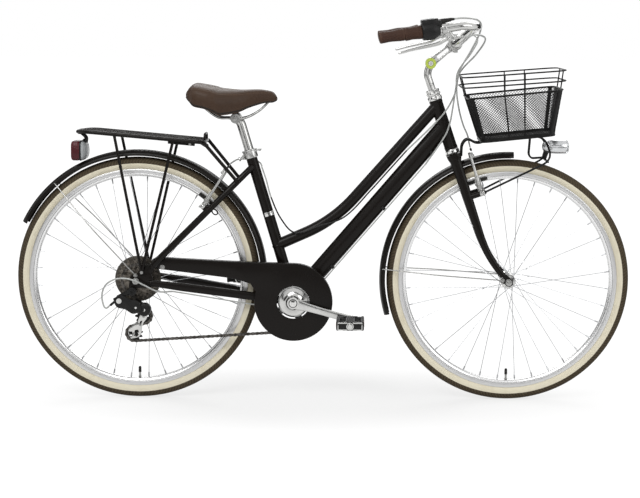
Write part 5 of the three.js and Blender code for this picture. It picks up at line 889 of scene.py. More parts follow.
bm = new_shape()
half = [(5.6, 46), (9, 46), (9.5, 45.4), (9.5, 37.4), (10.2, 37), (20.4, 36.2), (21, 35.6), (21, 32.6), (20.4, 32)]
half += [(15, 30), (12.4, 26), (11.6, 20), (11.2, 0)]
turned(bm, half + [(r, -y) for r, y in half[-2::-1]], FRONT, ACROSS, 56, ring=True)
piece("front_hub_shell", bm, "front_wheel", POLISHED, "aluminium", "front_hub")
bm = new_shape()
shell = [(5.6, 46), (9, 46), (9.4, 37.5), (29, 37.2), (30, 36.4), (30, 33.6), (29, 33), (22, 30), (18.6, 26)]
shell += [(17.6, 18), (17.4, 0), (17.6, -10), (20, -14), (29, -18), (30, -18.6), (30, -21.6), (29, -22.4)]
turned(bm, shell + [(16.4, -23), (16.4, -60), (5.6, -60)], REAR, ACROSS, 56, ring=True)
piece("rear_hub_shell", bm, "rear_wheel", POLISHED, "aluminium", "rear_hub")
bm = new_shape()
dish = [(17, -25.8), (30, -25.8), (62, -25.4), (65, -25.8), (66, -25), (65, -24.2), (62, -24.2), (30, -24.4)]
turned(bm, dish + [(17, -24.4)], REAR, ACROSS, 72, ring=True)
piece("spoke_guard_disc", bm, "rear_wheel", SMOKE, "black_plastic")
for end, centre, flange, left, right in (("front", FRONT, 21, 34, 34), ("rear", REAR, 30, 35, 20)):
    bm = new_shape()
    spokes(bm, centre, flange, left, right)
    piece(end + "_spokes", bm, end + "_wheel", SPOKE, "steel")

AXLES = (("front", FRONT, "fork", 50, 5, {-1: 46, 1: 46}), ("rear", REAR, "frame", 67, 6, {-1: 60, 1: 46}))
for end, centre, body, fork_end, thick, cones in AXLES:
    bm = new_shape()
    start = fork_end + thick + 0.3
    disc(bm, centre, -start - 12, start + 12, 4.8, steps=24)
    for side, cone in cones.items():
        disc(bm, centre, *span(side, cone + 0.3, fork_end - 0.3), 8.8)
        washer(bm, centre, *span(side, start, start + 1.6), 5.2, 9.6)
        nut(bm, centre, *span(side, start + 1.6, start + 8.3), 8.9)
    piece(end + "_axle_set", bm, body, STEEL, "steel", end + "_axle", bevel=0.5)

# Drive train: the chain's course round the four toothed wheels, measured in links

CHAIN_LINE, NOMINAL_PITCH = -44.0, 12.7
guide, tension = REAR + Vector((18.6, 0, -105)), REAR + Vector((-9.4, 0, -155))
wheels = {
    "sprocket": (REAR, 21, 1), "chainring": (BRACKET, 42, 1), "tension": (tension, 11, 1), "guide": (guide, 11, -1)
}


def pitch_radius(teeth, pitch):
    return pitch / (2 * sin(pi / teeth))


def course_of(pitch):
    """The legs of the chain's course, each with its start and length in links, and the links in all."""
    order, runs, legs, total = list(wheels.values()), [], [], 0.0
    for i, (centre, teeth, sense) in enumerate(order):
        beyond, next_teeth, next_sense = order[(i + 1) % 4]
        away = beyond - centre
        r1, r2 = sense * pitch_radius(teeth, pitch), next_sense * pitch_radius(next_teeth, pitch)
        angle = atan2(away.z, away.x) + asin((r2 - r1) / away.length)
        left = spot(degrees(angle) + 90)
        runs.append((angle, centre + left * r1, beyond + left * r2))
    for i, (centre, teeth, sense) in enumerate(order):
        arriving, leaving = runs[i - 1], runs[i]
        swept = (sense * (arriving[0] - leaving[0])) % tau
        wrapped = swept * teeth / tau
        legs.append((total, wrapped, "arc", centre, teeth, sense, arriving[0] + sense * pi / 2))
        total += wrapped
        straight = (leaving[2] - leaving[1]).length / pitch
        legs.append((total, straight, "run", leaving))
        total += straight
    return legs, total


pitch = NOMINAL_PITCH
legs, total = course_of(pitch)
links = 2 * round(total / 2)
for _ in range(12):
    pitch = pitch * total / links
    legs, total = course_of(pitch)


def on_course(where):
    where = where % links
    leg = next((leg for leg in legs if where < leg[0] + leg[1]), legs[-1])
    inside = where - leg[0]
    if leg[2] == "run":
        angle, start, _ = leg[3]
        return start + spot(degrees(angle)) * inside * pitch
    _, _, _, centre, teeth, sense, start = leg
    return centre + spot(degrees(start - sense * inside * tau / teeth)) * pitch_radius(teeth, pitch)


def gap_angle(name):
    """Where a toothed wheel's first hollow lies, so that the chain's rollers rest in its hollows."""
    first, _, _, _, teeth, sense, start = legs[2 * list(wheels).index(name)]
    return start + sense * first * tau / teeth


bm = new_shape()
for i in range(links):
    here, there = on_course(i), on_course(i + 1)
    way = (there - here).normalized()
    turn = Matrix((way, square_to(way), -ACROSS)).transposed().to_4x4()
    turn.translation = aside(here, CHAIN_LINE)
    length = (there - here).length
    outline = arc(4.1, range(90, 271, 45)) + [(length / 2, -3.1)]
    outline += [(length + a, b) for a, b in arc(4.1, range(-90, 91, 45))] + [(length / 2, 3.1)]
    near, far = (1.9, 2.7) if i % 2 else (3.0, 3.7)
    for side in (1, -1):
        plate(bm, [outline], *span(side, near, far), turn)
    for half_width, radius, sides in ((1.8, 3.6, 8), (4.1, 1.7, 6)):
        rod(bm, [aside(here, CHAIN_LINE - half_width), aside(here, CHAIN_LINE + half_width)], radius, sides)
piece("roller_chain", bm, "frame", CHAIN, "dark_steel", "chain")

# One tooth from hollow to tip: shares of half a tooth round the wheel, and reach from the rollers' circle
TOOTH = ((-0.42, -1.2), (-0.24, -3.655), (0, -4.3), (0.24, -3.655), (0.42, -1.2), (0.78, 2.4), (1, 3), (1.22, 2.4))


def toothed(teeth, first):
    """A toothed wheel's outline: a hollow for each roller between teeth with blunt tips."""
    radius, made = pitch_radius(teeth, pitch), []
    for i in range(teeth):
        for share, reach in TOOTH:
            angle = first + tau * i / teeth + pi / teeth * share
            made.append(((radius + reach) * cos(angle), (radius + reach) * sin(angle)))
    return made


bm = new_shape()
for i, teeth in enumerate((14, 16, 18, 21, 23, 25, 28)):
    middle = -(59 - 5 * i)
    loops = [toothed(teeth, gap_angle("sprocket") if teeth == 21 else 0.1 * i), circle((0, 0), 19, 36)]
    if teeth > 20:
        loops += [circle(hole, 3.4, 12) for hole in circle((0, 0), pitch_radius(teeth, pitch) - 10.5, 8)]
    plate(bm, [at_place(loop, REAR) for loop in loops], middle - 0.95, middle + 0.95)
    washer(bm, REAR, middle + 1, middle + 4, 18, 21.5)
washer(bm, REAR, -61.2, -59.9, 17, 22)
piece("sprocket_set", bm, "freewheel", SPROCKET, "dark_steel", "freewheel")

# Crank set
bm = new_shape()
loops = [toothed(42, gap_angle("chainring")), circle((0, 0), 16.6, 32)]
for i in range(5):
    start, end = 72 * (i + 0.16), 72 * (i + 0.84)
    slot = arc(68, [start + (end - start) * j / 8 for j in range(9)])
    slot += arc(45, [end - (end - start) * j / 6 for j in range(7)])
    loops.append(fillet_outline(slot, 3, 2))
plate(bm, [at_place(loop, BRACKET) for loop in loops], CHAIN_LINE - 1.1, CHAIN_LINE + 1.1)
piece("chainring_plate", bm, "crank", CAST, "aluminium", "chainring", bevel=0.3)
bm = new_shape()
disc(bm, BRACKET, -70, 70, 8, steps=24)
piece("crank_spindle", bm, "crank", STEEL, "steel", "bracket_axle")

CRANK_LENGTH, CRANK_ANGLE = 170, -15.4
# Along a crank arm: the share of its length, its depth, its thickness and its place across
ARM = [(-0.02, 33, 14, 67), (0.06, 32, 14, 67), (0.16, 27, 13.4, 67.5), (0.3, 23.5, 12.6, 68.6), (0.5, 21.5, 12, 70)]
ARM += [(0.75, 21.5, 11.6, 71.5), (0.9, 23, 12, 72), (1, 24, 12, 72)]
SPIDER = [(9, -45.5), (40, -45.5), (41, -46.4), (40, -48.6), (34, -49.6), (24, -52), (19, -58), (9, -58)]
for name, side in SIDES:
    way = spot(CRANK_ANGLE) * -side
    pedal = BRACKET + way * CRANK_LENGTH
    bm = new_shape()
    line = [aside(BRACKET + way * (CRANK_LENGTH * share), side * y) for share, _, _, y in ARM]
    sweep(bm, line, [boxed(thick, deep, 4, 4) for _, deep, thick, _ in ARM])
    disc(bm, BRACKET, *span(side, 57, 74.5), 19, steps=48, edge=2.5)
    disc(bm, pedal, *span(side, 66, 78), 12.2, edge=2)
    disc(bm, pedal, *span(side, 78, 182.9), 6.8, steps=24)
    if side < 0:
        turned(bm, SPIDER, BRACKET, ACROSS, 48, ring=True)
    piece("crank_arm_" + name, bm, "crank", POLISHED, "aluminium", "crank_" + name, smooth=45)
    cap = [(0, 73), (12.5, 73), (12.5, 74.8), (11, 75), (0, 75)]
    face = [(0, 74.6), (10.4, 74.6), (10.4, 76.4), (9.6, 77.2), (4, 77.6), (3.6, 76.2), (0, 76.2)]
    for part, profile, finish, slot in (("cap", cap, BLACK, "black_plastic"), ("bolt", face, CHROME, "chrome")):
        bm = new_shape()
        turned(bm, [(r, side * y) for r, y in profile], BRACKET, ACROSS, 36)
        piece(f"crank_{part}_{name}", bm, "crank", finish, slot)
    bm = new_shape()
    centre = aside(pedal, side * 130)
    loops = [fillet_outline([(-39, -47), (39, -47), (39, 47), (-39, 47)], 9)]
    loops += [fillet_outline([(a * 12.5, -37), (a * 30, -37), (a * 30, 37), (a * 12.5, 37)], 4) for a in (-1, 1)]
    plate(bm, loops, -10.5, 10.5, Matrix.Translation(centre))
    for a in (-1, 1):
        for b in range(6):
            block(bm, centre + Vector((a * 34.4, -37 + b * 14.8, 0)), (6.4, 8, 26.4))
        for b in range(4):
            block(bm, centre + Vector((a * 21, -30 + b * 20, 0)), (18, 3, 15))
        block(bm, centre + Vector((0, a * 42, 0)), (40, 7, 25))
    for b in range(7):
        block(bm, centre + Vector((0, -33 + b * 11, 0)), (20, 5, 26.8))
    piece("pedal_body_" + name, bm, "pedal_" + name, BLACK, "black_plastic", "pedal_" + name, bevel=0.8)
    bm = new_shape()
    for a in (-1, 1):
        for up in (-9.6, 9.6):
            block(bm, centre + Vector((a * 20, side * 47.4, up)), (25, 1.2, 3.4))
        block(bm, centre + Vector((a * 33.4, side * 47.4, 0)), (2.4, 1.2, 22))
    washer(bm, pedal, *span(side, 177.2, 179), 6.9, 10.5, steps=28)
    piece("pedal_trim_" + name, bm, "pedal_" + name, POLISHED, "aluminium", bevel=0.4)
    bm = new_shape()
    for a in (-1, 1):
        block(bm, centre + Vector((a * 38.9, 0, 0)), (1.6, 48, 12))
    piece("pedal_reflectors_" + name, bm, "pedal_" + name, AMBER, "tail_lens", bevel=0.6)

# Chain case: a pan round the chainring and the chain's upper run, open towards the wheel
bm = new_shape()
outline = [(-391, 125), (-388, 127), (-174, 117)] + arc(112, range(92, -197, -6))
outline += [(-122, 52), (-142, 59), (-174, 68), (-388, 94), (-391, 96)]
rims = []
for loop in (outline, circle((0, 0), 47, 56)):
    verts = [bm.verts.new((a, -57, b)) for a, b in at_place(loop, BRACKET)]
    rims.append([bm.edges.new(pair) for pair in zip(verts, verts[1:] + verts[:1])])
bmesh.ops.triangle_fill(bm, edges=rims[0] + rims[1], use_beauty=True)
for rim, depth in zip(rims, (17.9, 3.5)):
    raised = bmesh.ops.extrude_edge_only(bm, edges=rim)["geom"]
    bmesh.ops.translate(bm, verts=[g for g in raised if isinstance(g, bmesh.types.BMVert)], vec=(0, depth, 0))
bmesh.ops.bevel(bm, geom=rims[0], offset=5, affect="EDGES", segments=4, profile=0.5, material=-1, clamp_overlap=True)
bmesh.ops.recalc_face_normals(bm, faces=bm.faces)
if sum(face.normal.y * face.calc_area() for face in bm.faces) > 0:
    bmesh.ops.reverse_faces(bm, faces=bm.faces)
case = piece("chain_case_pan", bm, "frame", PAINT, "paint", "chain_case", open_sheet=True)
wall = case.modifiers.new("wall", "SOLIDIFY")
wall.thickness, wall.offset, wall.use_even_offset = 0.0018, -1, True
bm = new_shape()
washer(bm, BRACKET, -58.0, -56.4, 49, 52, steps=72, edge=0.7)
piece("chain_case_beads", bm, "frame", PAINT, "paint")
bm = new_shape()
screw = Vector((-457, -57, 387))
bolt(bm, screw, -ACROSS, -1, 2.6, 5)
washer(bm, screw, -0.8, 0.2, 3, 7, -ACROSS)
piece("chain_case_screws", bm, "frame", STEEL, "steel")

# Mudguards

GUARD_HALF, SKIRT, GUARD_RISE, GUARD_WALL, BEAD = 25, 353.6, 16.4, 1.6, 354.2


def guard(bm, centre, low, high, steps):
    """A mudguard's blade from one angle to another round a wheel, with a bead along each edge."""
    leans = [radians(t) for t in range(-90, 91, 10)]
    outer = [(GUARD_HALF * sin(t), SKIRT + GUARD_RISE * max(cos(t), 0) ** 0.8) for t in leans]
    section = outer + [(y * 0.93, r - GUARD_WALL if r > SKIRT + 2 else r + 0.3) for y, r in outer[::-1]]
    count = len(section)

    def place(u, v):
        y, r = section[round(v * count) % count]
        tip = min(u, 1 - u) * (high - low)
        inset = 1 - max(0, 1 - tip / 1.5) ** 2 * 0.25
        return centre + spot(low + (high - low) * u) * r + ACROSS * (y * inset)

    skin(bm, place, steps, count)
    for side in (-1, 1):
        edge = [centre + spot(low + (high - low) * i / steps) * BEAD for i in range(1, steps)]
        rod(bm, [aside(point, side * 24.4) for point in edge], 1.3, 8)


def guard_wires(centre, angle, end, name, body):
    """The two wires that hold a mudguard at an angle, each with its bolt at the fork end."""
    bm = new_shape()
    for side in (-1, 1):
        foot = centre + aside(end, side * end.y)
        grip = centre + spot(angle) * 356 + ACROSS * (side * 24.4)
        bend = aside(foot.lerp(grip, 0.55), foot.y)
        rod(bm, rounded([grip + spot(angle) * 6, grip, bend, foot], 40, 6), 1.7, 10)
        washer(bm, aside(foot, 0), foot.y - 1.7, foot.y + 1.7, 2.5, 5.5, steps=20)
        bolt(bm, foot, ACROSS * side, 0, 6.5, 4.2)
    piece(name, bm, body, STEEL, "steel")


bm = new_shape()
guard(bm, REAR, -3, 154, 96)
piece("rear_guard_blade", bm, "frame", GUARD, "paint", "rear_mudguard")
guard_wires(REAR, 131, Vector((0, 75, 17)), "rear_guard_wires", "frame")
bm = new_shape()
guard(bm, FRONT, 88, 196.5, 72)
rod(bm, [FRONT + (on_steer(38.9) - FRONT).normalized() * 368.4, on_steer(38.9)], 5, 16)
piece("front_guard_blade", bm, "fork", GUARD, "paint", "front_mudguard")
guard_wires(FRONT, 175, Vector((-17, 57, 6)), "front_guard_wires", "fork")

# Luggage rack
RACK, LEG = 62, 78
rack_rear, rack_shoulder, rack_front = Vector((-700, 0, 770)), Vector((-668, 0, 772)), Vector((-338, 0, 744))


def on_rack(share, y, above=0):
    return aside(rack_front.lerp(rack_shoulder, share), y) + UP * above


bm = new_shape()
half = [(rack_front, RACK), (rack_shoulder, RACK), (rack_rear, 34)]
loop = [aside(place, -y) for place, y in half] + [aside(place, y) for place, y in half[::-1]]
rod(bm, rounded(loop, 22, 8, loop=True), 5.5, 20, loop=True)
for share in (0.02, 0.34, 0.66, 0.985):
    rod(bm, [on_rack(share, -RACK), on_rack(share, RACK)], 3, 12)
for y in (-22.3, 22.3):
    rod(bm, [on_rack(0, y), aside(rack_rear, y)], 3, 12)
stop = [aside(rack_front, y) + UP * above for y, above in ((-31, 0), (-31, 22), (31, 22), (31, 0))]
rod(bm, rounded(stop, 11, 6), 3.4, 12)
nose = seat_waist[1].lerp(seat_top[1], 0.3)
for side in (-1, 1):
    washer(bm, eyelet, *span(side, 73.3, 76.3), 2.5, 7.5, steps=24)
    for top_x, top_z in ((-590, 763), (-424, 749)):
        top_end, low_end = Vector((top_x, side * RACK, top_z)), aside(eyelet, side * LEG)
        bend = aside(low_end.lerp(top_end, 0.16), side * LEG)
        rod(bm, rounded([top_end, bend, low_end], 20, 5), 4.2, 16)
        washer(bm, eyelet, *span(side, 76.3, 79.5), 2.5, 7.5, steps=24)
    outside = nose.y + 14.3
    rod(bm, [aside(rack_front, side * RACK), aside(nose, side * outside)], 5, 16)
    disc(bm, aside(nose, 0), *span(side, outside - 3, outside + 5), 7)
piece("rack_frame", bm, "frame", PAINT, "paint", "luggage_rack")
bm = new_shape()
for y in range(-48, 49, 12):
    rod(bm, [on_rack(0.01, y, 2.5), on_rack(0.995, y, 2.5), aside(rack_rear, y * 0.62) + UP], 2.6, 10)
for side in (-1, 1):
    sweep(bm, [on_rack(0.31, side * 46, -9), on_rack(0.08, side * 46, -9)], boxed(9, 9, 2.5))
for share in (0.1, 0.2, 0.3):
    rod(bm, [on_rack(share, -50, -9), on_rack(share, 50, -9)], 3.4, 10)
catch = [on_rack(0.04, -30, -5), on_rack(-0.01, -30, -14), on_rack(-0.01, 30, -14), on_rack(0.04, 30, -5)]
rod(bm, rounded(catch, 6, 4), 2.6, 10)
piece("rack_deck", bm, "frame", PAINT, "paint")
bm = new_shape()
for side in (-1, 1):
    bolt(bm, aside(eyelet, side * 79), ACROSS * side, 0, 5, 4.6)
    bolt(bm, on_rack(0.12, side * 50.5, -9), ACROSS * side, 0, 3.4, 4)
piece("rack_bolts", bm, "frame", STEEL, "steel")

# Tail light

TAIL_HEIGHT = 715


def along_lamp(bm, places, sizes):
    sweep(bm, [Vector((x, 0, TAIL_HEIGHT)) for x in places], [boxed(*size, 5) for size in sizes])


bm = new_shape()
cover_sizes = ((60, 48, 12), (65, 53, 13), (68, 56, 13), (68, 56, 13), (66, 54, 13))
along_lamp(bm, (-718.5, -717, -713, -700, -695), cover_sizes)
piece("tail_lens_cover", bm, "frame", RED_LENS, "tail_lens", "tail_light")
bm = new_shape()
along_lamp(bm, (-695, -694, -691, -690), ((66, 54, 13), (69, 57, 13), (69, 57, 13), (66, 54, 13)))
piece("tail_lamp_rim", bm, "frame", BLACK, "black_plastic")
bm = new_shape()
along_lamp(bm, (-690, -684, -679, -675, -673), ((66, 54, 12), (65, 53, 12), (58, 46, 12), (46, 34, 12), (30, 20, 12)))
piece("tail_lamp_body", bm, "frame", PALE_LENS, "lens")
bm = new_shape()
for side in (-1, 1):
    rod(bm, rounded([Vector((x, side * 14, z)) for x, z in ((-682, 728), (-678, 752), (-694, 766))], 8, 5), 2.8, 12)
block(bm, Vector((-684, 0, 741)), (4, 40, 16))
block(bm, Vector((-694, 0, 765)), (10, 44, 5))
piece("tail_lamp_bracket", bm, "frame", BLACK, "black_plastic", bevel=0.8)

# Seat post and saddle
clamp = Vector((-251, 0, 811))
bm = new_shape()
rod(bm, rounded([on_seat(291.8), on_seat(532), clamp], 24, 10), 13.6, 36)
piece("seat_post_tube", bm, "seat_post", DRAWN, "aluminium", "seat_post")
bm = new_shape()
disc(bm, clamp, -27, 27, 15, steps=36, edge=1.5)
RAIL_WAY = ((-365, 34, 868), (-335, 30, 838), (-300, 24, 813), (-275, 22, 811), (-228, 22, 811))
RAIL_WAY += ((-185, 14, 832), (-152, 6, 864))
for side in (-1, 1):
    nut(bm, clamp, *span(side, 27, 34), 7.5)
    rod(bm, through([Vector((x, side * y, z)) for x, y, z in RAIL_WAY], 6), 3.5, 16)
rod(bm, [Vector((-152, -6, 863.5)), Vector((-150, 0, 865)), Vector((-152, 6, 863.5))], 3.5, 12)
piece("saddle_rail_set", bm, "saddle", STEEL, "steel", "saddle_rails", bevel=0.5)
bm = new_shape()
line = [Vector((x, 0, z)) for x, z in ((-372, 862), (-366, 857), (-352, 853), (-346, 853))]
sweep(bm, line, [boxed(*size, 4, 4) for size in ((40, 12), (48, 16), (48, 14), (40, 8))])
piece("saddle_buffer", bm, "saddle", RUBBER, "black_plastic")

# Along the saddle from its rear: shares of its length, of its height at top and skirt, and of its half width
SADDLE_ROWS = [
    (0.008, 0.708, 0.55, 0.45),
    (0.065, 0.9, 0.416, 0.78),
    (0.118, 0.995, 0.281, 0.92),
    (0.228, 0.955, 0.213, 1),
    (0.327, 0.9, 0.101, 0.98),
    (0.399, 0.843, 0.005, 0.88),
    (0.574, 0.798, 0.079, 0.56),
    (0.684, 0.8, 0.213, 0.4),
    (0.772, 0.81, 0.303, 0.32),
    (0.863, 0.79, 0.377, 0.26),
    (0.947, 0.73, 0.393, 0.21),
    (0.996, 0.57, 0.438, 0.12),
]
HALF_SECTION = [(-0.3, 0.42), (-0.78, 0.3), (-0.9, 0.02), (-0.98, 0.08), (-1, 0.5), (-0.88, 0.8), (-0.5, 0.97)]
HALF_SECTION.append((0, 1))
SECTION = HALF_SECTION + [(-a, b) for a, b in HALF_SECTION[-2::-1]]
SADDLE_REAR, SADDLE_FLOOR, SADDLE_LENGTH, SADDLE_HEIGHT, SADDLE_HALF = -395, 821, 263, 89, 91


def saddle_point(u, v):
    along, top, low, half = eased(SADDLE_ROWS, u * 11)
    across, up = eased(SECTION, v * 14)
    end = min(u, 1 - u) * 11
    draw = sqrt(1 - (1 - min(end / 0.9, 1)) ** 2)
    height = low + (top - low) * 0.6
    height += (low + (top - low) * up - height) * (0.25 + 0.75 * draw)
    y = SADDLE_HALF * half * across * (0.15 + 0.85 * draw)
    return Vector((SADDLE_REAR + SADDLE_LENGTH * along, y, SADDLE_FLOOR + SADDLE_HEIGHT * height))


bm = new_shape()
skin(bm, saddle_point, 88, 70)
saddle = piece("saddle_cover", bm, "saddle", LEATHER, "saddle", "saddle", smooth=60)
bm = new_shape()
for share in (3 / 14, 11 / 14):
    rod(bm, [saddle_point(i / 70, share) for i in range(2, 69)], 1.6, 8)
piece("saddle_edge", bm, "saddle", RUBBER, "black_plastic")

# Stem
PIVOT = Vector((303, 0, 970.5))
rise = spot(39.5)
BAR = PIVOT + rise * 89.5
bm = new_shape()
bend = on_steer(-225)
rod(bm, rounded([on_steer(-104), bend, PIVOT - (PIVOT - bend).normalized() * 8], 34, 12), 11, 32)
disc(bm, PIVOT, -8, 8, 15.5, steps=48, edge=1)
disc(bm, PIVOT, -19, 19, 4)
piece("quill_post", bm, "quill", POLISHED, "aluminium", "stem_quill")
bm = new_shape()
for side in (-1, 1):
    washer(bm, PIVOT, *span(side, 17.3, 20), 8, 15.5, steps=48)
piece("stem_pivot_rings", bm, "quill", LIME, "aluminium")
bm = new_shape()
for side in (-1, 1):
    bolt(bm, PIVOT, ACROSS * side, 17.3, 21, 7.6)
piece("stem_pivot_bolt", bm, "quill", CHROME, "chrome")


def on_arm(places):
    """Places along and above the stem's arm, as places forward and up."""
    points = [PIVOT + rise * along + square_to(rise) * high for along, high in places]
    return [(point.x, point.z) for point in points]


EYE_SIDE = [(30, -10.5), (55, -9.5), (74, -14), (89, -20), (104, -14), (109, 0), (104, 14), (89, 20), (74, 14)]
outline = on_arm(arc(15.5, range(115, 246, 10)) + EYE_SIDE + [(55, 10.5), (30, 12)])
window = fillet_outline(on_arm([(24, -5), (58, -4.5), (64, -5), (64, 5), (58, 5), (24, 6)]), 4, 4)
bm = new_shape()
for side in (-1, 1):
    loops = [outline, window, on_arm(round_section(4.4, 16)), at_place(round_section(13, 32), BAR)]
    plate(bm, loops, *span(side, 8.4, 17))
washer(bm, BAR, -22, 22, 13, 20, steps=48, edge=1.6)
lug = BAR - UP * 22
block(bm, BAR - UP * 21, (14, 26, 10))
disc(bm, lug, -14, 14, 4.6)
bolt(bm, lug, -ACROSS, 13, 17, 4.4)
nut(bm, lug, 13, 17, 5)
piece("stem_arms", bm, "handlebar", POLISHED, "aluminium", "stem_extension", bevel=1.0)

# Handlebar: its half ahead of, beside and above its middle
HALF_BAR = [(0, 0, 0), (0, 29, 0), (8, 60, 4), (28, 112, 25), (46, 165, 43), (49, 208, 48), (33, 240, 49)]
HALF_BAR += [(8, 253, 50), (-27, 258.5, 45), (-217, 285, 17)]
BORE = 11.4
bar_line, bar_tip, bar_way = {}, {}, {}
for side in (-1, 1):
    points = [BAR + Vector((x, side * y, z)) for x, y, z in HALF_BAR]
    bar_line[side] = through(points[:-1], 6)[:-1] + [points[-2].lerp(points[-1], i / 12) for i in range(13)]
    bar_tip[side], bar_way[side] = points[-1], (points[-2] - points[-1]).normalized()

bm = new_shape()
whole = bar_line[-1][::-1] + bar_line[1][1:]
rod(bm, whole, [12.7 if abs(p.y) < 28 else 11.1 + 1.6 * max(0, 1 - (abs(p.y) - 28) / 14) for p in whole], 28)
piece("handlebar_tube", bm, "handlebar", POLISHED, "aluminium", "handlebar")


def on_bar(along, side, above=0):
    return bar_tip[side] + bar_way[side] * along + UP * above


def sleeve(bm, side, stations, steps):
    """A sleeve on the bar's straight end through stations of place along the bar and radius."""
    profile = [(BORE, stations[0][0])] + [(r, a) for a, r in stations] + [(BORE, stations[-1][0])]
    turned(bm, profile, bar_tip[side], bar_way[side], steps, ring=True)


def grip_sleeve(name, side, low, high, body, radii, node):
    """A moulded grip through evenly spaced radii, a little fuller towards the palm."""
    bm = new_shape()
    count = len(radii) - 1
    stations = [(low + (high - low) * i / count, r) for i, r in enumerate(radii)]
    curve = [tuple(eased(stations, count * i / 36)) for i in range(37)]
    rows = [(low, BORE), (low, curve[0][1] - 1.5)] + [(a, r) for a, r in curve if low + 1.2 < a < high - 1.2]
    rows += [(high, curve[-1][1] - 1.5), (high, BORE)]
    frames = facing(bar_tip[side], bar_way[side])

    def ring(along, radius, v):
        angle = tau * (round(v * 32) % 32) / 32
        if radius > 12:
            radius *= 1 + 0.05 * sin(angle * 2)
        return frames @ Vector((radius * cos(angle), radius * sin(angle), along))

    skin(bm, lambda u, v: ring(*rows[round(u * (len(rows) - 1))], v), len(rows) - 1, 32, caps=False)
    skin(bm, lambda u, v: ring(high if round(u) else low, BORE, v), 1, 32, caps=False)
    piece(name, bm, body, GRIP, "grip", node)


grip_sleeve("grip_cover_right", -1, 0, 68, "handlebar", [16, 15.4, 14.6, 15.2, 16.2, 16.4], "grip_right")
grip_sleeve("grip_cover_left", 1, 0, 122, "handlebar", [16, 15, 14.6, 15.6, 16.4, 15.4, 14.8, 16, 18.6], "grip_left")
grip_sleeve("twist_cover", -1, 68.3, 115.3, "shifter", [18, 17.6, 16.8, 17.2, 18, 18.6], "twist_grip")
bm = new_shape()
for side in (-1, 1):
    turned(bm, [(0, -1.2), (10, -1), (13, 0), (13.6, 1.6), (0, 1.6)], bar_tip[side], bar_way[side], 32)
piece("bar_end_plugs", bm, "handlebar", GRIP, "grip")

# Shifter
bm = new_shape()
sleeve(bm, -1, [(115.8, 21), (117, 23.4), (120, 24), (146, 24), (152, 22.6), (158, 19.4), (165.4, 16)], 40)
bar_across = UP.cross(bar_way[-1]).normalized()
bar_turn = Matrix((bar_way[-1], bar_across, bar_way[-1].cross(bar_across))).transposed()
block(bm, on_bar(137, -1, 21), (44, 34, 20), bar_turn)
block(bm, on_bar(152, -1, 16), (34, 26, 18), bar_turn)
rod(bm, [on_bar(150, -1, 17), on_bar(164, -1, 20), on_bar(168.3, -1, 20)], [8, 7.4, 6.6], 16)
block(bm, on_bar(140, -1, -21), (24, 16, 8), bar_turn)
piece("shifter_case", bm, "handlebar", BLACK, "black_plastic", "shifter_housing", bevel=3.4)
bm = new_shape()
boot = [on_bar(166, -1, 20), on_bar(172, -1, 20.6)]
boot += [Vector(place) for place in ((336, -258.4, 1092.5), (347, -255.3, 1095.4), (356, -252.2, 1096.2))]
rod(bm, boot, [7.4, 7.2, 5.6, 4.2, 3.2], 16)
boot_way = (boot[4] - boot[1]).normalized()
for share in (0.2, 0.36, 0.52, 0.68):
    edge = 7.4 - 4 * share
    rib = [(4, -1), (edge, -1), (edge + 0.4, 0), (edge, 1), (4, 1)]
    turned(bm, rib, boot[1].lerp(boot[4], share), boot_way, 16, ring=True)
piece("shifter_boot", bm, "handlebar", RUBBER, "black_plastic")
bm = new_shape()
block(bm, on_bar(132, -1, 31.4), (30, 22, 3), bar_turn)
rod(bm, [on_bar(119, -1, 30), on_bar(112, -1, 31.5)], 1.6, 8)
piece("shifter_window", bm, "handlebar", WINDOW, "lens", bevel=0.9)

# Brake levers
lever_middle = {s: on_bar(176.6, s) for s in (-1, 1)}
lever_pivot = {s: lever_middle[s] + Vector((14, 0, -24)) for s in (-1, 1)}
adjuster_reach = Vector((28, 0, 3))
BLADE = [(330, 1040), (312, 1030), (274, 1021), (240, 1013), (209, 1004)]
for name, side in SIDES:
    centre, pivot = lever_middle[side], lever_pivot[side]
    bm = new_shape()
    sleeve(bm, side, [(169.8, 14.6), (170.6, 15.8), (182.4, 15.8), (183.2, 14.6)], 36)
    hood = [centre + AHEAD * 6 - UP * 8, centre + AHEAD * 12 - UP * 15, pivot + AHEAD * 5, pivot + AHEAD * 3 - UP * 7]
    sweep(bm, hood, [boxed(13, 18, 4), boxed(15, 23, 5), boxed(16, 23, 5), boxed(15, 16, 5)])
    root = pivot + AHEAD * 13
    tip = root + adjuster_reach
    rod(bm, [root.lerp(tip, share) for share in (0, 0.35, 0.4, 1)], [4.6, 4.4, 3.6, 3.2], 20)
    for share in (0.5, 0.6, 0.7, 0.8):
        rod(bm, [root.lerp(tip, share), root.lerp(tip, share + 0.05)], 4.3, 20)
    bolt(bm, pivot, -ACROSS, 7, 9.4, 4)
    piece("lever_mount_" + name, bm, "handlebar", CAST, "aluminium", "lever_bracket_" + name, bevel=0.8)
    bm = new_shape()
    blade = [(pivot.x, pivot.z)] + BLADE
    line = through([Vector((x, pivot.y + side * max(pivot.x - 14 - x, 0) * 0.139, z)) for x, z in blade], 5)
    line += [line[-1] + (line[-1] - line[-2]).normalized() * past for past in (1.5, 2.6)]
    sections = []
    for i in range(len(line)):
        t = i / (len(line) - 1)
        shrink = sqrt(max(0.05, 1 - max(0, (t - 0.95) / 0.05) ** 2))
        sections.append(boxed((8.4 + 3 * min(t * 1.6, 1)) * shrink, (12 - 6 * t) * shrink, 2.6, 3))
    sweep(bm, line, sections)
    disc(bm, pivot, -4.4, 4.4, 7, steps=28, edge=1)
    piece("lever_blade_" + name, bm, "brake_lever_" + name, POLISHED, "aluminium", "brake_lever_" + name, smooth=45)

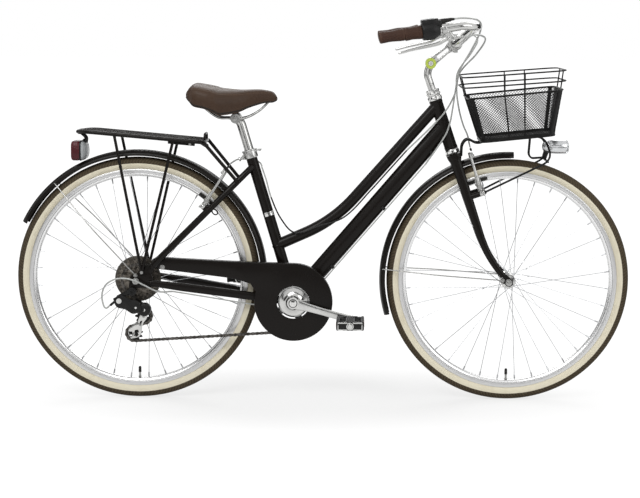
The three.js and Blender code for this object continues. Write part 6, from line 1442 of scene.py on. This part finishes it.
# Rim brakes: an arm's width and depth at shares of its length
ARM_ROWS = ((0, 15, 9), (0.12, 15, 9), (0.3, 11, 8.6), (0.5, 9.4, 8), (0.7, 9, 7.6), (0.9, 11, 7.6), (1, 9, 7))
BRAKES = (("front", FRONT_STUD, (417, 714), STEER_AHEAD, FRONT), ("rear", REAR_STUD, (-279, 660), stay_out, REAR))
for end, brake_stud, (top_x, top_z), out, centre in BRAKES:
    for name, side in SIDES:
        foot, top = aside(brake_stud, side * STUD_OUT), Vector((top_x, side * 33, top_z))
        body = f"{end}_brake_arm_{name}"
        up_arm, length = (top - foot).normalized(), (top - foot).length
        bm = new_shape()
        line = [foot + up_arm * (length * t) + ACROSS * (side * 2.2 * sin(pi * t)) for t, _, _ in ARM_ROWS]
        sweep(bm, line, [boxed(wide, deep, 2.6, 3) for _, wide, deep in ARM_ROWS])
        washer(bm, foot, -4.4, 4.4, 5.6, 8.6, out, 32)
        washer(bm, foot, 4.8, 9.4, 3.4, 10.4, out, 32, 1.2)
        washer(bm, top - up_arm * 7, 3.6, 6.4, 2.8, 6.6, out, 24)
        bolt(bm, top - up_arm * 7, out, 6, 10.4, 4.8)
        holder = foot + up_arm * 20
        disc(bm, holder, *span(side, -6, 7), 8.6, steps=28, edge=1.2)
        rod(bm, [foot + up_arm * 7 + ACROSS * (side * y) for y in (4, 12)], [4.6, 3.6], 16)
        piece(body + "_lever", bm, body, CAST, "aluminium", body, smooth=45)
        radial = (aside(holder, 0) - centre).normalized()
        pad = centre + radial * 302 + ACROSS * (side * 21.1)
        bm = new_shape()
        curve = (-29, -20, -10, 0, 10, 20, 29)
        bow = [pad + square_to(radial) * d - radial * (d * d / 620) for d in curve]
        sweep(bm, bow, [boxed(10.6, 9 if abs(d) < 25 else 7, 2) for d in curve])
        piece(body + "_pad", bm, body, RUBBER, "black_plastic")
        bm = new_shape()
        rod(bm, [aside(pad, side * 25), aside(pad, holder.y), holder], 3.6, 16)
        for low, radius in ((27, 8), (31, 9)):
            washer(bm, aside(pad, 0), *span(side, low, low + 3), 3, radius, steps=24)
        reach = abs(holder.y)
        washer(bm, aside(holder, 0), *span(side, reach + 7.2, reach + 9), 3, 7.4, steps=24)
        nut(bm, aside(holder, 0), *span(side, reach + 9, reach + 14), 5.6)
        spring = [foot + out * 6 + up_arm * a + ACROSS * (side * b) for a, b in ((-6, 0), (8, 5), (30, 7), (46, 5))]
        rod(bm, through(spring, 5), 1.1, 8)
        piece(body + "_post", bm, body, STEEL, "steel", bevel=0.4)

# Rear derailleur
for node in ("derailleur_mount", "derailleur_link", "derailleur_knuckle"):
    refined(node, BLACK, "black_plastic", 0.8)


def cage_outline(places, radii):
    """The outline round discs in a row, drawn in between them."""
    left, right = [], []
    for i, (place, radius) in enumerate(zip(places, radii)):
        before, after = places[max(i - 1, 0)], places[min(i + 1, len(places) - 1)]
        out = square_to((after - before).normalized())
        left.append(place + out * radius)
        right.append(place - out * radius)
    first = places[0] - (places[1] - places[0]).normalized() * radii[0]
    last = places[-1] + (places[-1] - places[-2]).normalized() * radii[-1]
    line = through([first, *left, last], 4)[:-1] + through([last, *right[::-1], first], 4)[:-1]
    return [(p.x, p.z) for p in line]


link_start, link_end = Vector((-576.6, -76, 294)), Vector((-529, -76, 275))
link_middle = link_start.lerp(link_end, 0.5)
swing = square_to((link_end - link_start).normalized())
cage_pivot = REAR + Vector((24.6, 0, -81))
bm = new_shape()
bolt(bm, aside(hanger, -87.3), -ACROSS, -1, 3.2, 6.4)
piece("hanger_bolt", bm, "frame", BLACK, "black_plastic")
bm = new_shape()
for way in (swing, -swing):
    bolt(bm, link_start, way, 9.6, 11.4, 3.6)
piece("derailleur_bolts", bm, "frame", CHROME, "chrome")
bm = new_shape()
for radii, low, high in (((18, 16, 19), -86.5, -80), ((14, 12, 14), -71.5, -66.5)):
    plate(bm, [cage_outline([link_start, link_middle, link_end], radii)], low, high)
for share in (0.3, 0.5, 0.7):
    block(bm, link_start.lerp(link_end, share), (7, 10, 20))
piece("derailleur_cover", bm, "derailleur_link", BLACK, "black_plastic", bevel=1.4)
bm = new_shape()
washer(bm, aside(link_start, 0), -88.4, -86.5, 4, 7.6)
bolt(bm, aside(link_start, -86.4), -ACROSS, 0, 3, 5)
bolt(bm, aside(link_end, -86.4), -ACROSS, 0, 1.6, 3.4)
piece("derailleur_cover_bolts", bm, "derailleur_link", CHROME, "chrome")
bm = new_shape()
for way in (swing, -swing):
    bolt(bm, link_end, way, 9.6, 11.4, 3.6)
bolt(bm, aside(cage_pivot, -84.4), -ACROSS, 0, 1.6, 4.2)
piece("knuckle_bolts", bm, "derailleur_knuckle", CHROME, "chrome")
bm = new_shape()
shell = [(0, -60), (13, -60), (17.5, -62), (19, -66), (19, -78), (17.5, -82), (12, -84.4), (0, -84.4)]
turned(bm, shell, cage_pivot, ACROSS, 44)
piece("knuckle_shell", bm, "derailleur_knuckle", BLACK, "black_plastic")
bm = new_shape()
places = [cage_pivot, cage_pivot.lerp(guide, 0.55), guide]
places += [guide.lerp(tension, share) for share in (0.35, 0.72)] + [tension]
loops = [cage_outline(places, [12, 8.5, 10.5, 9, 16.5, 17.5])]
for corners in (((-17, 4), (-6, 9), (-3, -2), (-6, -11), (-13, -9)), ((2, 10), (13, 12), (15, 0), (8, -10), (1, -5))):
    loops.append(fillet_outline(at_place(corners, tension), 3.5, 4))
loops.append(fillet_outline(at_place(((-10, -14), (-3, -12), (-7, -22), (-12, -22)), guide), 2.5, 4))
plate(bm, loops, -51, -49)
plate(bm, [cage_outline([guide, guide.lerp(tension, 0.5), tension], [10, 7.5, 10])], -39, -37)
piece("cage_plates", bm, "derailleur_cage", POLISHED, "aluminium", "derailleur_cage", bevel=0.4)
bm = new_shape()
disc(bm, cage_pivot, -61, -51, 5)
for place in (guide, tension):
    disc(bm, place, -51.2, -37, 3)
    bolt(bm, aside(place, -51), -ACROSS, 0, 1.8, 4)
piece("cage_pins", bm, "derailleur_cage", STEEL, "steel")
for name, place in (("guide", guide), ("tension", tension)):
    bm = new_shape()
    loops = [toothed(11, gap_angle(name)), circle((0, 0), 3.6, 20)]
    loops += [circle(hole, 2.6, 10) for hole in circle((0, 0), 11.4, 5)]
    plate(bm, [at_place(loop, place) for loop in loops], CHAIN_LINE - 1.1, CHAIN_LINE + 1.1)
    washer(bm, place, CHAIN_LINE - 2.6, CHAIN_LINE + 2.6, 3.6, 7)
    piece(name + "_jockey", bm, name + "_pulley", BLACK, "black_plastic", name + "_pulley")

# Basket: where the rear, front and half width of each of its levels lie, and the heights at its rear and front
FLOOR, BRIM, RAIL = (444, 652, 96, 752, 773.9), (404, 670, 132, 875, 903), (389, 677, 138, 934, 957)
CORNER_SHARE, RING_STEPS = 0.308, 240
TUB_MIDDLE = 540


def level_height(level, x):
    rear, front, _, rear_z, front_z = level
    return rear_z + (front_z - rear_z) * (x - rear) / (front - rear)


def corners_of(level):
    rear, front, half = level[:3]
    return ((rear, -half), (front, -half), (front, half), (rear, half))


def tub_ring(level, drop=0):
    """The ring of a level, with rounded corners."""
    points = [Vector((x, y, level_height(level, x) - drop)) for x, y in corners_of(level)]
    return rounded(points, level[2] * CORNER_SHARE, loop=True)


low_ring, top_ring = tub_ring(FLOOR), tub_ring(BRIM)
low_even, top_even = (resampled(ring + [ring[0]], RING_STEPS)[:-1] for ring in (low_ring, top_ring))


def on_tub(u, v, inset=0.0):
    """A place on the basket's wall, round it by u and up it by v, moved in by an inset."""
    where = (u % 1) * RING_STEPS
    i = int(where) % RING_STEPS
    j, s = (i + 1) % RING_STEPS, where - int(where)
    point = low_even[i].lerp(low_even[j], s).lerp(top_even[i].lerp(top_even[j], s), v)
    return point + (Vector((TUB_MIDDLE, 0, point.z)) - point).normalized() * inset


STRANDS, STRAND_STEPS, STRAND_SLANT = 112, 10, 0.15
FLOOR_SPACE, FLOOR_RUN, FLOOR_EDGES = 8.6, 100, (446, 650)
bm = new_shape()
for i in range(STRANDS):
    for way in (-1, 1):
        shares = [step / STRAND_STEPS for step in range(STRAND_STEPS + 1)]
        line = [on_tub(i / STRANDS + way * STRAND_SLANT * v, v, 0.5 + way * 0.4) for v in shares]
        rod(bm, line, 0.64, 4)
for i in range(-12, 26):
    for way in (-1, 1):
        start = FLOOR[0] + FLOOR_SPACE * i
        near, far = (start, start + FLOOR_RUN)[::way]
        a, b = (Vector((x, y, level_height(FLOOR, x) + 1)) for x, y in ((near, -92), (far, 92)))
        for edge in FLOOR_EDGES:
            if (a.x - edge) * (b.x - edge) < 0:
                cutting = a.lerp(b, (edge - a.x) / (b.x - a.x))
                if (edge == FLOOR_EDGES[0]) == (a.x < edge):
                    a = cutting
                else:
                    b = cutting
        if 445 < a.x < 651 and 445 < b.x < 651 and (a - b).length > 4:
            rod(bm, [a, b], 0.62, 4)
piece("basket_net", bm, "fork", WIRE, "net", "basket")


def band(low_v, high_v, first=0.0, last=1.0, steps=RING_STEPS, loop=True):
    """A strip of the basket's wall between two heights, with a wall's thickness."""
    corners = ((low_v, -0.9), (high_v, -0.9), (high_v, 0.9), (low_v, 0.9))
    skin(bm, lambda u, v: on_tub(first + (last - first) * u, *corners[round(v * 4) % 4]), steps, 4, loop)


bm = new_shape()
band(0.0, 0.07)
band(0.975, 1.0)
for x, y in corners_of(BRIM):
    corner = min(range(RING_STEPS), key=lambda i: (top_even[i].x - x) ** 2 + (top_even[i].y - y) ** 2)
    band(0.0, 1.0, (corner - 1.7) / RING_STEPS, (corner + 1.7) / RING_STEPS, 40, False)
rod(bm, low_ring, 2.4, 12, loop=True)
rod(bm, top_ring, 2.2, 12, loop=True)
for x in (470, 512, 556, 600, 636):
    rod(bm, [Vector((x, y, level_height(FLOOR, x))) for y in (-95, 95)], 1.6, 8)
for y in (-48, 0, 48):
    rod(bm, [Vector((x, y, level_height(FLOOR, x) - 1)) for x in FLOOR_EDGES], 1.6, 8)
for drop in (0, 29):
    rod(bm, tub_ring(RAIL, drop), 2.2, 12, loop=True)
for x, side in ((504, -1), (560, -1), (524.6, 1), (583.7, 1)):
    low_x = FLOOR[0] + (FLOOR[1] - FLOOR[0]) * (x - BRIM[0]) / (BRIM[1] - BRIM[0])
    post = [(x, x, RAIL), (x + 1, x, BRIM), (low_x, low_x, FLOOR)]
    rod(bm, [Vector((a, side * level[2], level_height(level, b))) for a, b, level in post], 1.9, 10)
for end in (0, 1):
    for y in (-44, 44):
        rod(bm, [Vector((level[end], y, level[3 + end])) for level in (RAIL, BRIM)], 2, 10)
piece("basket_wires", bm, "fork", WIRE, "net")

# Basket support and headlight
LAMP, LAMP_FOOT = Vector((632, 0, 734)), Vector((632, 0, 706))


def under(x, y):
    return Vector((x, y, level_height(FLOOR, x) - 3.6))


bm = new_shape()
for side in (-1, 1):
    brake_stud = aside(FRONT_STUD, side * STUD_OUT)
    washer(bm, brake_stud, 8.1, 12.1, 2.5, 6.5, STEER_AHEAD, 24)
    bolt(bm, brake_stud, STEER_AHEAD, 12.1, 15, 4.6)
    front = Vector((649, side * 62, 702))
    lower = [brake_stud + STEER_AHEAD * 10.1, front, under(628, side * 20), under(460, side * 20)]
    rod(bm, rounded(lower, 34, 10), 3, 16)
    upper = [on_steer(25.1, 19 * cos(pi / 8) + 3.3, side * 20)]
    upper += [Vector((x, side * 20, z)) for x, z in ((394, 741), (409, 758), (436, 743))] + [under(460, side * 20)]
    rod(bm, rounded(upper, 12, 6), 3, 16)
rod(bm, [on_steer(25.1, 20.9, -20), on_steer(25.1, 20.9, 20)], 3, 12)
for x in (460, 590):
    rod(bm, [under(x, -20), under(x, 20)], 3, 12)
bar_end = aside(FRONT_STUD, STUD_OUT).lerp(front, (636 - 450) / (649 - 450))
rod(bm, [aside(bar_end, -bar_end.y), bar_end], 3, 12)
disc(bm, LAMP_FOOT, -3, 3, 7, steps=24)
rod(bm, [aside(bar_end, 0), LAMP_FOOT], 3, 12)
for side in (-1, 1):
    arm = [under(590, side * 9)]
    arm += [Vector((x, side * y, z)) for x, y, z in ((586, 9, 712), (594, 8, 701), (632, 4, 704))]
    rod(bm, rounded(arm, 12, 5), 2.6, 12)
piece("basket_carrier", bm, "fork", WIRE, "net", "basket_support")

bm = new_shape()
tail = LAMP - AHEAD * 8
shell = [(0, 0), (7, 0.6), (11, 3), (14.5, 9), (17.6, 19), (19.8, 30), (21, 42), (21, 68), (20.4, 69), (19, 68)]
turned(bm, shell + [(19, 52), (14, 36), (6, 30), (0, 29)], tail, AHEAD, 48)
piece("lamp_shell", bm, "headlight", LAMP_SILVER, "aluminium", "headlight_housing", smooth=50)
bm = new_shape()
ear = fillet_outline([(625, 706), (627, 700), (632, 698.6), (637, 700), (639, 706), (645, 722), (630, 724)], 2, 3)
for side in (-1, 1):
    plate(bm, [ear], *span(side, 3.3, 5.8))
bolt(bm, LAMP_FOOT, -ACROSS, 5.6, 8, 3.6)
nut(bm, LAMP_FOOT, 5.6, 8, 4)
piece("lamp_ears", bm, "headlight", BLACK, "black_plastic", bevel=0.4)
bm = new_shape()
disc(bm, LAMP + AHEAD * 26, -2, 4, 4, AHEAD)
piece("lamp_bulb", bm, "headlight", WINDOW, "lens")
bm = new_shape()
face = [(0, -1), (19, -1), (19.5, 0), (19.5, 2), (17, 5), (11, 7.8), (5, 8.8), (0, 9)]
turned(bm, face, tail + AHEAD * 69.3, AHEAD, 48)
piece("lamp_lens", bm, "headlight", GLASS, "lens", "headlight_lens")


# Cables


def tube(name, points, radius, body, *nodes, finish=SHEATH, joint=None, free=True):
    """A cable's run. One across a joint has its place baked into its mesh."""
    bm = new_shape()
    rod(bm, points, radius, 10)
    made = piece(name, bm, body, finish, "cable", *nodes)
    metres = [p / 1000 for p in points]
    if joint:
        tuple(metres[0])
        tuple(metres[-1])
        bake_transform(made)
    if free:
        tuple(metres[0])
        sum((b - a).length for a, b in zip(metres, metres[1:]))
        radius * 0.002
        [tuple(p) for p in metres]


def vectors(*places):
    return [Vector(place) for place in places]


CABLE_RADIUS = 2.4


def hanging_cable(name, start, way, places, node, joints):
    """The stretch in the air from the handlebar, cut into one run for each joint."""
    line = through([start + way * 0.45, start + way * 10.45, *places], 5)
    for i, joint in enumerate(joints):
        low, high = (k * (len(line) - 1) // len(joints) for k in (i, i + 1))
        tube(f"{name}_{i + 1}", line[low : high + 1], CABLE_RADIUS, None, *([] if i else [node]), joint=joint)


# Where the cables pass from the air to the frame, and from there to the derailleur and to the rear brake
GEAR_STOP, GEAR_END = (291, -14, 683), (-428, -60, 318)
REAR_STOP, REAR_END = (237, -13, 722), (-176, -6, 668)
REAR_WIRE_END, FRONT_WIRE_END = (-270, 33, 677), (420, 33, 731)
TURN_HEIGHT = 590

gear_hanging = vectors((345, -256, 1095), (385, -240, 1099), (425, -200, 1092), (434, -150, 1066), (412, -115, 1012))
gear_hanging += vectors((380, -85, 950), (372, -60, 900), (366, -40, 850), (358, -28, 800), (345, -24, 765))
gear_hanging += vectors(GEAR_STOP)
gear_tube = vectors(GEAR_STOP, (-39, -14, 298), (-60, -15, 267), (-90, -18, 260), GEAR_END)
gear_loop = vectors(GEAR_END, (-467, -74, 320), (-505, -87, 340), (-530, -91, 353), (-560, -92.5, 360))
gear_loop += vectors((-590, -92, 356), (-614, -90, 339), (-624, -87, 313), (-622, -84.5, 287), (-614, -84, 273))
gear_loop += vectors((-603, -86.8, 280.4))
rear_hanging = vectors((405, -252, 1053), (428, -230, 1053), (445, -180, 1040), (425, -120, 1000), (382, -70, 945))
rear_hanging += vectors((372, -45, 890), (345, -29, 835), (300, -25, 785), REAR_STOP)
rear_tube = vectors(REAR_STOP, (176, -13, 653), (137, -13, 609), (60, -16, 530), (-10, -21, 505), (-80, -21, 484))
rear_tube += vectors((-120, -21, 522), (-150, -17, 585), (-164, -12, 634), REAR_END)
rear_end = vectors(REAR_END, (-183, 14, 681), (-203, 25, 690), (-228, 28, 692), (-252, 31, 688), REAR_WIRE_END)
front_hanging = vectors((405, 252, 1053), (430, 230, 1053), (447, 170, 1036), (425, 115, 998), (384, 65, 943))
front_hanging += vectors((380, 32, 890), (386, 12, 840), (398, 2, 795), (411, 2, 765), (416, 14, 744), FRONT_WIRE_END)

adjuster = {s: lever_pivot[s] + Vector((41, 0, 3)) for s in (-1, 1)}
adjuster_way = adjuster_reach.normalized()
JOINTS = [("handlebar", "quill"), ("quill", "fork"), ("fork", "frame")]
hanging_cable("gear_cable_run", on_bar(168.6, -1, 20), bar_way[-1], gear_hanging, "gear_cable", JOINTS)
hanging_cable("rear_brake_run", adjuster[-1], adjuster_way, rear_hanging, "rear_brake_cable", JOINTS)
hanging_cable("front_brake_run", adjuster[1], adjuster_way, front_hanging, "front_brake_cable", JOINTS[:2])
tube("gear_cable_tube", through(gear_tube, 8), 2.0, "frame", free=False)
tube("gear_cable_loop", through(gear_loop, 4), CABLE_RADIUS, "frame")
rear_line = through(rear_tube, 6)
turn_up = max(i for i, p in enumerate(rear_line) if p.z < TURN_HEIGHT)
tube("rear_brake_tube", rear_line[: turn_up + 1], 2.3, "frame", finish=DARK_SHEATH, free=False)
tube("rear_brake_turn", rear_line[turn_up:], CABLE_RADIUS, "frame", free=False)
tube("rear_brake_end", through(rear_end, 4), CABLE_RADIUS, "frame")


def bare_wire(end, body, wire, high, low):
    """The wire between a pair of brake arms, and the ribbed rubber sleeve on it."""
    bm = new_shape()
    rod(bm, through(vectors(*wire), 5), 1.1, 8)
    piece(end + "_brake_wire", bm, body, STEEL, "cable")
    bm = new_shape()
    places = [Vector(high).lerp(Vector(low), i / 16) for i in range(17)]
    rod(bm, places, [(3.4 if i % 2 else 2.6) - 0.05 * i for i in range(17)], 14)
    piece(end + "_brake_boot", bm, body, RUBBER, "black_plastic")


rear_wire = (REAR_WIRE_END, (-275, 20, 669), (-277, -28, 667))
bare_wire("rear", "frame", rear_wire, (-275.4, 18, 668.8), (-276.8, -16, 667.3))
front_wire = (FRONT_WIRE_END, (421, 20, 725), (421, -28, 723))
bare_wire("front", "fork", front_wire, (421, 18, 724.9), (421, -16, 723.3))

# Floor, backdrop and lights

floor = Finish("pale_floor", (0.66, 0.66, 0.66), 0.9, specular=0.1)
floor.put("Base Color", floor.mix(floor.noise(0.8, 2), (0.65, 0.65, 0.65), (0.67, 0.67, 0.665)))
floor_x, floor_y, _ = floor.axes(floor.place())
# Less of the floor glows near the tyres, so an oval patch round the bicycle stays grey as painted shade, and the
# lamps' real shadows also show in it.
from_tyres = (floor_x * floor_x * 0.2 + floor_y * floor_y).power(0.5)
share = 0.62 + from_tyres.step(0.12, 0.6) * 0.38
glow = floor.node("ShaderNodeEmission", {}, {"Color": (1, 1, 1, 1), "Strength": 1.1})
lit = Wire(floor, floor.shader.outputs[0])
surface = floor.node("ShaderNodeMixShader", {}, (floor.seen() * share, lit, glow))
floor.feed(floor.tree.nodes["Material Output"].inputs, "Surface", surface)
bm = bmesh.new()
bmesh.ops.create_grid(bm, x_segments=1, y_segments=1, size=40)
placed("floor", bm, floor)

scene.world = bpy.data.worlds.new("studio")
scene.world.use_nodes = True
sky = Nodes(scene.world.node_tree)
background = sky.tree.nodes["Background"].inputs
sky.feed(background, "Color", (1, 1, 1, 1))
strength = sky.node("ShaderNodeMapRange", {}, {"Value": sky.seen(), "To Min": 0.42, "To Max": 1.0})
sky.feed(background, "Strength", strength)


def area_light(name, place, aim, size, power):
    data = bpy.data.lights.new(name, "AREA")
    data.shape, data.size, data.size_y, data.energy = "RECTANGLE", size[0], size[1], power
    made = bpy.data.objects.new(name, data)
    scene.collection.objects.link(made)
    made.location = place
    made.rotation_euler = (Vector(aim) - Vector(place)).to_track_quat("-Z", "Y").to_euler()


area_light("key", (-1.2, -2.6, 3.0), (0, 0, 0.5), (2.4, 1.6), 62)
area_light("fill", (2.6, -2.2, 1.8), (0, 0, 0.5), (1.8, 1.8), 26)
area_light("back", (0.2, 2.6, 2.6), (0, 0, 0.4), (3.0, 1.4), 40)

CARD = mottled("black_card", (0.01, 0.01, 0.01), (0.015, 0.015, 0.015), 0.8, 0.1, 2, 20)


def dark_card(name, place, width, height):
    """A dark card beside the camera, seen only in reflections, that draws the edges of bright metal."""
    bm = bmesh.new()
    look = (Vector((0, 0, 0.6)) - Vector(place)).to_track_quat("-Z", "Y").to_matrix().to_4x4()
    bmesh.ops.create_grid(bm, x_segments=1, y_segments=1, size=0.5, matrix=Matrix.Diagonal((width, height, 1, 1)))
    bmesh.ops.transform(bm, verts=bm.verts, matrix=Matrix.Translation(place) @ look)
    made = placed(name, bm, CARD)
    made.visible_camera = made.visible_diffuse = made.visible_shadow = False


dark_card("card_left", (-3.4, -2.4, 1.0), 1.8, 3.6)
dark_card("card_right", (3.0, -3.2, 1.0), 2.8, 3.6)
dark_card("card_rear_left", (-2.4, 2.2, 0.9), 2.2, 3.4)
dark_card("card_rear_right", (2.6, 2.0, 0.9), 2.2, 3.4)
dark_card("card_low", (0, -4.2, 0.2), 7.0, 0.8)
dark_card("card_high", (0, -3.6, 2.7), 7.0, 0.9)
dark_card("card_back", (0.5, 3.4, 1.9), 5.0, 0.7)

scene.view_settings.view_transform = "Standard"
